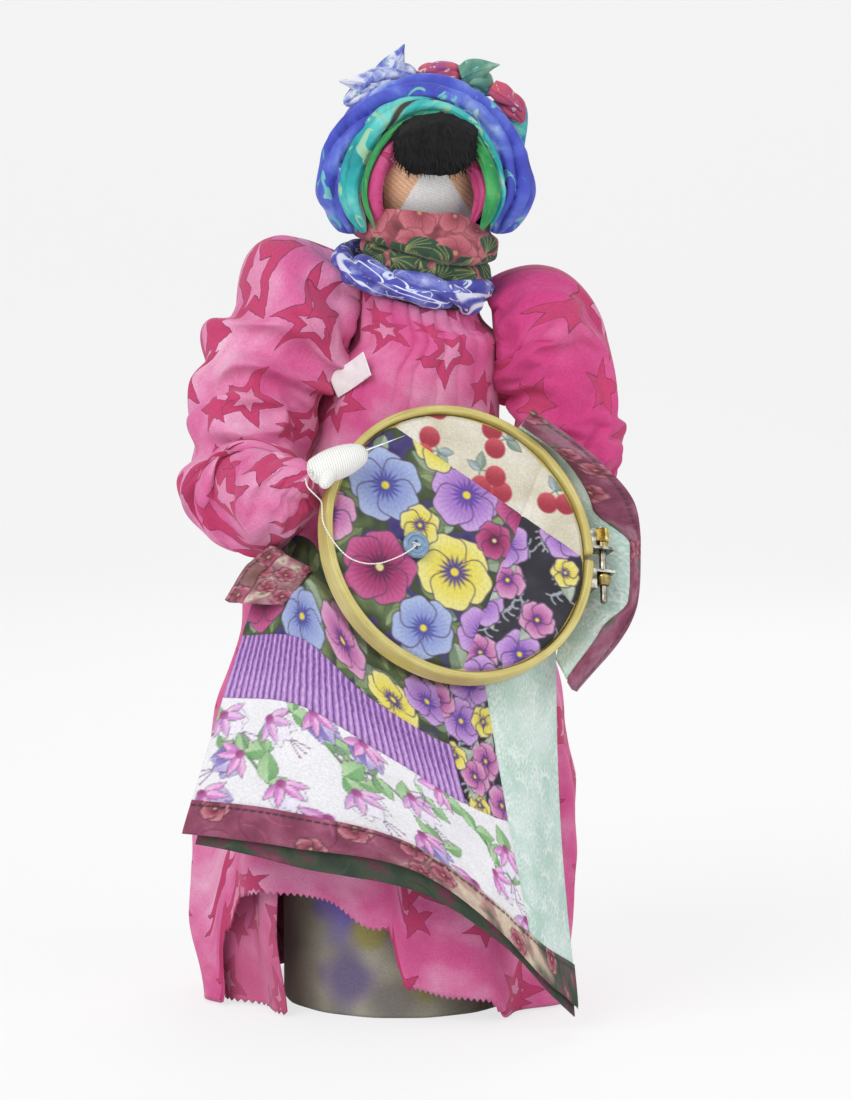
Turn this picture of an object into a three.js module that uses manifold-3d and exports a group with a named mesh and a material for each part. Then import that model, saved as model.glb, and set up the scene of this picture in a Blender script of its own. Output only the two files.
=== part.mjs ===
// A cloth folk doll that stitches a quilt in a round hoop, in millimetres, +Z up, facing -Y.
// The origin is the centre of the base disc's underside, and the doll's right arm is at -X.
import * as THREE from "three";
import { mergeVertices } from "three/addons/utils/BufferGeometryUtils.js";
import Module from "manifold-3d";

// Driving dimensions
const GAP = 0.3; // left between pieces that touch
const CLOTH = 1.2; // thickness of one layer of dress cloth, with its lining
const QUILT = 1.4; // thickness of the pieced top with its batting
const NECK_PLAY = 2.2; // room round the collar for the head to turn

const POST_RADIUS = 4.8;
const POST_X = 8; // the post stands a little to the doll's left
const POST_TOP = 334;
const BASE_RADIUS = 45;
const BASE_HEIGHT = 8;
const COVER_HEIGHT = 118; // printed cover round the body column
const BODY_RADIUS = BASE_RADIUS; // the stuffed body stands on the whole disc
const BODY_TOP = 299; // top of the stuffed neck

const HEAD_CENTRE = new THREE.Vector3(9, 0, 330);
const HEAD_RADII = new THREE.Vector3(26, 30, 31);
const TURBAN_X = 10; // middle of the head scarf
const TURBAN_Z = 320;
const TURBAN_FOOT = 305; // the scarf's lower edge at the back
const CAP_RADII = new THREE.Vector3(42, 40, 45);

const COLLAR_CENTRE = new THREE.Vector3(5, -3.5, 290.5);
const COLLAR_HALF_X = 26;
const COLLAR_HALF_Y = 33.5;
const COLLAR_ROLL = 6.8; // radius of the twisted roll

const RIGHT_ARMHOLE_X = -18;
const LEFT_ARMHOLE_X = 40;
const SHOULDER_PIN = 11; // wire that reaches into the body along the shoulder's axis
const WIRE_RADIUS = 1.1;
const RIGHT_SHOULDER_Z = 270;
const LEFT_SHOULDER_Z = 266;

const HOOP_CENTRE = new THREE.Vector3(24, -78.4, 192); // middle of the front rim
const HOOP_RADIUS = 55; // outside of the outer ring, a 110 mm hoop
const OUTER_RING_WALL = 3;
const INNER_RING_WALL = 4;
const RING_DEPTH = 9.5;
const HOOP_CLOTH_SINK = 1.2; // the cloth lies this far behind the front rim
const HOOP_CLOTH = 0.9;
const BATTING = 1.8;
const HOOP_NORMAL = new THREE.Vector3(0.371, -0.833, 0.411).normalize();
const HOOP_LONG = new THREE.Vector3(-0.656, 0.079, 0.751); // in its plane, up and to the doll's right
const CLAMP_TURN = -134; // degrees from HOOP_LONG to the split
const SPLIT = 2.4; // width of the split in the outer ring

const SCREW_RADIUS = 1.5;
const SCREW_OFFSET = 5.6; // from the ring's outside to the screw's axis
const SCREW_HEAD = 8;
const SCREW_HEAD_RADIUS = 3;
const SCREW_TAIL = 17;
const LUG_SHEET = 1.1;
const LUG_WIDTH = 7;
const LUG_SPREAD = 4.2; // from the split's middle to each ear
const LUG_FOOT = 8; // length of the foot along the ring
const NUT_HEIGHT = 4.2;
const NUT_RADIUS = 3.2;

const BUTTON_RADIUS = 5.2;
const BUTTON_THICK = 2.2;
const BUTTON_LONG = 10; // the button's place along the hoop's two directions
const BUTTON_SHORT = 16.5;
const NEEDLE_RADIUS = 0.45;
const THREAD_RADIUS = 0.25;
const TAG_SIZE = new THREE.Vector3(20, 0.7, 10);

const wasm = await Module();
wasm.setup();

const group = new THREE.Group();

// Shapes, joins and cuts

function at(x, y, z) {
  return new THREE.Vector3(x, y, z);
}

function signedVolume(points, faces) {
  let sum = 0;
  for (let i = 0; i < faces.length; i += 3) {
    const [a, b, c] = [points[faces[i]], points[faces[i + 1]], points[faces[i + 2]]];
    sum += a.dot(b.clone().cross(c)) / 6;
  }
  return sum;
}

// A closed surface from points and triangles, turned to face out.
function closed(points, faces) {
  const outward = signedVolume(points, faces) < 0 ? faces.slice().reverse() : faces;
  const flat = new Float32Array(points.length * 3);
  points.forEach((p, i) => p.toArray(flat, i * 3));
  const geometry = new THREE.BufferGeometry();
  geometry.setAttribute("position", new THREE.BufferAttribute(flat, 3));
  geometry.setIndex(outward);
  return geometry;
}

function solidOf(geometry) {
  const loose = geometry.index ? geometry.toNonIndexed() : geometry.clone();
  const bare = new THREE.BufferGeometry().setAttribute("position", loose.getAttribute("position"));
  const merged = mergeVertices(bare, 1e-4);
  return new wasm.Manifold(
    new wasm.Mesh({
      numProp: 3,
      vertProperties: merged.attributes.position.array,
      triVerts: new Uint32Array(merged.index.array),
    }),
  );
}

function geometryOf(solid) {
  const mesh = solid.getMesh();
  const geometry = new THREE.BufferGeometry();
  geometry.setAttribute("position", new THREE.BufferAttribute(mesh.vertProperties, 3));
  geometry.setIndex(new THREE.BufferAttribute(mesh.triVerts, 1));
  return geometry;
}

function cut(geometry, ...tools) {
  return geometryOf(tools.reduce((solid, tool) => solid.subtract(solidOf(tool)), solidOf(geometry)));
}

function join(...geometries) {
  const [first, ...rest] = geometries.map(solidOf);
  return geometryOf(rest.reduce((solid, more) => solid.add(more), first));
}

function common(geometry, tool) {
  return geometryOf(solidOf(geometry).intersect(solidOf(tool)));
}

// A solid skin over rings of points, closed by a fan at both ends.
function skin(rings) {
  const sides = rings[0].length;
  const points = rings.flat();
  const faces = [];
  for (let row = 0; row + 1 < rings.length; row += 1) {
    for (let i = 0; i < sides; i += 1) {
      const next = (i + 1) % sides;
      const [a, b] = [row * sides + i, row * sides + next];
      faces.push(a, b, b + sides, a, b + sides, a + sides);
    }
  }
  const last = (rings.length - 1) * sides;
  [0, last].forEach((start, end) => {
    const middle = points.length;
    points.push(meanOf(points.slice(start, start + sides)));
    for (let i = 0; i < sides; i += 1) {
      const [a, b] = [start + i, start + ((i + 1) % sides)];
      faces.push(...(end ? [a, b, middle] : [b, a, middle]));
    }
  });
  return closed(points, faces);
}

function meanOf(points) {
  return points.reduce((sum, p) => sum.add(p), at(0, 0, 0)).divideScalar(points.length);
}

// A wall between an outer and an inner set of rings, open at both ends as a sleeve is.
function wall(outer, inner) {
  const sides = outer[0].length;
  const rows = [...outer, ...inner.slice().reverse()];
  const faces = [];
  rows.forEach((_, row) => {
    const below = (row + 1) % rows.length;
    for (let i = 0; i < sides; i += 1) {
      const next = (i + 1) % sides;
      const [a, b, c, d] = [row * sides + i, row * sides + next, below * sides + next, below * sides + i];
      faces.push(a, b, c, a, c, d);
    }
  });
  return closed(rows.flat(), faces);
}

// A sheet of even thickness on part of a surface; `patch` is [u0, u1, v0, v1].
function sheet(surface, patch, columns, rows, thickness, offset = 0) {
  const [u0, u1, v0, v1] = patch;
  const front = [];
  const back = [];
  for (let j = 0; j <= rows; j += 1) {
    for (let i = 0; i <= columns; i += 1) {
      const u = u0 + ((u1 - u0) * i) / columns;
      const v = v0 + ((v1 - v0) * j) / rows;
      const p = surface(u, v);
      const n = normalAt(surface, u, v);
      front.push(p.clone().addScaledVector(n, offset + thickness / 2));
      back.push(p.clone().addScaledVector(n, offset - thickness / 2));
    }
  }
  return closed([...front, ...back], sheetFaces(columns, rows, front.length));
}

function normalAt(surface, u, v) {
  const step = 1e-3;
  const across = surface(u + step, v).sub(surface(u - step, v));
  const down = surface(u, v + step).sub(surface(u, v - step));
  return down.cross(across).normalize();
}

function sheetFaces(columns, rows, layer) {
  const wide = columns + 1;
  const faces = [];
  const quad = (a, b, c, d) => faces.push(a, b, c, a, c, d);
  for (let j = 0; j < rows; j += 1) {
    for (let i = 0; i < columns; i += 1) {
      const a = j * wide + i;
      quad(a, a + 1, a + wide + 1, a + wide);
      quad(layer + a + wide, layer + a + wide + 1, layer + a + 1, layer + a);
    }
  }
  for (let i = 0; i < columns; i += 1) {
    const low = rows * wide + i;
    quad(i, layer + i, layer + i + 1, i + 1);
    quad(low + 1, layer + low + 1, layer + low, low);
  }
  for (let j = 0; j < rows; j += 1) {
    const [a, b] = [j * wide, j * wide + columns];
    quad(a + wide, layer + a + wide, layer + a, a);
    quad(b, layer + b, layer + b + wide, b + wide);
  }
  return faces;
}

// A limb or roll along a path: `radiusAt(t, angle)` is its radius, `grow` widens it as a cutting tool.
function limb(path, radiusAt, sides, steps, grow = 0, reference = at(0, 0, 1)) {
  const rings = [];
  for (let i = 0; i <= steps; i += 1) {
    const t = i / steps;
    const [side, up] = crossFrame(path.getTangentAt(t), reference);
    const centre = path.getPointAt(t);
    rings.push(ringAt(centre, side, up, sides, (angle) => radiusAt(t, angle) + grow));
  }
  return skin(rings);
}

function crossFrame(tangent, reference) {
  const side = reference.clone().cross(tangent).normalize();
  return [side, tangent.clone().cross(side).normalize()];
}

function ringAt(centre, side, up, sides, radius) {
  return Array.from({ length: sides }, (_, i) => {
    const angle = (2 * Math.PI * i) / sides;
    const r = radius(angle);
    const point = centre.clone().addScaledVector(side, r * Math.cos(angle));
    return point.addScaledVector(up, r * Math.sin(angle));
  });
}

// A round wire, needle or thread of even radius along a path.
function rod(path, radius, sides, steps) {
  const section = new THREE.Shape();
  for (let i = 0; i < sides; i += 1) {
    const angle = (2 * Math.PI * i) / sides;
    const [x, y] = [radius * Math.cos(angle), radius * Math.sin(angle)];
    if (i) section.lineTo(x, y);
    else section.moveTo(x, y);
  }
  section.closePath();
  return new THREE.ExtrudeGeometry(section, { steps, bevelEnabled: false, extrudePath: path });
}

function turned(profile, segments) {
  const geometry = new THREE.LatheGeometry(profile.map(([r, z]) => new THREE.Vector2(r, z)), segments);
  return geometry.rotateX(Math.PI / 2);
}

// A turned piece faces out whichever way its profile runs.
function turnedSolid(profile, segments) {
  const geometry = turned(profile, segments).toNonIndexed();
  const merged = mergeVertices(
    new THREE.BufferGeometry().setAttribute("position", geometry.getAttribute("position")),
    1e-4,
  );
  const position = merged.getAttribute("position");
  const points = [];
  for (let i = 0; i < position.count; i += 1) points.push(at(0, 0, 0).fromBufferAttribute(position, i));
  return closed(points, Array.from(merged.index.array));
}

function rodSolid(radius, low, high, segments = 20) {
  return turnedSolid([[0, low], [radius, low], [radius, high], [0, high]], segments);
}

function tubeSolid(inner, outer, low, high, segments) {
  return turnedSolid([[inner, low], [outer, low], [outer, high], [inner, high], [inner, low]], segments);
}

function block(low, high) {
  const size = high.clone().sub(low);
  const middle = low.clone().add(high).multiplyScalar(0.5);
  return new THREE.BoxGeometry(size.x, size.y, size.z).translate(middle.x, middle.y, middle.z);
}

// Everything of the doll below a height, as a tool
function below(z) {
  return block(at(-100, -100, 0), at(120, 100, z));
}

function egg(centre, radii, grow = 0, across = 20, high = 12) {
  const ball = new THREE.SphereGeometry(1, across, high).rotateX(Math.PI / 2);
  ball.scale(radii.x + grow, radii.y + grow, radii.z + grow);
  return ball.translate(centre.x, centre.y, centre.z);
}

// A value read along a list of [place, value] pairs, eased between them.
function along(pairs, place) {
  if (place <= pairs[0][0]) return pairs[0][1];
  for (let i = 1; i < pairs.length; i += 1) {
    const [[from, a], [to, b]] = [pairs[i - 1], pairs[i]];
    if (place <= to) return a + (b - a) * THREE.MathUtils.smoothstep(place, from, to);
  }
  return pairs[pairs.length - 1][1];
}

// Puts a geometry in a frame with the given origin and axes.
function placed(geometry, origin, xAxis, yAxis, zAxis) {
  const frame = new THREE.Matrix4().makeBasis(xAxis, yAxis, zAxis).setPosition(origin);
  return geometry.clone().applyMatrix4(frame);
}

function curve(points) {
  return new THREE.CatmullRomCurve3(points, false, "centripetal");
}

function add(name, geometry, color, roughness = 0.85, metalness = 0) {
  const mesh = new THREE.Mesh(geometry, new THREE.MeshStandardMaterial({ color, roughness, metalness }));
  mesh.name = name;
  group.add(mesh);
  return mesh;
}

// The body column: base disc, post, stuffed body and its printed cover

const BODY_SIDES = 20;
const BODY_ROWS = [
  // height, middle x, half width, half depth
  [BASE_HEIGHT + GAP, 0, BODY_RADIUS, BODY_RADIUS],
  [60, 0, 44, 44],
  [COVER_HEIGHT, 2, 39, 39],
  [170, 5, 32, 31],
  [215, 9, 25, 26],
  [250, 10.5, 24.5, 25],
  [266, 10.5, 23, 21],
  [277, 9.5, 16, 15],
  [287, POST_X, 12, 12],
  [BODY_TOP, POST_X, 11, 11],
];

function bodyRing([z, x, halfWidth, halfDepth]) {
  return Array.from({ length: BODY_SIDES }, (_, i) => {
    const angle = (2 * Math.PI * i) / BODY_SIDES;
    return at(x + halfWidth * Math.cos(angle), halfDepth * Math.sin(angle), z);
  });
}

function postBore(low, high) {
  return rodSolid(POST_RADIUS + GAP, low, high).translate(POST_X, 0, 0);
}

function shoulderBore(x, side, z) {
  const reach = SHOULDER_PIN + 2;
  const bore = rodSolid(WIRE_RADIUS + GAP, -reach, reach, 14).rotateY(Math.PI / 2);
  return bore.translate(x + side * 2, 0, z);
}

const baseDisc = cut(rodSolid(BASE_RADIUS, 0, BASE_HEIGHT, 40), postBore(-1, BASE_HEIGHT + 1));
const centerPost = rodSolid(POST_RADIUS, 0, POST_TOP).translate(POST_X, 0, 0);
const stuffedBody = cut(
  skin(BODY_ROWS.map(bodyRing)),
  postBore(0, BODY_TOP + 5),
  shoulderBore(RIGHT_ARMHOLE_X, 1, RIGHT_SHOULDER_Z),
  shoulderBore(LEFT_ARMHOLE_X, -1, LEFT_SHOULDER_Z),
);

const coverInner = BODY_RADIUS + GAP + 0.4;
const bodyCover = turnedSolid(
  [
    [coverInner, 0],
    [coverInner + CLOTH, 0],
    [coverInner + CLOTH, 60],
    [coverInner - 3, COVER_HEIGHT - 4],
    [coverInner - 3 - CLOTH, COVER_HEIGHT - 4],
    [coverInner, 60],
    [coverInner, 0],
  ],
  36,
);

add("base_disc", baseDisc, 0xc8a878, 0.7);
add("center_post", centerPost, 0xc8a878, 0.7);
add("stuffed_body", stuffedBody, 0xe8e2d6);
add("printed_cover", bodyCover, 0x8c8a70);

// The dress: gathered under the collar, full in the skirt, its hem caught up in an arch in front

const DRESS_SIDES = 40;
const DRESS_ROWS = 11;
const DRESS_TOP = 290;
const SKIRT_FOLDS = 10;
const RIM_DROP = COLLAR_ROLL + GAP; // the neckline is gathered just under the collar
const HEM_CLEAR = 0.6; // the hem just clears the floor
const DRESS_LEFT = [[0, -77], [35, -82], [64, -81], [109, -74], [157, -62], [184, -56], [205, -36],
  [230, -17.5], [262, -17.5], [290, -17.5]];
const DRESS_RIGHT = [[0, 66], [64, 68], [109, 66], [157, 58], [184, 50], [205, 41], [230, 39.5],
  [262, 39.5], [290, 31]];
const DRESS_FRONT = [[0, -62], [64, -64], [109, -62], [157, -58], [184, -52], [205, -46], [237, -41],
  [262, -40], [275, -39], [290, -35]];
const DRESS_BACK = [[0, 60], [64, 62], [109, 60], [157, 52], [184, 44], [205, 36], [237, 29],
  [275, 28], [290, 27]];
const ARCH = { left: -0.86, peak: -0.62, shelf: 0.3, right: 0.66, high: 50, low: 16 }; // radians, mm

function collarHeight(x, y) {
  return COLLAR_CENTRE.z - 0.2 * (x - COLLAR_CENTRE.x) + 0.13 * (y - COLLAR_CENTRE.y);
}

// Height of the hem at an angle from straight ahead, with the arch in front.
function hemHeight(angle) {
  const { left, peak, shelf, right, high, low } = ARCH;
  return HEM_CLEAR + along([[left, 0], [peak, high], [shelf, low], [right, 0]], angle);
}

// A point of the dress at an angle from straight ahead and a share of the way down.
function dressPoint(angle, share, inset = 0) {
  const turn = Math.atan2(Math.sin(angle), Math.cos(angle));
  const bottom = hemHeight(turn);
  const z = DRESS_TOP + (bottom - DRESS_TOP) * share;
  const left = along(DRESS_LEFT, z);
  const right = along(DRESS_RIGHT, z);
  const middle = (left + right) / 2;
  const depth = Math.cos(turn) > 0 ? -along(DRESS_FRONT, z) : along(DRESS_BACK, z);
  const fullness = 0.045 * THREE.MathUtils.smoothstep(-z, -210, -60);
  const fold = 1 + fullness * Math.cos(SKIRT_FOLDS * turn + 0.6);
  const rimHeight = collarHeight(middle + right * Math.sin(turn) * 0.8, -depth * Math.cos(turn)) - RIM_DROP;
  const atTop = THREE.MathUtils.smoothstep(z, 262, DRESS_TOP);
  return at(
    middle + ((right - left) / 2 * fold - inset) * Math.sin(turn),
    -(depth * fold - inset) * Math.cos(turn),
    z + (rimHeight - DRESS_TOP) * atTop,
  );
}

function dressRings(inset) {
  return Array.from({ length: DRESS_ROWS + 1 }, (_, row) => {
    const share = (row / DRESS_ROWS) ** 0.86;
    const turn = (2 * Math.PI) / DRESS_SIDES;
    return Array.from({ length: DRESS_SIDES }, (_, i) => dressPoint(turn * i, share, inset));
  });
}

// The collar: a rope of scarf cloth round the neck, thicker towards its tucked end
function collarPoint(angle) {
  const x = COLLAR_CENTRE.x + COLLAR_HALF_X * Math.cos(angle);
  const y = COLLAR_CENTRE.y + COLLAR_HALF_Y * Math.sin(angle);
  return at(x, y, collarHeight(x, y));
}

function collarRoll(grow, sides = 9, steps = 34) {
  const rings = [];
  for (let i = 0; i < steps; i += 1) {
    const angle = (2 * Math.PI * i) / steps;
    const outward = at(Math.cos(angle) / COLLAR_HALF_X, Math.sin(angle) / COLLAR_HALF_Y, 0).normalize();
    const twist = (a) => COLLAR_ROLL * (0.93 + 0.07 * Math.cos(2 * a + 7 * angle)) + grow;
    rings.push(ringAt(collarPoint(angle), outward, at(0, 0, 1), sides, twist));
  }
  return loop(rings);
}

// A closed ring of rings, like a hoop or a rope without ends.
function loop(rings) {
  const sides = rings[0].length;
  const faces = [];
  rings.forEach((_, row) => {
    const after = ((row + 1) % rings.length) * sides;
    for (let i = 0; i < sides; i += 1) {
      const next = (i + 1) % sides;
      faces.push(row * sides + i, row * sides + next, after + next);
      faces.push(row * sides + i, after + next, after + i);
    }
  });
  return closed(rings.flat(), faces);
}

const dress = cut(
  wall(dressRings(0), dressRings(CLOTH)),
  shoulderBore(RIGHT_ARMHOLE_X, 1, RIGHT_SHOULDER_Z),
  shoulderBore(LEFT_ARMHOLE_X, -1, LEFT_SHOULDER_Z),
);
const dressFilled = skin(dressRings(-GAP)); // the dress as a tool that clears what lies on it

add("dress", dress, 0xd64a80);
add("collar_roll", collarRoll(0), 0x7d86c8);

// The head: stuffed ball on the post, face cloth, hood strips, hair and the rolled head scarf

const HEAD_BORE = rodSolid(POST_RADIUS + GAP, HEAD_CENTRE.z - HEAD_RADII.z - 5, POST_TOP + 2);
const headBall = cut(
  egg(HEAD_CENTRE, HEAD_RADII),
  HEAD_BORE.translate(POST_X, 0, 0),
  below(BODY_TOP + GAP),
);

const FACE_HALF = 15; // half the face cloth's width
const FACE_UP = 14; // its reach above the head's middle, and below it
const FACE_DOWN = 24;

// A point on the front of the head ball, `u` across and `v` down.
function facePoint(u, v) {
  const x = THREE.MathUtils.lerp(-FACE_HALF, FACE_HALF, u);
  const z = THREE.MathUtils.lerp(FACE_UP, -FACE_DOWN, v);
  const rise = 1 - (x / HEAD_RADII.x) ** 2 - (z / HEAD_RADII.z) ** 2;
  const y = -HEAD_RADII.y * Math.sqrt(Math.max(rise, 0.04));
  return at(HEAD_CENTRE.x + x, HEAD_CENTRE.y + y, HEAD_CENTRE.z + z);
}

// An arch round the face, seen from the front: `t` runs from the doll's right foot over the top.
const ARCH_START = -0.42; // how far past level the arch's feet reach, in radians
function archCurve(halfWidth, rise, y, lean) {
  const count = 14;
  const points = [];
  for (let i = 0; i <= count; i += 1) {
    const angle = Math.PI - ARCH_START + ((2 * ARCH_START - Math.PI) * i) / count;
    const z = TURBAN_Z + rise * Math.sin(angle);
    points.push(at(TURBAN_X + halfWidth * Math.cos(angle), y + lean * (z - TURBAN_Z), z));
  }
  return curve(points);
}

// The rolls of the head scarf, from the outside in to the starred hood
const ROLLS = {
  outer: { arch: archCurve(34.5, 38.5, -9, 0.04), radius: 8.6, ripple: 0.05, sides: 10 },
  inner: { arch: archCurve(36, 40.5, -24, 0.08), radius: 6.6, ripple: 0.06, sides: 10 },
  fold: { arch: archCurve(31, 36.5, -33, 0.1), radius: 4.4, ripple: 0.08, sides: 10 },
  green: { arch: archCurve(25.5, 31, -37, 0.12), radius: 3.1, ripple: 0, sides: 8 },
  hood: { arch: archCurve(20.5, 25, -32, 0.12), radius: 3.6, ripple: 0, sides: 8 },
};
const ROLL_STEPS = 16;

function archRoll({ arch, radius, ripple, sides }, grow = 0) {
  const swell = (t) => 0.78 + 0.22 * Math.sin(Math.PI * t);
  const crease = (t, a) => 1 + ripple * Math.cos(3 * a + 9 * t);
  return limb(arch, (t, a) => radius * swell(t) * crease(t, a), sides, ROLL_STEPS, grow, at(0, 1, 0));
}

const footPlane = below(TURBAN_FOOT);
const collarRoom = collarRoll(NECK_PLAY, 8, 24);
const NECK_TURNS = [-12, -6, 6, 12]; // degrees; the chin's cloth clears the collar at all of these
const chinClearance = NECK_TURNS.map((degrees) => {
  const roll = collarRoll(GAP + 0.6, 8, 24).translate(-POST_X, 0, 0);
  return roll.rotateZ(THREE.MathUtils.degToRad(degrees)).translate(POST_X, 0, 0);
});
const headRoom = egg(HEAD_CENTRE, HEAD_RADII, GAP, 20, 12);

// The scarf over the chin, one big fold of cloth from cheek to cheek
function chinPoint(u, v) {
  const angle = THREE.MathUtils.lerp(-1.02, 0.98, u);
  const z = THREE.MathUtils.lerp(315, 290, v);
  const reach = 33.5 + 5 * Math.sin(Math.PI * (0.25 + 0.55 * v)) + 1.2 * Math.cos(9 * v + 3 * angle);
  return at(POST_X + 3 + 0.78 * reach * Math.sin(angle), -reach * Math.cos(angle), z);
}
const CHIN_THICK = 4.2;
const chinRoom = sheet(chinPoint, [-0.01, 1.01, -0.02, 1.02], 14, 8, CHIN_THICK + 2 * GAP);
const chinScarf = cut(
  sheet(chinPoint, [0, 1, 0, 1], 14, 8, CHIN_THICK), headRoom, collarRoom, ...chinClearance,
);

const FACE_OFF = CLOTH / 2 + 2 * GAP;
const faceRoom = sheet(facePoint, [-0.01, 1.01, -0.01, 1.01], 8, 8, CLOTH + 2 * GAP, FACE_OFF);

const outerRoll = cut(archRoll(ROLLS.outer), headRoom, footPlane);
const innerRoll = cut(archRoll(ROLLS.inner), chinRoom, archRoll(ROLLS.outer, GAP), headRoom, footPlane);
const foldRoll = cut(archRoll(ROLLS.fold), chinRoom, archRoll(ROLLS.inner, GAP), headRoom, footPlane);
const greenRoll = cut(archRoll(ROLLS.green), chinRoom, archRoll(ROLLS.fold, GAP), headRoom, footPlane);
const hoodRoll = cut(
  archRoll(ROLLS.hood), chinRoom, archRoll(ROLLS.green, GAP), headRoom, faceRoom, below(TURBAN_FOOT + 2),
);

const CAP_FRONT = -2; // the cap starts behind the outer roll
const turbanCap = cut(
  egg(at(TURBAN_X, 0, TURBAN_Z + 1), CAP_RADII, 0, 18, 12),
  block(at(-80, -80, 200), at(100, CAP_FRONT, 400)),
  archRoll(ROLLS.outer, GAP),
  headRoom,
  footPlane,
);

const FRINGE_CENTRE = at(14, -37.5, 342);
const hairFringe = cut(
  egg(FRINGE_CENTRE, at(16, 5.5, 13), 0, 16, 8),
  headRoom,
  archRoll(ROLLS.green, GAP),
  archRoll(ROLLS.hood, GAP),
  faceRoom,
);
const faceCloth = sheet(facePoint, [0, 1, 0, 1], 8, 8, CLOTH, FACE_OFF);

// Knots and tails on the crown: bunched ends of the scarf
function tail(from, to, radius, bunch) {
  const middle = from.clone().lerp(to, 0.5).add(at(0, -1, 2));
  const shape = curve([from, middle, to]);
  const swell = (t) => 0.55 + 0.5 * Math.sin(Math.PI * t);
  const crease = (t, a) => 1 + bunch * Math.cos(4 * a + 5 * t);
  return limb(shape, (t, a) => radius * swell(t) * crease(t, a), 12, 9, 0, at(0, 1, 0.3));
}

const KNOT_CENTRE = at(16, -3, 369);
const KNOT_RADII = at(9.5, 7, 5);
const TAILS = {
  blue: [at(7, -2, 369), at(-22, -8, 357), 6.5],
  green: [at(24, -1, 367), at(37, -4, 361), 5],
  red: [at(38, 0, 360), at(49, -4, 350), 4.6],
};
const TAIL_BUNCH = 0.12;

function tailOf([from, to, radius], grow = 0) {
  return tail(from, to, radius + grow, TAIL_BUNCH);
}

const crown = [
  egg(at(TURBAN_X, 0, TURBAN_Z + 1), CAP_RADII, GAP, 18, 12),
  archRoll(ROLLS.outer, GAP),
  archRoll(ROLLS.inner, GAP),
];
const redKnot = cut(egg(KNOT_CENTRE, KNOT_RADII, 0, 16, 10), ...crown);
const redKnotRoom = egg(KNOT_CENTRE, KNOT_RADII, GAP, 16, 10);
const blueTail = cut(tailOf(TAILS.blue), redKnotRoom, ...crown);
const greenTail = cut(tailOf(TAILS.green), redKnotRoom, ...crown);
const redTail = cut(tailOf(TAILS.red), tailOf(TAILS.green, GAP), ...crown);

add("head_ball", headBall, 0xe8e2d6);
add("face_cloth", faceCloth, 0xefe9e0);
add("inner_hood", hoodRoll, 0xc23a72);
add("hair_fringe", hairFringe, 0x151517, 0.95);
add("green_edge_roll", greenRoll, 0x2f9a6a);
add("turquoise_fold", foldRoll, 0x1e9aa0);
add("turban_roll_inner", innerRoll, 0x4a5bc0);
add("turban_roll_outer", outerRoll, 0x4552b8);
add("turban_cap", turbanCap, 0x4552b8);
add("red_knot", redKnot, 0xb8485a);
add("blue_tail", blueTail, 0x6a78c8);
add("green_tail", greenTail, 0x2f8a78);
add("red_tail", redTail, 0xb84a58);
add("chin_scarf", chinScarf, 0x8a3a44);

// The hoop's own frame: along the thumb-side direction, across, and out of its front

const HOOP_SHORT = HOOP_NORMAL.clone().cross(HOOP_LONG).normalize();
HOOP_LONG.copy(HOOP_SHORT.clone().cross(HOOP_NORMAL)).normalize();

function inHoop(geometry) {
  return placed(geometry, HOOP_CENTRE, HOOP_LONG, HOOP_SHORT, HOOP_NORMAL);
}

function hoopPoint(long, short, out) {
  return HOOP_CENTRE.clone()
    .addScaledVector(HOOP_LONG, long)
    .addScaledVector(HOOP_SHORT, short)
    .addScaledVector(HOOP_NORMAL, out);
}

const outerInside = HOOP_RADIUS - OUTER_RING_WALL;
const innerOutside = outerInside - GAP;
const innerInside = innerOutside - INNER_RING_WALL;
const clothFront = -HOOP_CLOTH_SINK;
const clothBack = clothFront - HOOP_CLOTH;
const innerFront = clothBack - GAP;
const HOOP_SIDES = 48;
const turnToClamp = THREE.MathUtils.degToRad(CLAMP_TURN);

// In this frame the split lies along +X and the ring's tangent along +Y.
function atClamp(geometry) {
  return inHoop(geometry.clone().rotateZ(turnToClamp));
}

const splitTool = block(
  at(outerInside - 1, -SPLIT / 2, -RING_DEPTH - 1),
  at(HOOP_RADIUS + 1, SPLIT / 2, 1),
);
const outerRing = cut(
  tubeSolid(outerInside, HOOP_RADIUS, -RING_DEPTH, 0, HOOP_SIDES),
  splitTool.clone().rotateZ(turnToClamp),
);
const innerRing = tubeSolid(innerInside, innerOutside, innerFront - RING_DEPTH + 1, innerFront, HOOP_SIDES);
const battingRadius = innerInside - GAP;
const batting = rodSolid(battingRadius, innerFront - BATTING, innerFront, HOOP_SIDES);

// The cloth in the hoop is pieced from three patches, with seams as straight chords.
const SEAM_ANGLE = THREE.MathUtils.degToRad(-73.6); // the long seam, from the hoop's long direction
const SEAM_OUT = 25; // its distance from the hoop's centre
const DARK_SEAM = 19; // and the same two sizes of the dark patch's seam
const disc = rodSolid(innerOutside - GAP, clothBack, clothFront, HOOP_SIDES);

// A half space in the hoop's frame, turned by an angle, on one side of a line.
function halfSpace(angle, from, to) {
  const tool = block(at(from, -200, -50), at(to, 200, 50));
  return tool.rotateZ(angle);
}

const darkAngle = THREE.MathUtils.degToRad(-156);
const berryPatch = common(disc, halfSpace(SEAM_ANGLE, SEAM_OUT + GAP / 2, 200));
const darkPatch = cut(
  common(disc, halfSpace(darkAngle, DARK_SEAM + GAP, 200)),
  halfSpace(SEAM_ANGLE, SEAM_OUT - GAP / 2, 200),
);
const blossomPatch = cut(
  common(disc, halfSpace(SEAM_ANGLE, -200, SEAM_OUT - GAP / 2)),
  halfSpace(darkAngle, DARK_SEAM, 200),
);

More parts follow.
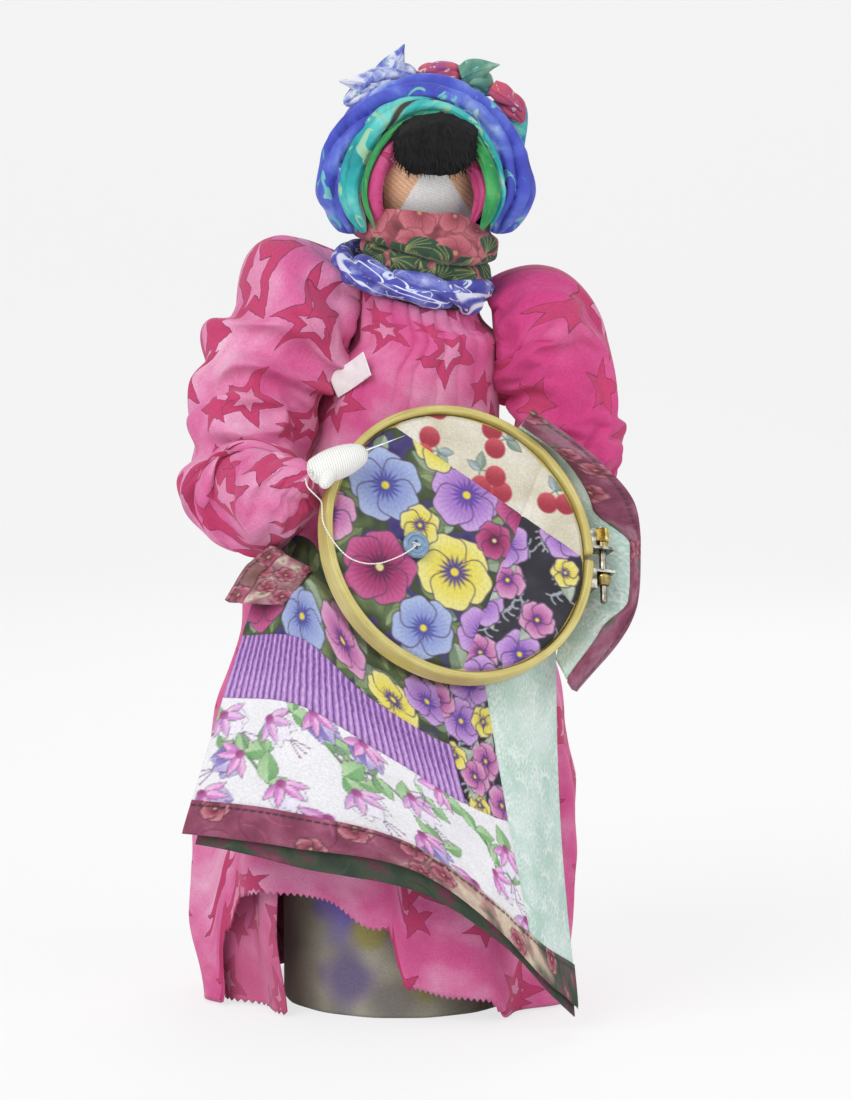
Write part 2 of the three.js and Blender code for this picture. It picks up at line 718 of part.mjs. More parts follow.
add("hoop_outer", inHoop(outerRing), 0xb08a3c, 0.55);
add("hoop_inner", inHoop(innerRing), 0xc8a460, 0.6);
add("hoop_batting", inHoop(batting), 0xeeeae0);
add("hoop_patch_blossom", inHoop(blossomPatch), 0x6f7a58);
add("hoop_patch_berry", inHoop(berryPatch), 0xd8cdb8);
add("hoop_patch_dark", inHoop(darkPatch), 0x2c2a34);

// The clamp: two bent lugs on the ring's ends, a knurled screw and a cone nut

const screwAxis = HOOP_RADIUS + SCREW_OFFSET;
const clampMiddle = -RING_DEPTH / 2;
const screwHole = SCREW_RADIUS + GAP;

function alongScrew(profile, segments) {
  return turnedSolid(profile, segments).rotateX(-Math.PI / 2).translate(screwAxis, 0, clampMiddle);
}

function lug(side) {
  const near = side * LUG_SPREAD;
  const ear = block(
    at(HOOP_RADIUS + GAP, Math.min(near, near + side * LUG_SHEET), clampMiddle - LUG_WIDTH / 2),
    at(screwAxis + 3.6, Math.max(near, near + side * LUG_SHEET), clampMiddle + LUG_WIDTH / 2),
  );
  const far = near + side * LUG_FOOT;
  const foot = block(
    at(HOOP_RADIUS + GAP - 2, Math.min(near, far), clampMiddle - LUG_WIDTH / 2),
    at(HOOP_RADIUS + GAP + LUG_SHEET, Math.max(near, far), clampMiddle + LUG_WIDTH / 2),
  );
  const hole = alongScrew([[0, -30], [screwHole, -30], [screwHole, 30], [0, 30]], 18);
  return cut(join(ear, foot), hole, rodSolid(HOOP_RADIUS + GAP, -30, 30, HOOP_SIDES).rotateZ(-turnToClamp));
}

const headLow = LUG_SPREAD + LUG_SHEET + GAP;
const screw = alongScrew(
  [
    [0, -SCREW_TAIL],
    [SCREW_RADIUS - 0.4, -SCREW_TAIL],
    [SCREW_RADIUS, -SCREW_TAIL + 1],
    [SCREW_RADIUS, headLow],
    [SCREW_HEAD_RADIUS - 0.9, headLow],
    [SCREW_HEAD_RADIUS - 0.9, headLow + 2],
    [SCREW_HEAD_RADIUS, headLow + 2.6],
    [SCREW_HEAD_RADIUS, headLow + SCREW_HEAD - 0.5],
    [SCREW_HEAD_RADIUS - 0.5, headLow + SCREW_HEAD],
    [0, headLow + SCREW_HEAD],
  ],
  20,
);
const nutTop = -(LUG_SPREAD + LUG_SHEET + GAP);
const nut = alongScrew(
  [
    [screwHole, nutTop],
    [screwHole, nutTop - NUT_HEIGHT],
    [NUT_RADIUS - 0.9, nutTop - NUT_HEIGHT],
    [NUT_RADIUS, nutTop - 1.2],
    [NUT_RADIUS, nutTop],
    [screwHole, nutTop],
  ],
  20,
);

add("clamp_lug_upper", atClamp(lug(-1)), 0x3c3a36, 0.45, 1);
add("clamp_lug_lower", atClamp(lug(1)), 0x3c3a36, 0.45, 1);
add("clamp_nut", atClamp(nut), 0xb8924a, 0.35, 1);
add("clamp_screw", atClamp(screw), 0xb8924a, 0.35, 1);

// The button, with four holes, and the stitch that holds it
const buttonLow = clothFront + GAP;
const HOLE_SPREAD = 1.25;
const holes = [0, 1, 2, 3].map((i) => {
  const angle = Math.PI / 4 + (i * Math.PI) / 2;
  const hole = rodSolid(0.65, buttonLow - 1, buttonLow + 5, 10);
  return hole.translate(HOLE_SPREAD * Math.cos(angle), HOLE_SPREAD * Math.sin(angle), 0);
});
const buttonTop = buttonLow + BUTTON_THICK;
const buttonShape = cut(
  turnedSolid(
    [
      [0, buttonLow],
      [BUTTON_RADIUS - 0.7, buttonLow],
      [BUTTON_RADIUS, buttonLow + 0.9],
      [BUTTON_RADIUS - 0.3, buttonTop - 0.3],
      [BUTTON_RADIUS - 1, buttonTop],
      [BUTTON_RADIUS - 1.9, buttonTop - 0.7],
      [0, buttonTop - 0.7],
    ],
    32,
  ),
  ...holes,
);
const stitchLow = buttonTop - 0.7 + GAP;
const stitch = block(at(-1.7, -0.35, stitchLow), at(1.7, 0.35, stitchLow + 0.5)).rotateZ(0.7);

function onCloth(geometry) {
  return inHoop(geometry.clone().translate(BUTTON_LONG, BUTTON_SHORT, 0));
}
add("button", onCloth(buttonShape), 0x8aa0b8, 0.4);
add("button_stitch", onCloth(stitch), 0xf2f0ea);

// The arms: a wire from the shoulder, a puffed sleeve gathered at the wrist, and a wrapped hand

const RIGHT_PATH = [
  at(RIGHT_ARMHOLE_X + 2, 0, RIGHT_SHOULDER_Z + 1),
  at(-34, -4, 275),
  at(-50, -14, 262),
  at(-59, -25, 238),
  at(-61, -39, 215),
  at(-53, -58, 209),
  at(-42, -80, 214),
  at(-33, -93, 219),
];
const LEFT_PATH = [
  at(LEFT_ARMHOLE_X - 2, 0, LEFT_SHOULDER_Z + 1),
  at(52, -3, 268),
  at(63, -8, 252),
  at(66, -15, 230),
  at(65, -24, 210),
  at(61, -31, 201),
];
const RIGHT_SWELL = [
  [0, 20], [0.18, 29], [0.36, 26], [0.55, 24], [0.7, 21.5], [0.84, 14], [0.95, 7.5], [1, 6.6],
];
const LEFT_SWELL = [[0, 18], [0.22, 25], [0.45, 21], [0.7, 19], [0.88, 12], [1, 6.6]];
const RIGHT_PHASE = 0.4; // where the creases lie round each sleeve
const LEFT_PHASE = 1.9;
const SLEEVE_SIDES = 16;
const SLEEVE_STEPS = 15;
const WIRE_SIDES = 8;
const WIRE_STEPS = 18;

function sleeveRadius(swell, phase) {
  return (t, angle) => {
    const creases = 0.045 * Math.sin(5 * angle + 6 * t + phase) + 0.03 * Math.sin(3 * angle - 15 * t);
    return along(swell, t) * (1 + creases * Math.sin(Math.PI * t));
  };
}

function wirePath(armholeX, side, shoulderZ, path, reach) {
  const pin = at(armholeX - side * SHOULDER_PIN, 0, shoulderZ);
  const bend = at(armholeX + side * 3, 0, shoulderZ);
  const out = at(armholeX + side * 12, -2, shoulderZ - 2);
  return curve([pin, bend, out, ...path.slice(2), reach]);
}

function sleeveCloth(path, swell, phase, grow = 0) {
  return limb(curve(path), sleeveRadius(swell, phase), SLEEVE_SIDES, SLEEVE_STEPS, grow, at(0, 1, 0.2));
}

function wireBore(wire) {
  return rod(wire, WIRE_RADIUS + GAP, WIRE_SIDES, WIRE_STEPS);
}

const rightArmhole = block(at(RIGHT_ARMHOLE_X - GAP, -150, 100), at(120, 150, 400));
// Beside the collar the right sleeve stays round about the shoulder's axis, so that it can turn there.
const COLLAR_SIDE = COLLAR_CENTRE.x - COLLAR_HALF_X - COLLAR_ROLL - 2 * GAP;
const SHOULDER_ROUND = 18;
const shoulderRound = rodSolid(SHOULDER_ROUND, -60, 60, 24)
  .rotateY(Math.PI / 2)
  .translate(0, 0, RIGHT_SHOULDER_Z);
const besideCollar = cut(block(at(COLLAR_SIDE, -80, 180), at(20, 80, 380)), shoulderRound);
const leftArmhole = block(at(-120, -150, 100), at(LEFT_ARMHOLE_X + GAP, 150, 400));

// The right hand is a mitten of wound floss with a thumb, and grips the needle.
const NEEDLE_EYE = at(-33.4, -99.5, 219.6);
const NEEDLE_TIP = at(2.7, -79, 231.9);
const HAND_WRIST = at(-31, -97.5, 220);
const HAND_TIP = at(-12, -87.5, 227.5);
const THUMB_TIP = at(-27, -101.5, 214.8);
const rightReach = at(-29, -95.5, 217.6);
const rightWire = wirePath(RIGHT_ARMHOLE_X, -1, RIGHT_SHOULDER_Z, RIGHT_PATH, rightReach);
const leftReach = at(57.5, -37, 199);
const leftWire = wirePath(LEFT_ARMHOLE_X, 1, LEFT_SHOULDER_Z, LEFT_PATH, leftReach);

function mitten(wrist, tip, radius) {
  const palm = curve([wrist, wrist.clone().lerp(tip, 0.5), tip]);
  const shape = (t) => radius * Math.sqrt(Math.max(0.08, 1 - (1.75 * t - 0.78) ** 2));
  return limb(palm, shape, 10, 8, 0, at(0, 1, 0));
}

const needlePath = new THREE.LineCurve3(NEEDLE_EYE, NEEDLE_TIP);
const needle = rod(needlePath, NEEDLE_RADIUS, 8, 1);
const PALM_RADIUS = 6.6;
const palm = mitten(HAND_WRIST, HAND_TIP, PALM_RADIUS);
const thumb = mitten(HAND_WRIST.clone().lerp(HAND_TIP, 0.35), THUMB_TIP, 3.4);
const rightHand = cut(
  join(palm, thumb),
  wireBore(rightWire),
  rod(needlePath, NEEDLE_RADIUS + GAP, 8, 1),
  inHoop(rodSolid(HOOP_RADIUS + GAP, -RING_DEPTH, GAP, HOOP_SIDES)),
);
const handRoom = mitten(HAND_WRIST, HAND_TIP, PALM_RADIUS + GAP);
const LEFT_WRIST = at(61, -31.5, 200.5);
const LEFT_TIP = at(55, -41, 198.5);
const LEFT_PALM = 7;
const leftHand = cut(
  mitten(LEFT_WRIST, LEFT_TIP, LEFT_PALM),
  wireBore(leftWire),
  inHoop(rodSolid(HOOP_RADIUS + GAP, -RING_DEPTH - 3, GAP, HOOP_SIDES)),
);
const rightSleeve = cut(
  sleeveCloth(RIGHT_PATH, RIGHT_SWELL, RIGHT_PHASE),
  dressFilled,
  rightArmhole,
  wireBore(rightWire),
  besideCollar,
  handRoom,
);
const leftSleeve = cut(
  sleeveCloth(LEFT_PATH, LEFT_SWELL, LEFT_PHASE),
  dressFilled,
  leftArmhole,
  wireBore(leftWire),
  mitten(LEFT_WRIST, LEFT_TIP, LEFT_PALM + GAP),
);

add("right_sleeve", rightSleeve, 0xd9568a);
add("right_arm_wire", rod(rightWire, WIRE_RADIUS, WIRE_SIDES, WIRE_STEPS), 0x8a8a8c, 0.4, 1);
add("right_hand", rightHand, 0xf2f0ea);
add("needle", needle, 0xd8d8da, 0.2, 1);
add("left_sleeve", leftSleeve, 0xd9568a);
add("left_arm_wire", rod(leftWire, WIRE_RADIUS, WIRE_SIDES, WIRE_STEPS), 0x8a8a8c, 0.4, 1);
add("left_hand", leftHand, 0xf2f0ea);

// The quilt hangs from the back of the hoop over the doll's lap: `u` across, `v` down

const LAP_TOP = curve([
  at(-54, -60, 172), at(-36, -76, 174), at(-14, -93, 153),
  at(14, -91, 137), at(42, -78, 138), at(68, -61, 148),
]);
const LAP_BOTTOM = curve([
  at(-83, -76, 79), at(-42, -84, 76), at(4, -86, 68),
  at(39, -82, 43), at(58, -76, 21), at(69, -70, 9),
]);
const LAP_BULGE = 5;
const LAP_WAVE = 2.2;
const SEAM = { stripe: 0.23, white: 0.47, binding: 0.88, dark: 0.6, mint: 0.74 };
const SEAM_GAP = 0.0045; // share of the width or height left open at each seam

function lapPoint(u, v) {
  const top = LAP_TOP.getPoint(THREE.MathUtils.clamp(u, 0, 1));
  const low = LAP_BOTTOM.getPoint(THREE.MathUtils.clamp(u, 0, 1));
  const p = top.lerp(low, v);
  const drop = Math.sin(Math.PI * THREE.MathUtils.clamp(v, 0, 1));
  p.y -= LAP_BULGE * drop * Math.sin(Math.PI * u) - LAP_WAVE * v * Math.sin(4.2 * Math.PI * u + 1.2 * v);
  return p;
}

function lapPiece([u0, u1, v0, v1], thickness = QUILT, offset = 0) {
  const columns = Math.max(3, Math.round((u1 - u0) * 20));
  const rows = Math.max(2, Math.round((v1 - v0) * 8));
  const [left, top] = [u0 + SEAM_GAP * Math.sign(u0), v0 + SEAM_GAP * Math.sign(v0)];
  return sheet(lapPoint, [left, u1 - SEAM_GAP, top, v1 - SEAM_GAP], columns, rows, thickness, offset);
}

const hoopRoom = inHoop(rodSolid(HOOP_RADIUS + GAP, -RING_DEPTH - GAP, GAP, HOOP_SIDES));
const BINDING_THICK = 2.6;
const BACKING = 1;
const backingOffset = -(QUILT + BACKING) / 2 - GAP;

add("quilt_panel_print", cut(lapPiece([0, SEAM.dark, 0, SEAM.stripe]), hoopRoom, dressFilled), 0x66704e);
add("quilt_band_ribbed", cut(lapPiece([0, SEAM.dark, SEAM.stripe, SEAM.white]), dressFilled), 0x9a6cb8);
add("quilt_strip_dark", cut(lapPiece([SEAM.dark, SEAM.mint, 0, SEAM.white]), hoopRoom), 0x3a2c30);
add("quilt_band_white", lapPiece([0, SEAM.mint, SEAM.white, SEAM.binding]), 0xe8e6e4);
add("quilt_panel_mint", cut(lapPiece([SEAM.mint, 1, 0, SEAM.binding]), hoopRoom, dressFilled), 0xb8d2c6);
add("quilt_binding", lapPiece([0, 1, SEAM.binding, 1], BINDING_THICK), 0x7a2c44);
const lapBacking = lapPiece([0.02, 0.98, 0.3, SEAM.binding], BACKING, backingOffset);
add("quilt_backing", cut(lapBacking, dressFilled), 0x2c3a30);

// A strip of quilt folded round a rolled edge: `from` and `to` are the curves along its two edges.
function flapPoint(from, to, bulge) {
  return (u, v) => {
    const near = from.getPoint(THREE.MathUtils.clamp(u, 0, 1));
    const p = near.lerp(to.getPoint(THREE.MathUtils.clamp(u, 0, 1)), v);
    const drop = Math.sin(Math.PI * THREE.MathUtils.clamp(v, 0, 1));
    p.y -= bulge * drop + 1.2 * Math.sin(7 * u + 2 * v);
    return p;
  };
}

// The right flap stands out past the hoop, its inner edge between the hoop and the dress.
const RIGHT_INNER = curve([
  at(46, -46, 232), at(58, -39, 222), at(66, -36, 203),
  at(67, -36, 182), at(65, -50, 162), at(60, -71, 146),
]);
const RIGHT_OUTER = curve([
  at(51, -55, 240), at(77, -45, 219), at(91, -41, 203),
  at(93, -41, 182), at(89, -54, 158), at(67, -75, 134),
]);
const LEFT_INNER = curve([at(-29, -76, 192), at(-34, -76, 184), at(-40, -72, 176)]);
const LEFT_OUTER = curve([at(-42, -66, 200), at(-54, -60, 190), at(-64, -58, 176)]);
const BINDING_SHARE = 0.72;
const CLOTH_PART = [0, 1, 0, BINDING_SHARE];
const BOUND_PART = [0, 1, BINDING_SHARE + 0.02, 1];

const rightFlap = flapPoint(RIGHT_INNER, RIGHT_OUTER, 3);
const leftFlap = flapPoint(LEFT_INNER, LEFT_OUTER, 2);
const sleeveRoom = sleeveCloth(RIGHT_PATH, RIGHT_SWELL, RIGHT_PHASE, 1);
const leftTools = [hoopRoom, dressFilled, sleeveRoom];
add("right_flap", cut(sheet(rightFlap, CLOTH_PART, 14, 4, QUILT), hoopRoom, dressFilled), 0xb8d2c6);
add("right_flap_binding", cut(sheet(rightFlap, BOUND_PART, 14, 2, BINDING_THICK), hoopRoom), 0x7a2c44);
add("left_flap", cut(sheet(leftFlap, CLOTH_PART, 8, 4, QUILT), ...leftTools), 0x9a8a70);
add("left_flap_binding", cut(sheet(leftFlap, BOUND_PART, 8, 2, BINDING_THICK), ...leftTools), 0x8a5a5c);

// The blank tag, sewn at one corner to the bodice
const tag = block(TAG_SIZE.clone().multiplyScalar(-0.5), TAG_SIZE.clone().multiplyScalar(0.5));
tag.rotateY(-0.5).rotateZ(0.42);
add("blank_tag", cut(tag.translate(-21, -27.5, 252), dressFilled, sleeveRoom), 0xf0f0f0);

// The thread: from the button's stitch over the hoop's edge, under the hand and into the needle's eye
const THREAD_ROUTE = [
  [6.6, -89, 191], [4.4, -90.8, 189.5], [2.2, -91.8, 188.2], [-0.2, -92.8, 187.1],
  [-3.2, -94.8, 186.1], [-6.8, -97.4, 185.3], [-12.4, -100.6, 185.6], [-17.9, -102.4, 187.7],
  [-22.4, -102.4, 191.8], [-26.3, -100.9, 197.3], [-28.2, -99, 201.6], [-28.4, -98.6, 205.2],
  [-28.6, -100, 208.4], [-30.6, -103, 211.2], [-33.6, -103.2, 214.4], [-34.6, -101, 217.6],
];
const threadPath = curve(THREAD_ROUTE.map(([x, y, z]) => at(x, y, z)));
add("thread", rod(threadPath, THREAD_RADIUS, 8, 44), 0xf4f4f0, 0.7);

export default group;
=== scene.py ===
"""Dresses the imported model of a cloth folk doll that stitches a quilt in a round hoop.

Sizes are in millimetres in the classes below, and become metres where a mesh is made.
"""

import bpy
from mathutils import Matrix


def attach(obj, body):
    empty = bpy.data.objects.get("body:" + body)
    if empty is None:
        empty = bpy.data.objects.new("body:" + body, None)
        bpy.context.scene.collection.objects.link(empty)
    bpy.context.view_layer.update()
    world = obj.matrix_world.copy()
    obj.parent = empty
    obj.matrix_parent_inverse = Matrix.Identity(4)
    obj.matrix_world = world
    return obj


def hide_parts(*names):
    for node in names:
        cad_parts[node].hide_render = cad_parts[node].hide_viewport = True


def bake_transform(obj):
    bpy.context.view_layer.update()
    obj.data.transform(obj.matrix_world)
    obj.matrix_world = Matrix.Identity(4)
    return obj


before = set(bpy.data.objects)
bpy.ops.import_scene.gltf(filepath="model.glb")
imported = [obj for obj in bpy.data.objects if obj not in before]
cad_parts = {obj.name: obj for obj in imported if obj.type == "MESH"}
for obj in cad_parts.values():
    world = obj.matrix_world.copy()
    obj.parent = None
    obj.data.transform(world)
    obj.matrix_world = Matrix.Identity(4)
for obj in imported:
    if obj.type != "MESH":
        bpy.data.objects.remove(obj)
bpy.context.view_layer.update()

import logging
import math
from collections.abc import Callable, Sequence
from dataclasses import dataclass, field, replace
from enum import Enum
from functools import partial
from typing import ClassVar

import bmesh
import bpy
import numpy as np
from bmesh.types import BMesh
from bpy.types import Material, Mesh, Modifier, Node, NodeSocket, NodeTree, Object
from mathutils import Matrix, Vector, noise
from numpy import ndarray as Array

LOG = logging.getLogger("doll")
MM = 0.001
Pair = tuple[float, float]
Stops = Sequence[tuple[float, str]]
Surface = Callable[[Array, Array], Array]
Paint = Callable[["Canvas"], None]
Adder = Callable[..., Node]


class Body(Enum):
    """The doll's moving bodies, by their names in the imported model."""

    TORSO = "torso"
    HEAD = "head"
    RIGHT_ARM = "right_arm"
    LEFT_ARM = "left_arm"
    CLAMP_SCREW = "clamp_screw"


# Numbers and curves


def vec(*values: float) -> Array:
    """A point or direction as an array."""
    return np.array(values, float)


def unit(v: Array) -> Array:
    """Directions of length one, along the last axis."""
    return v / np.maximum(np.linalg.norm(v, axis=-1, keepdims=True), 1e-9)


def smooth(x: Array, low: float, high: float) -> Array:
    """An eased step from 0 at `low` to 1 at `high`."""
    t = np.clip((x - low) / (high - low), 0.0, 1.0)
    return t * t * (3 - 2 * t)


def hump(x: Array, wide: float) -> Array:
    """A soft hump of height 1 at x = 0, which fades over a width."""
    return np.exp(-((x / wide) ** 2))


def along(pairs: Sequence[Pair], place: Array) -> Array:
    """A value read along a list of (place, value) pairs, eased between them.

    Args:
        pairs: places and their values, in order.
        place: where to read.

    Returns:
        One value per place.
    """
    place = np.asarray(place, float)
    value = np.full_like(place, pairs[0][1])
    for (start, a), (stop, b) in zip(pairs, pairs[1:]):
        value = np.where(place > start, a + (b - a) * smooth(place, start, stop), value)
    return value


def rows(*columns: Array) -> Array:
    """Columns of numbers as one row per point."""
    return np.stack(columns, -1)


def round_about(angle: Array, radius: float, z: Array) -> Array:
    """Points on a round wall, where noise closes on itself."""
    return rows(radius * np.cos(angle), radius * np.sin(angle), z)


def globe(u: Array, v: Array) -> Array:
    """Directions from a ball's middle: u round it, v from its foot to its top."""
    turn, tilt = 2 * np.pi * u, np.pi * (v - 0.5)
    return rows(np.cos(turn) * np.cos(tilt), np.sin(turn) * np.cos(tilt), np.sin(tilt))


def grain(points: Array, scale: float, seed: float = 0.0) -> Array:
    """Smooth noise from -1 to 1.

    Args:
        points: one point per row, in millimetres.
        scale: size of a lump, in millimetres.
        seed: moves the noise, so that two pieces differ.

    Returns:
        One value per point.
    """
    offset = Vector((seed * 17.3, seed * 5.1, seed * 29.7))
    return np.array([noise.noise(Vector(p) + offset) for p in points / scale])


def ridges(points: Array, scale: float, seed: float = 0.0) -> Array:
    """Noise with sharp crests, up to 1, for the creases of crumpled cloth."""
    return 1 - np.abs(grain(points, scale, seed)) * 2


class Path:
    """A smooth centripetal curve through points, read by arc length or by point number."""

    def __init__(self, points: Sequence[Sequence[float]], steps: int = 40) -> None:
        """Samples the curve.

        Args:
            points: what it passes through, in millimetres.
            steps: samples between neighbouring points.
        """
        p = np.array(points, float)
        ends = [2 * p[0] - p[1], *p, 2 * p[-1] - p[-2]]
        spans = [self.span(*ends[i - 1 : i + 3], steps) for i in range(1, len(ends) - 2)]
        self.table = np.vstack([*spans, p[-1:]])
        self.number = np.linspace(0, 1, len(self.table))
        reach = np.linalg.norm(np.diff(self.table, axis=0), axis=1)
        self.length = float(reach.sum())
        self.share = np.concatenate([[0], np.cumsum(reach)]) / self.length

    @staticmethod
    def span(a: Array, b: Array, c: Array, d: Array, steps: int) -> Array:
        """Points from b up to c, which turn towards a before and d after.

        Args:
            a: the point before.
            b: where the span starts.
            c: where it ends.
            d: the point after.
            steps: samples on it.

        Returns:
            The samples, without c.
        """
        k0, k1, k2 = (max(np.linalg.norm(q - p), 1e-4) ** 0.5 for p, q in ((a, b), (b, c), (c, d)))
        m1 = ((b - a) / k0 - (c - a) / (k0 + k1) + (c - b) / k1) * k1
        m2 = ((c - b) / k1 - (d - b) / (k1 + k2) + (d - c) / k2) * k1
        t = np.linspace(0, 1, steps, endpoint=False)[:, None]
        return b + m1 * t + (3 * (c - b) - 2 * m1 - m2) * t**2 + (2 * (b - c) + m1 + m2) * t**3

    def read(self, t: Array, places: Array) -> Array:
        """Points of the table at t, where `places` says what t is measured by."""
        t = np.clip(np.asarray(t, float), 0, 1)
        return rows(*(np.interp(t, places, self.table[:, k]) for k in range(3)))

    def point(self, t: Array) -> Array:
        """Points at a share of the length."""
        return self.read(t, self.share)

    def knot(self, t: Array) -> Array:
        """Points at a share of the count of its control points."""
        return self.read(t, self.number)

    def tangent(self, t: Array) -> Array:
        """Directions at a share of the length."""
        t, step = np.asarray(t, float), 4e-3
        return unit(self.point(np.minimum(t + step, 1)) - self.point(np.maximum(t - step, 0)))


def round_ends(t: Array, share: float) -> Array:
    """1 along a roll and down to 0 over a share of it at both ends, as a quarter circle."""
    near = np.clip(np.minimum(t, 1 - t) / share, 0, 1)
    return np.sqrt(np.clip(1 - (1 - near) ** 2, 0, 1))


def limb(path: Path, radius: Surface, reference: Sequence[float] = (0, 1, 0), share: float = 0.04) -> Surface:
    """The surface of a limb or roll round a path.

    Args:
        path: its middle line.
        radius: gives the radius from the place along it and the angle round it.
        reference: the direction from which angles are counted.
        share: how much of the length the rounded ends take.

    Returns:
        A surface of (round, along), both from 0 to 1.
    """

    def surface(u: Array, v: Array) -> Array:
        """A place on the limb."""
        angle = 2 * np.pi * u
        tangent = path.tangent(v)
        side = unit(np.cross(np.array(reference, float), tangent))
        up = np.cross(tangent, side)
        r = (radius(v, angle) * round_ends(v, share))[:, None]
        return path.point(v) + r * (side * np.cos(angle)[:, None] + up * np.sin(angle)[:, None])

    return surface


def egg(centre: Array, radii: Array, bumps: Callable[[Array], Array]) -> Surface:
    """A rounded bunch of cloth.

    Args:
        centre: its middle.
        radii: its half width, depth and height.
        bumps: how far it stands out in each direction, as a share.

    Returns:
        A surface of (round, up), both from 0 to 1.
    """

    def surface(u: Array, v: Array) -> Array:
        """A place on the bunch."""
        way = globe(u, v)
        return centre + way * radii * (1 + bumps(way))[:, None]

    return surface


def even(size: Pair) -> Surface:
    """A flat cloth of a width and height in millimetres, for the UV map."""
    return lambda u, v: rows(u * size[0], v * size[1])


# Meshes


def finish_object(obj: Object, body: Body, nodes: Sequence[str] = ()) -> Object:
    """Lets a finished piece ride on a body and stand for CAD nodes.

    Args:
        obj: the piece.
        body: what it moves with.
        nodes: the CAD nodes that it stands for.

    Returns:
        The same piece.
    """
    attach(obj, body.value)
    if nodes:
        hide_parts(*nodes)
    return obj


def from_bmesh(name: str, bm: BMesh, material: Material) -> Object:
    """A smooth-shaded object from a bmesh, which is freed.

    Args:
        name: the object's name.
        bm: its mesh.
        material: its finish.

    Returns:
        The object, in the scene.
    """
    mesh = bpy.data.meshes.new(name)
    bm.to_mesh(mesh)
    bm.free()
    mesh.materials.append(material)
    mesh.shade_smooth()
    obj = bpy.data.objects.new(name, mesh)
    bpy.context.scene.collection.objects.link(obj)
    return obj


def read_points(mesh: Mesh, name: str) -> Array:
    """A vector of every point of a mesh, one per row.

    Args:
        mesh: the mesh.
        name: co or normal.

    Returns:
        Three numbers per point.
    """
    flat = np.zeros(len(mesh.vertices) * 3, np.float32)
    mesh.vertices.foreach_get(name, flat)
    return flat.reshape(-1, 3)


def write_points(mesh: Mesh, place: Array) -> None:
    """Moves a mesh's points to their places."""
    mesh.vertices.foreach_set("co", place.astype(np.float32).ravel())


def laid(name: str, size: tuple[int, int], surface: Surface, flat: Surface, material: Material,
         paint: Paint | None = None, keep: Surface | None = None) -> Object:
    """A flat grid of cloth laid on a surface, with doubled points merged.

    Args:
        name: the piece's name.
        size: columns and rows.
        surface: place of each point, in millimetres, from its two shares.
        flat: place on the flat cloth, in millimetres, kept as the UV map.
        material: its finish.
        paint: fills the print, kept as the colour attribute `print`.
        keep: says which points stay, from their two shares.

    Returns:
        The object, at the origin, with its place in its mesh.
    """
    bm = bmesh.new()
    bmesh.ops.create_grid(bm, x_segments=size[0], y_segments=size[1], size=1)
    mesh = bpy.data.meshes.new(name)
    bm.to_mesh(mesh)
    bm.free()
    co = read_points(mesh, "co")
    u, v = ((co[:, k].astype(float) + 1) / 2 for k in (0, 1))
    cloth = np.asarray(flat(u, v), float)
    write_points(mesh, surface(u, v) * MM)
    corners = np.zeros(len(mesh.loops), np.int32)
    mesh.loops.foreach_get("vertex_index", corners)
    layer = mesh.uv_layers.new(name="cloth")
    layer.data.foreach_set("uv", cloth[corners].astype(np.float32).ravel())
    if paint:
        canvas = Canvas(cloth[:, 0], cloth[:, 1])
        paint(canvas)
        ink = mesh.color_attributes.new("print", "FLOAT_COLOR", "POINT")
        ink.data.foreach_set("color", canvas.linear().astype(np.float32).ravel())
    bm = bmesh.new()
    bm.from_mesh(mesh)
    bpy.data.meshes.remove(mesh)
    if keep:
        bm.verts.ensure_lookup_table()
        out = [bm.verts[int(i)] for i in np.flatnonzero(~keep(u, v))]
        bmesh.ops.delete(bm, geom=out, context="VERTS")
        empty = [face for face in bm.faces if face.calc_area() < 1e-9]
        bmesh.ops.delete(bm, geom=empty, context="FACES")
    bmesh.ops.remove_doubles(bm, verts=bm.verts, dist=1e-5)
    bmesh.ops.dissolve_degenerate(bm, edges=bm.edges, dist=1e-6)
    bmesh.ops.recalc_face_normals(bm, faces=bm.faces)
    return from_bmesh(name, bm, material)


@dataclass(frozen=True)
class Stuffed:
    """What a padded piece is called, rides on and stands for, and how full it is."""

    name: str
    body: Body
    slot: str
    nodes: tuple[str, ...]
    fill: float

    def make(self, size: tuple[int, int], surface: Surface, flat: Surface, material: Material) -> Object:
        """Args:
            size: columns and rows.
            surface: its shape.
            flat: its UV map.
            material: its finish.

        Returns:
            The finished piece.
        """
        obj = laid(self.name, size, surface, flat, material)
        finish_object(obj, self.body, self.nodes)
        return obj


def thicken(obj: Object, thickness: float, offset: float = 0.0) -> None:
    """Gives a sheet its cloth's thickness, in millimetres.

    Args:
        obj: the sheet.
        thickness: its thickness.
        offset: 0 for both sides, 1 outwards, -1 inwards.
    """
    solid = obj.modifiers.new("cloth", "SOLIDIFY")
    solid.thickness = thickness * MM
    solid.offset = offset
    solid.use_even_offset = False


def dress_node(name: str, material: Material) -> None:
    """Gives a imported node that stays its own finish.

    Args:
        name: the node's name.
        material: its finish.
    """
    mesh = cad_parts[name].data
    mesh.materials.clear()
    mesh.materials.append(material)


# Colours and nodes


def srgb(code: str) -> Array:
    """Red, green and blue from 0 to 1 as written in a hex code."""
    return np.array([int(code[i : i + 2], 16) / 255 for i in (1, 3, 5)])


def to_linear(values: Array) -> Array:
    """sRGB values as linear ones."""
    return np.where(values <= 0.04045, values / 12.92, ((values + 0.055) / 1.055) ** 2.4)


def tone(code: str) -> tuple[float, float, float, float]:
    """A hex colour as a linear colour for a socket."""
    return (*to_linear(srgb(code)), 1.0)


def feed(made: Node, inputs: dict) -> None:
    """Gives a node's named or numbered inputs their values, nodes or sockets.

    Args:
        made: the node.
        inputs: a value, node or socket for each input.
    """
    for key, value in inputs.items():
        if isinstance(value, Node):
            value = value.outputs[0]
        if isinstance(value, NodeSocket):
            made.id_data.links.new(value, made.inputs[key])
        else:
            made.inputs[key].default_value = value


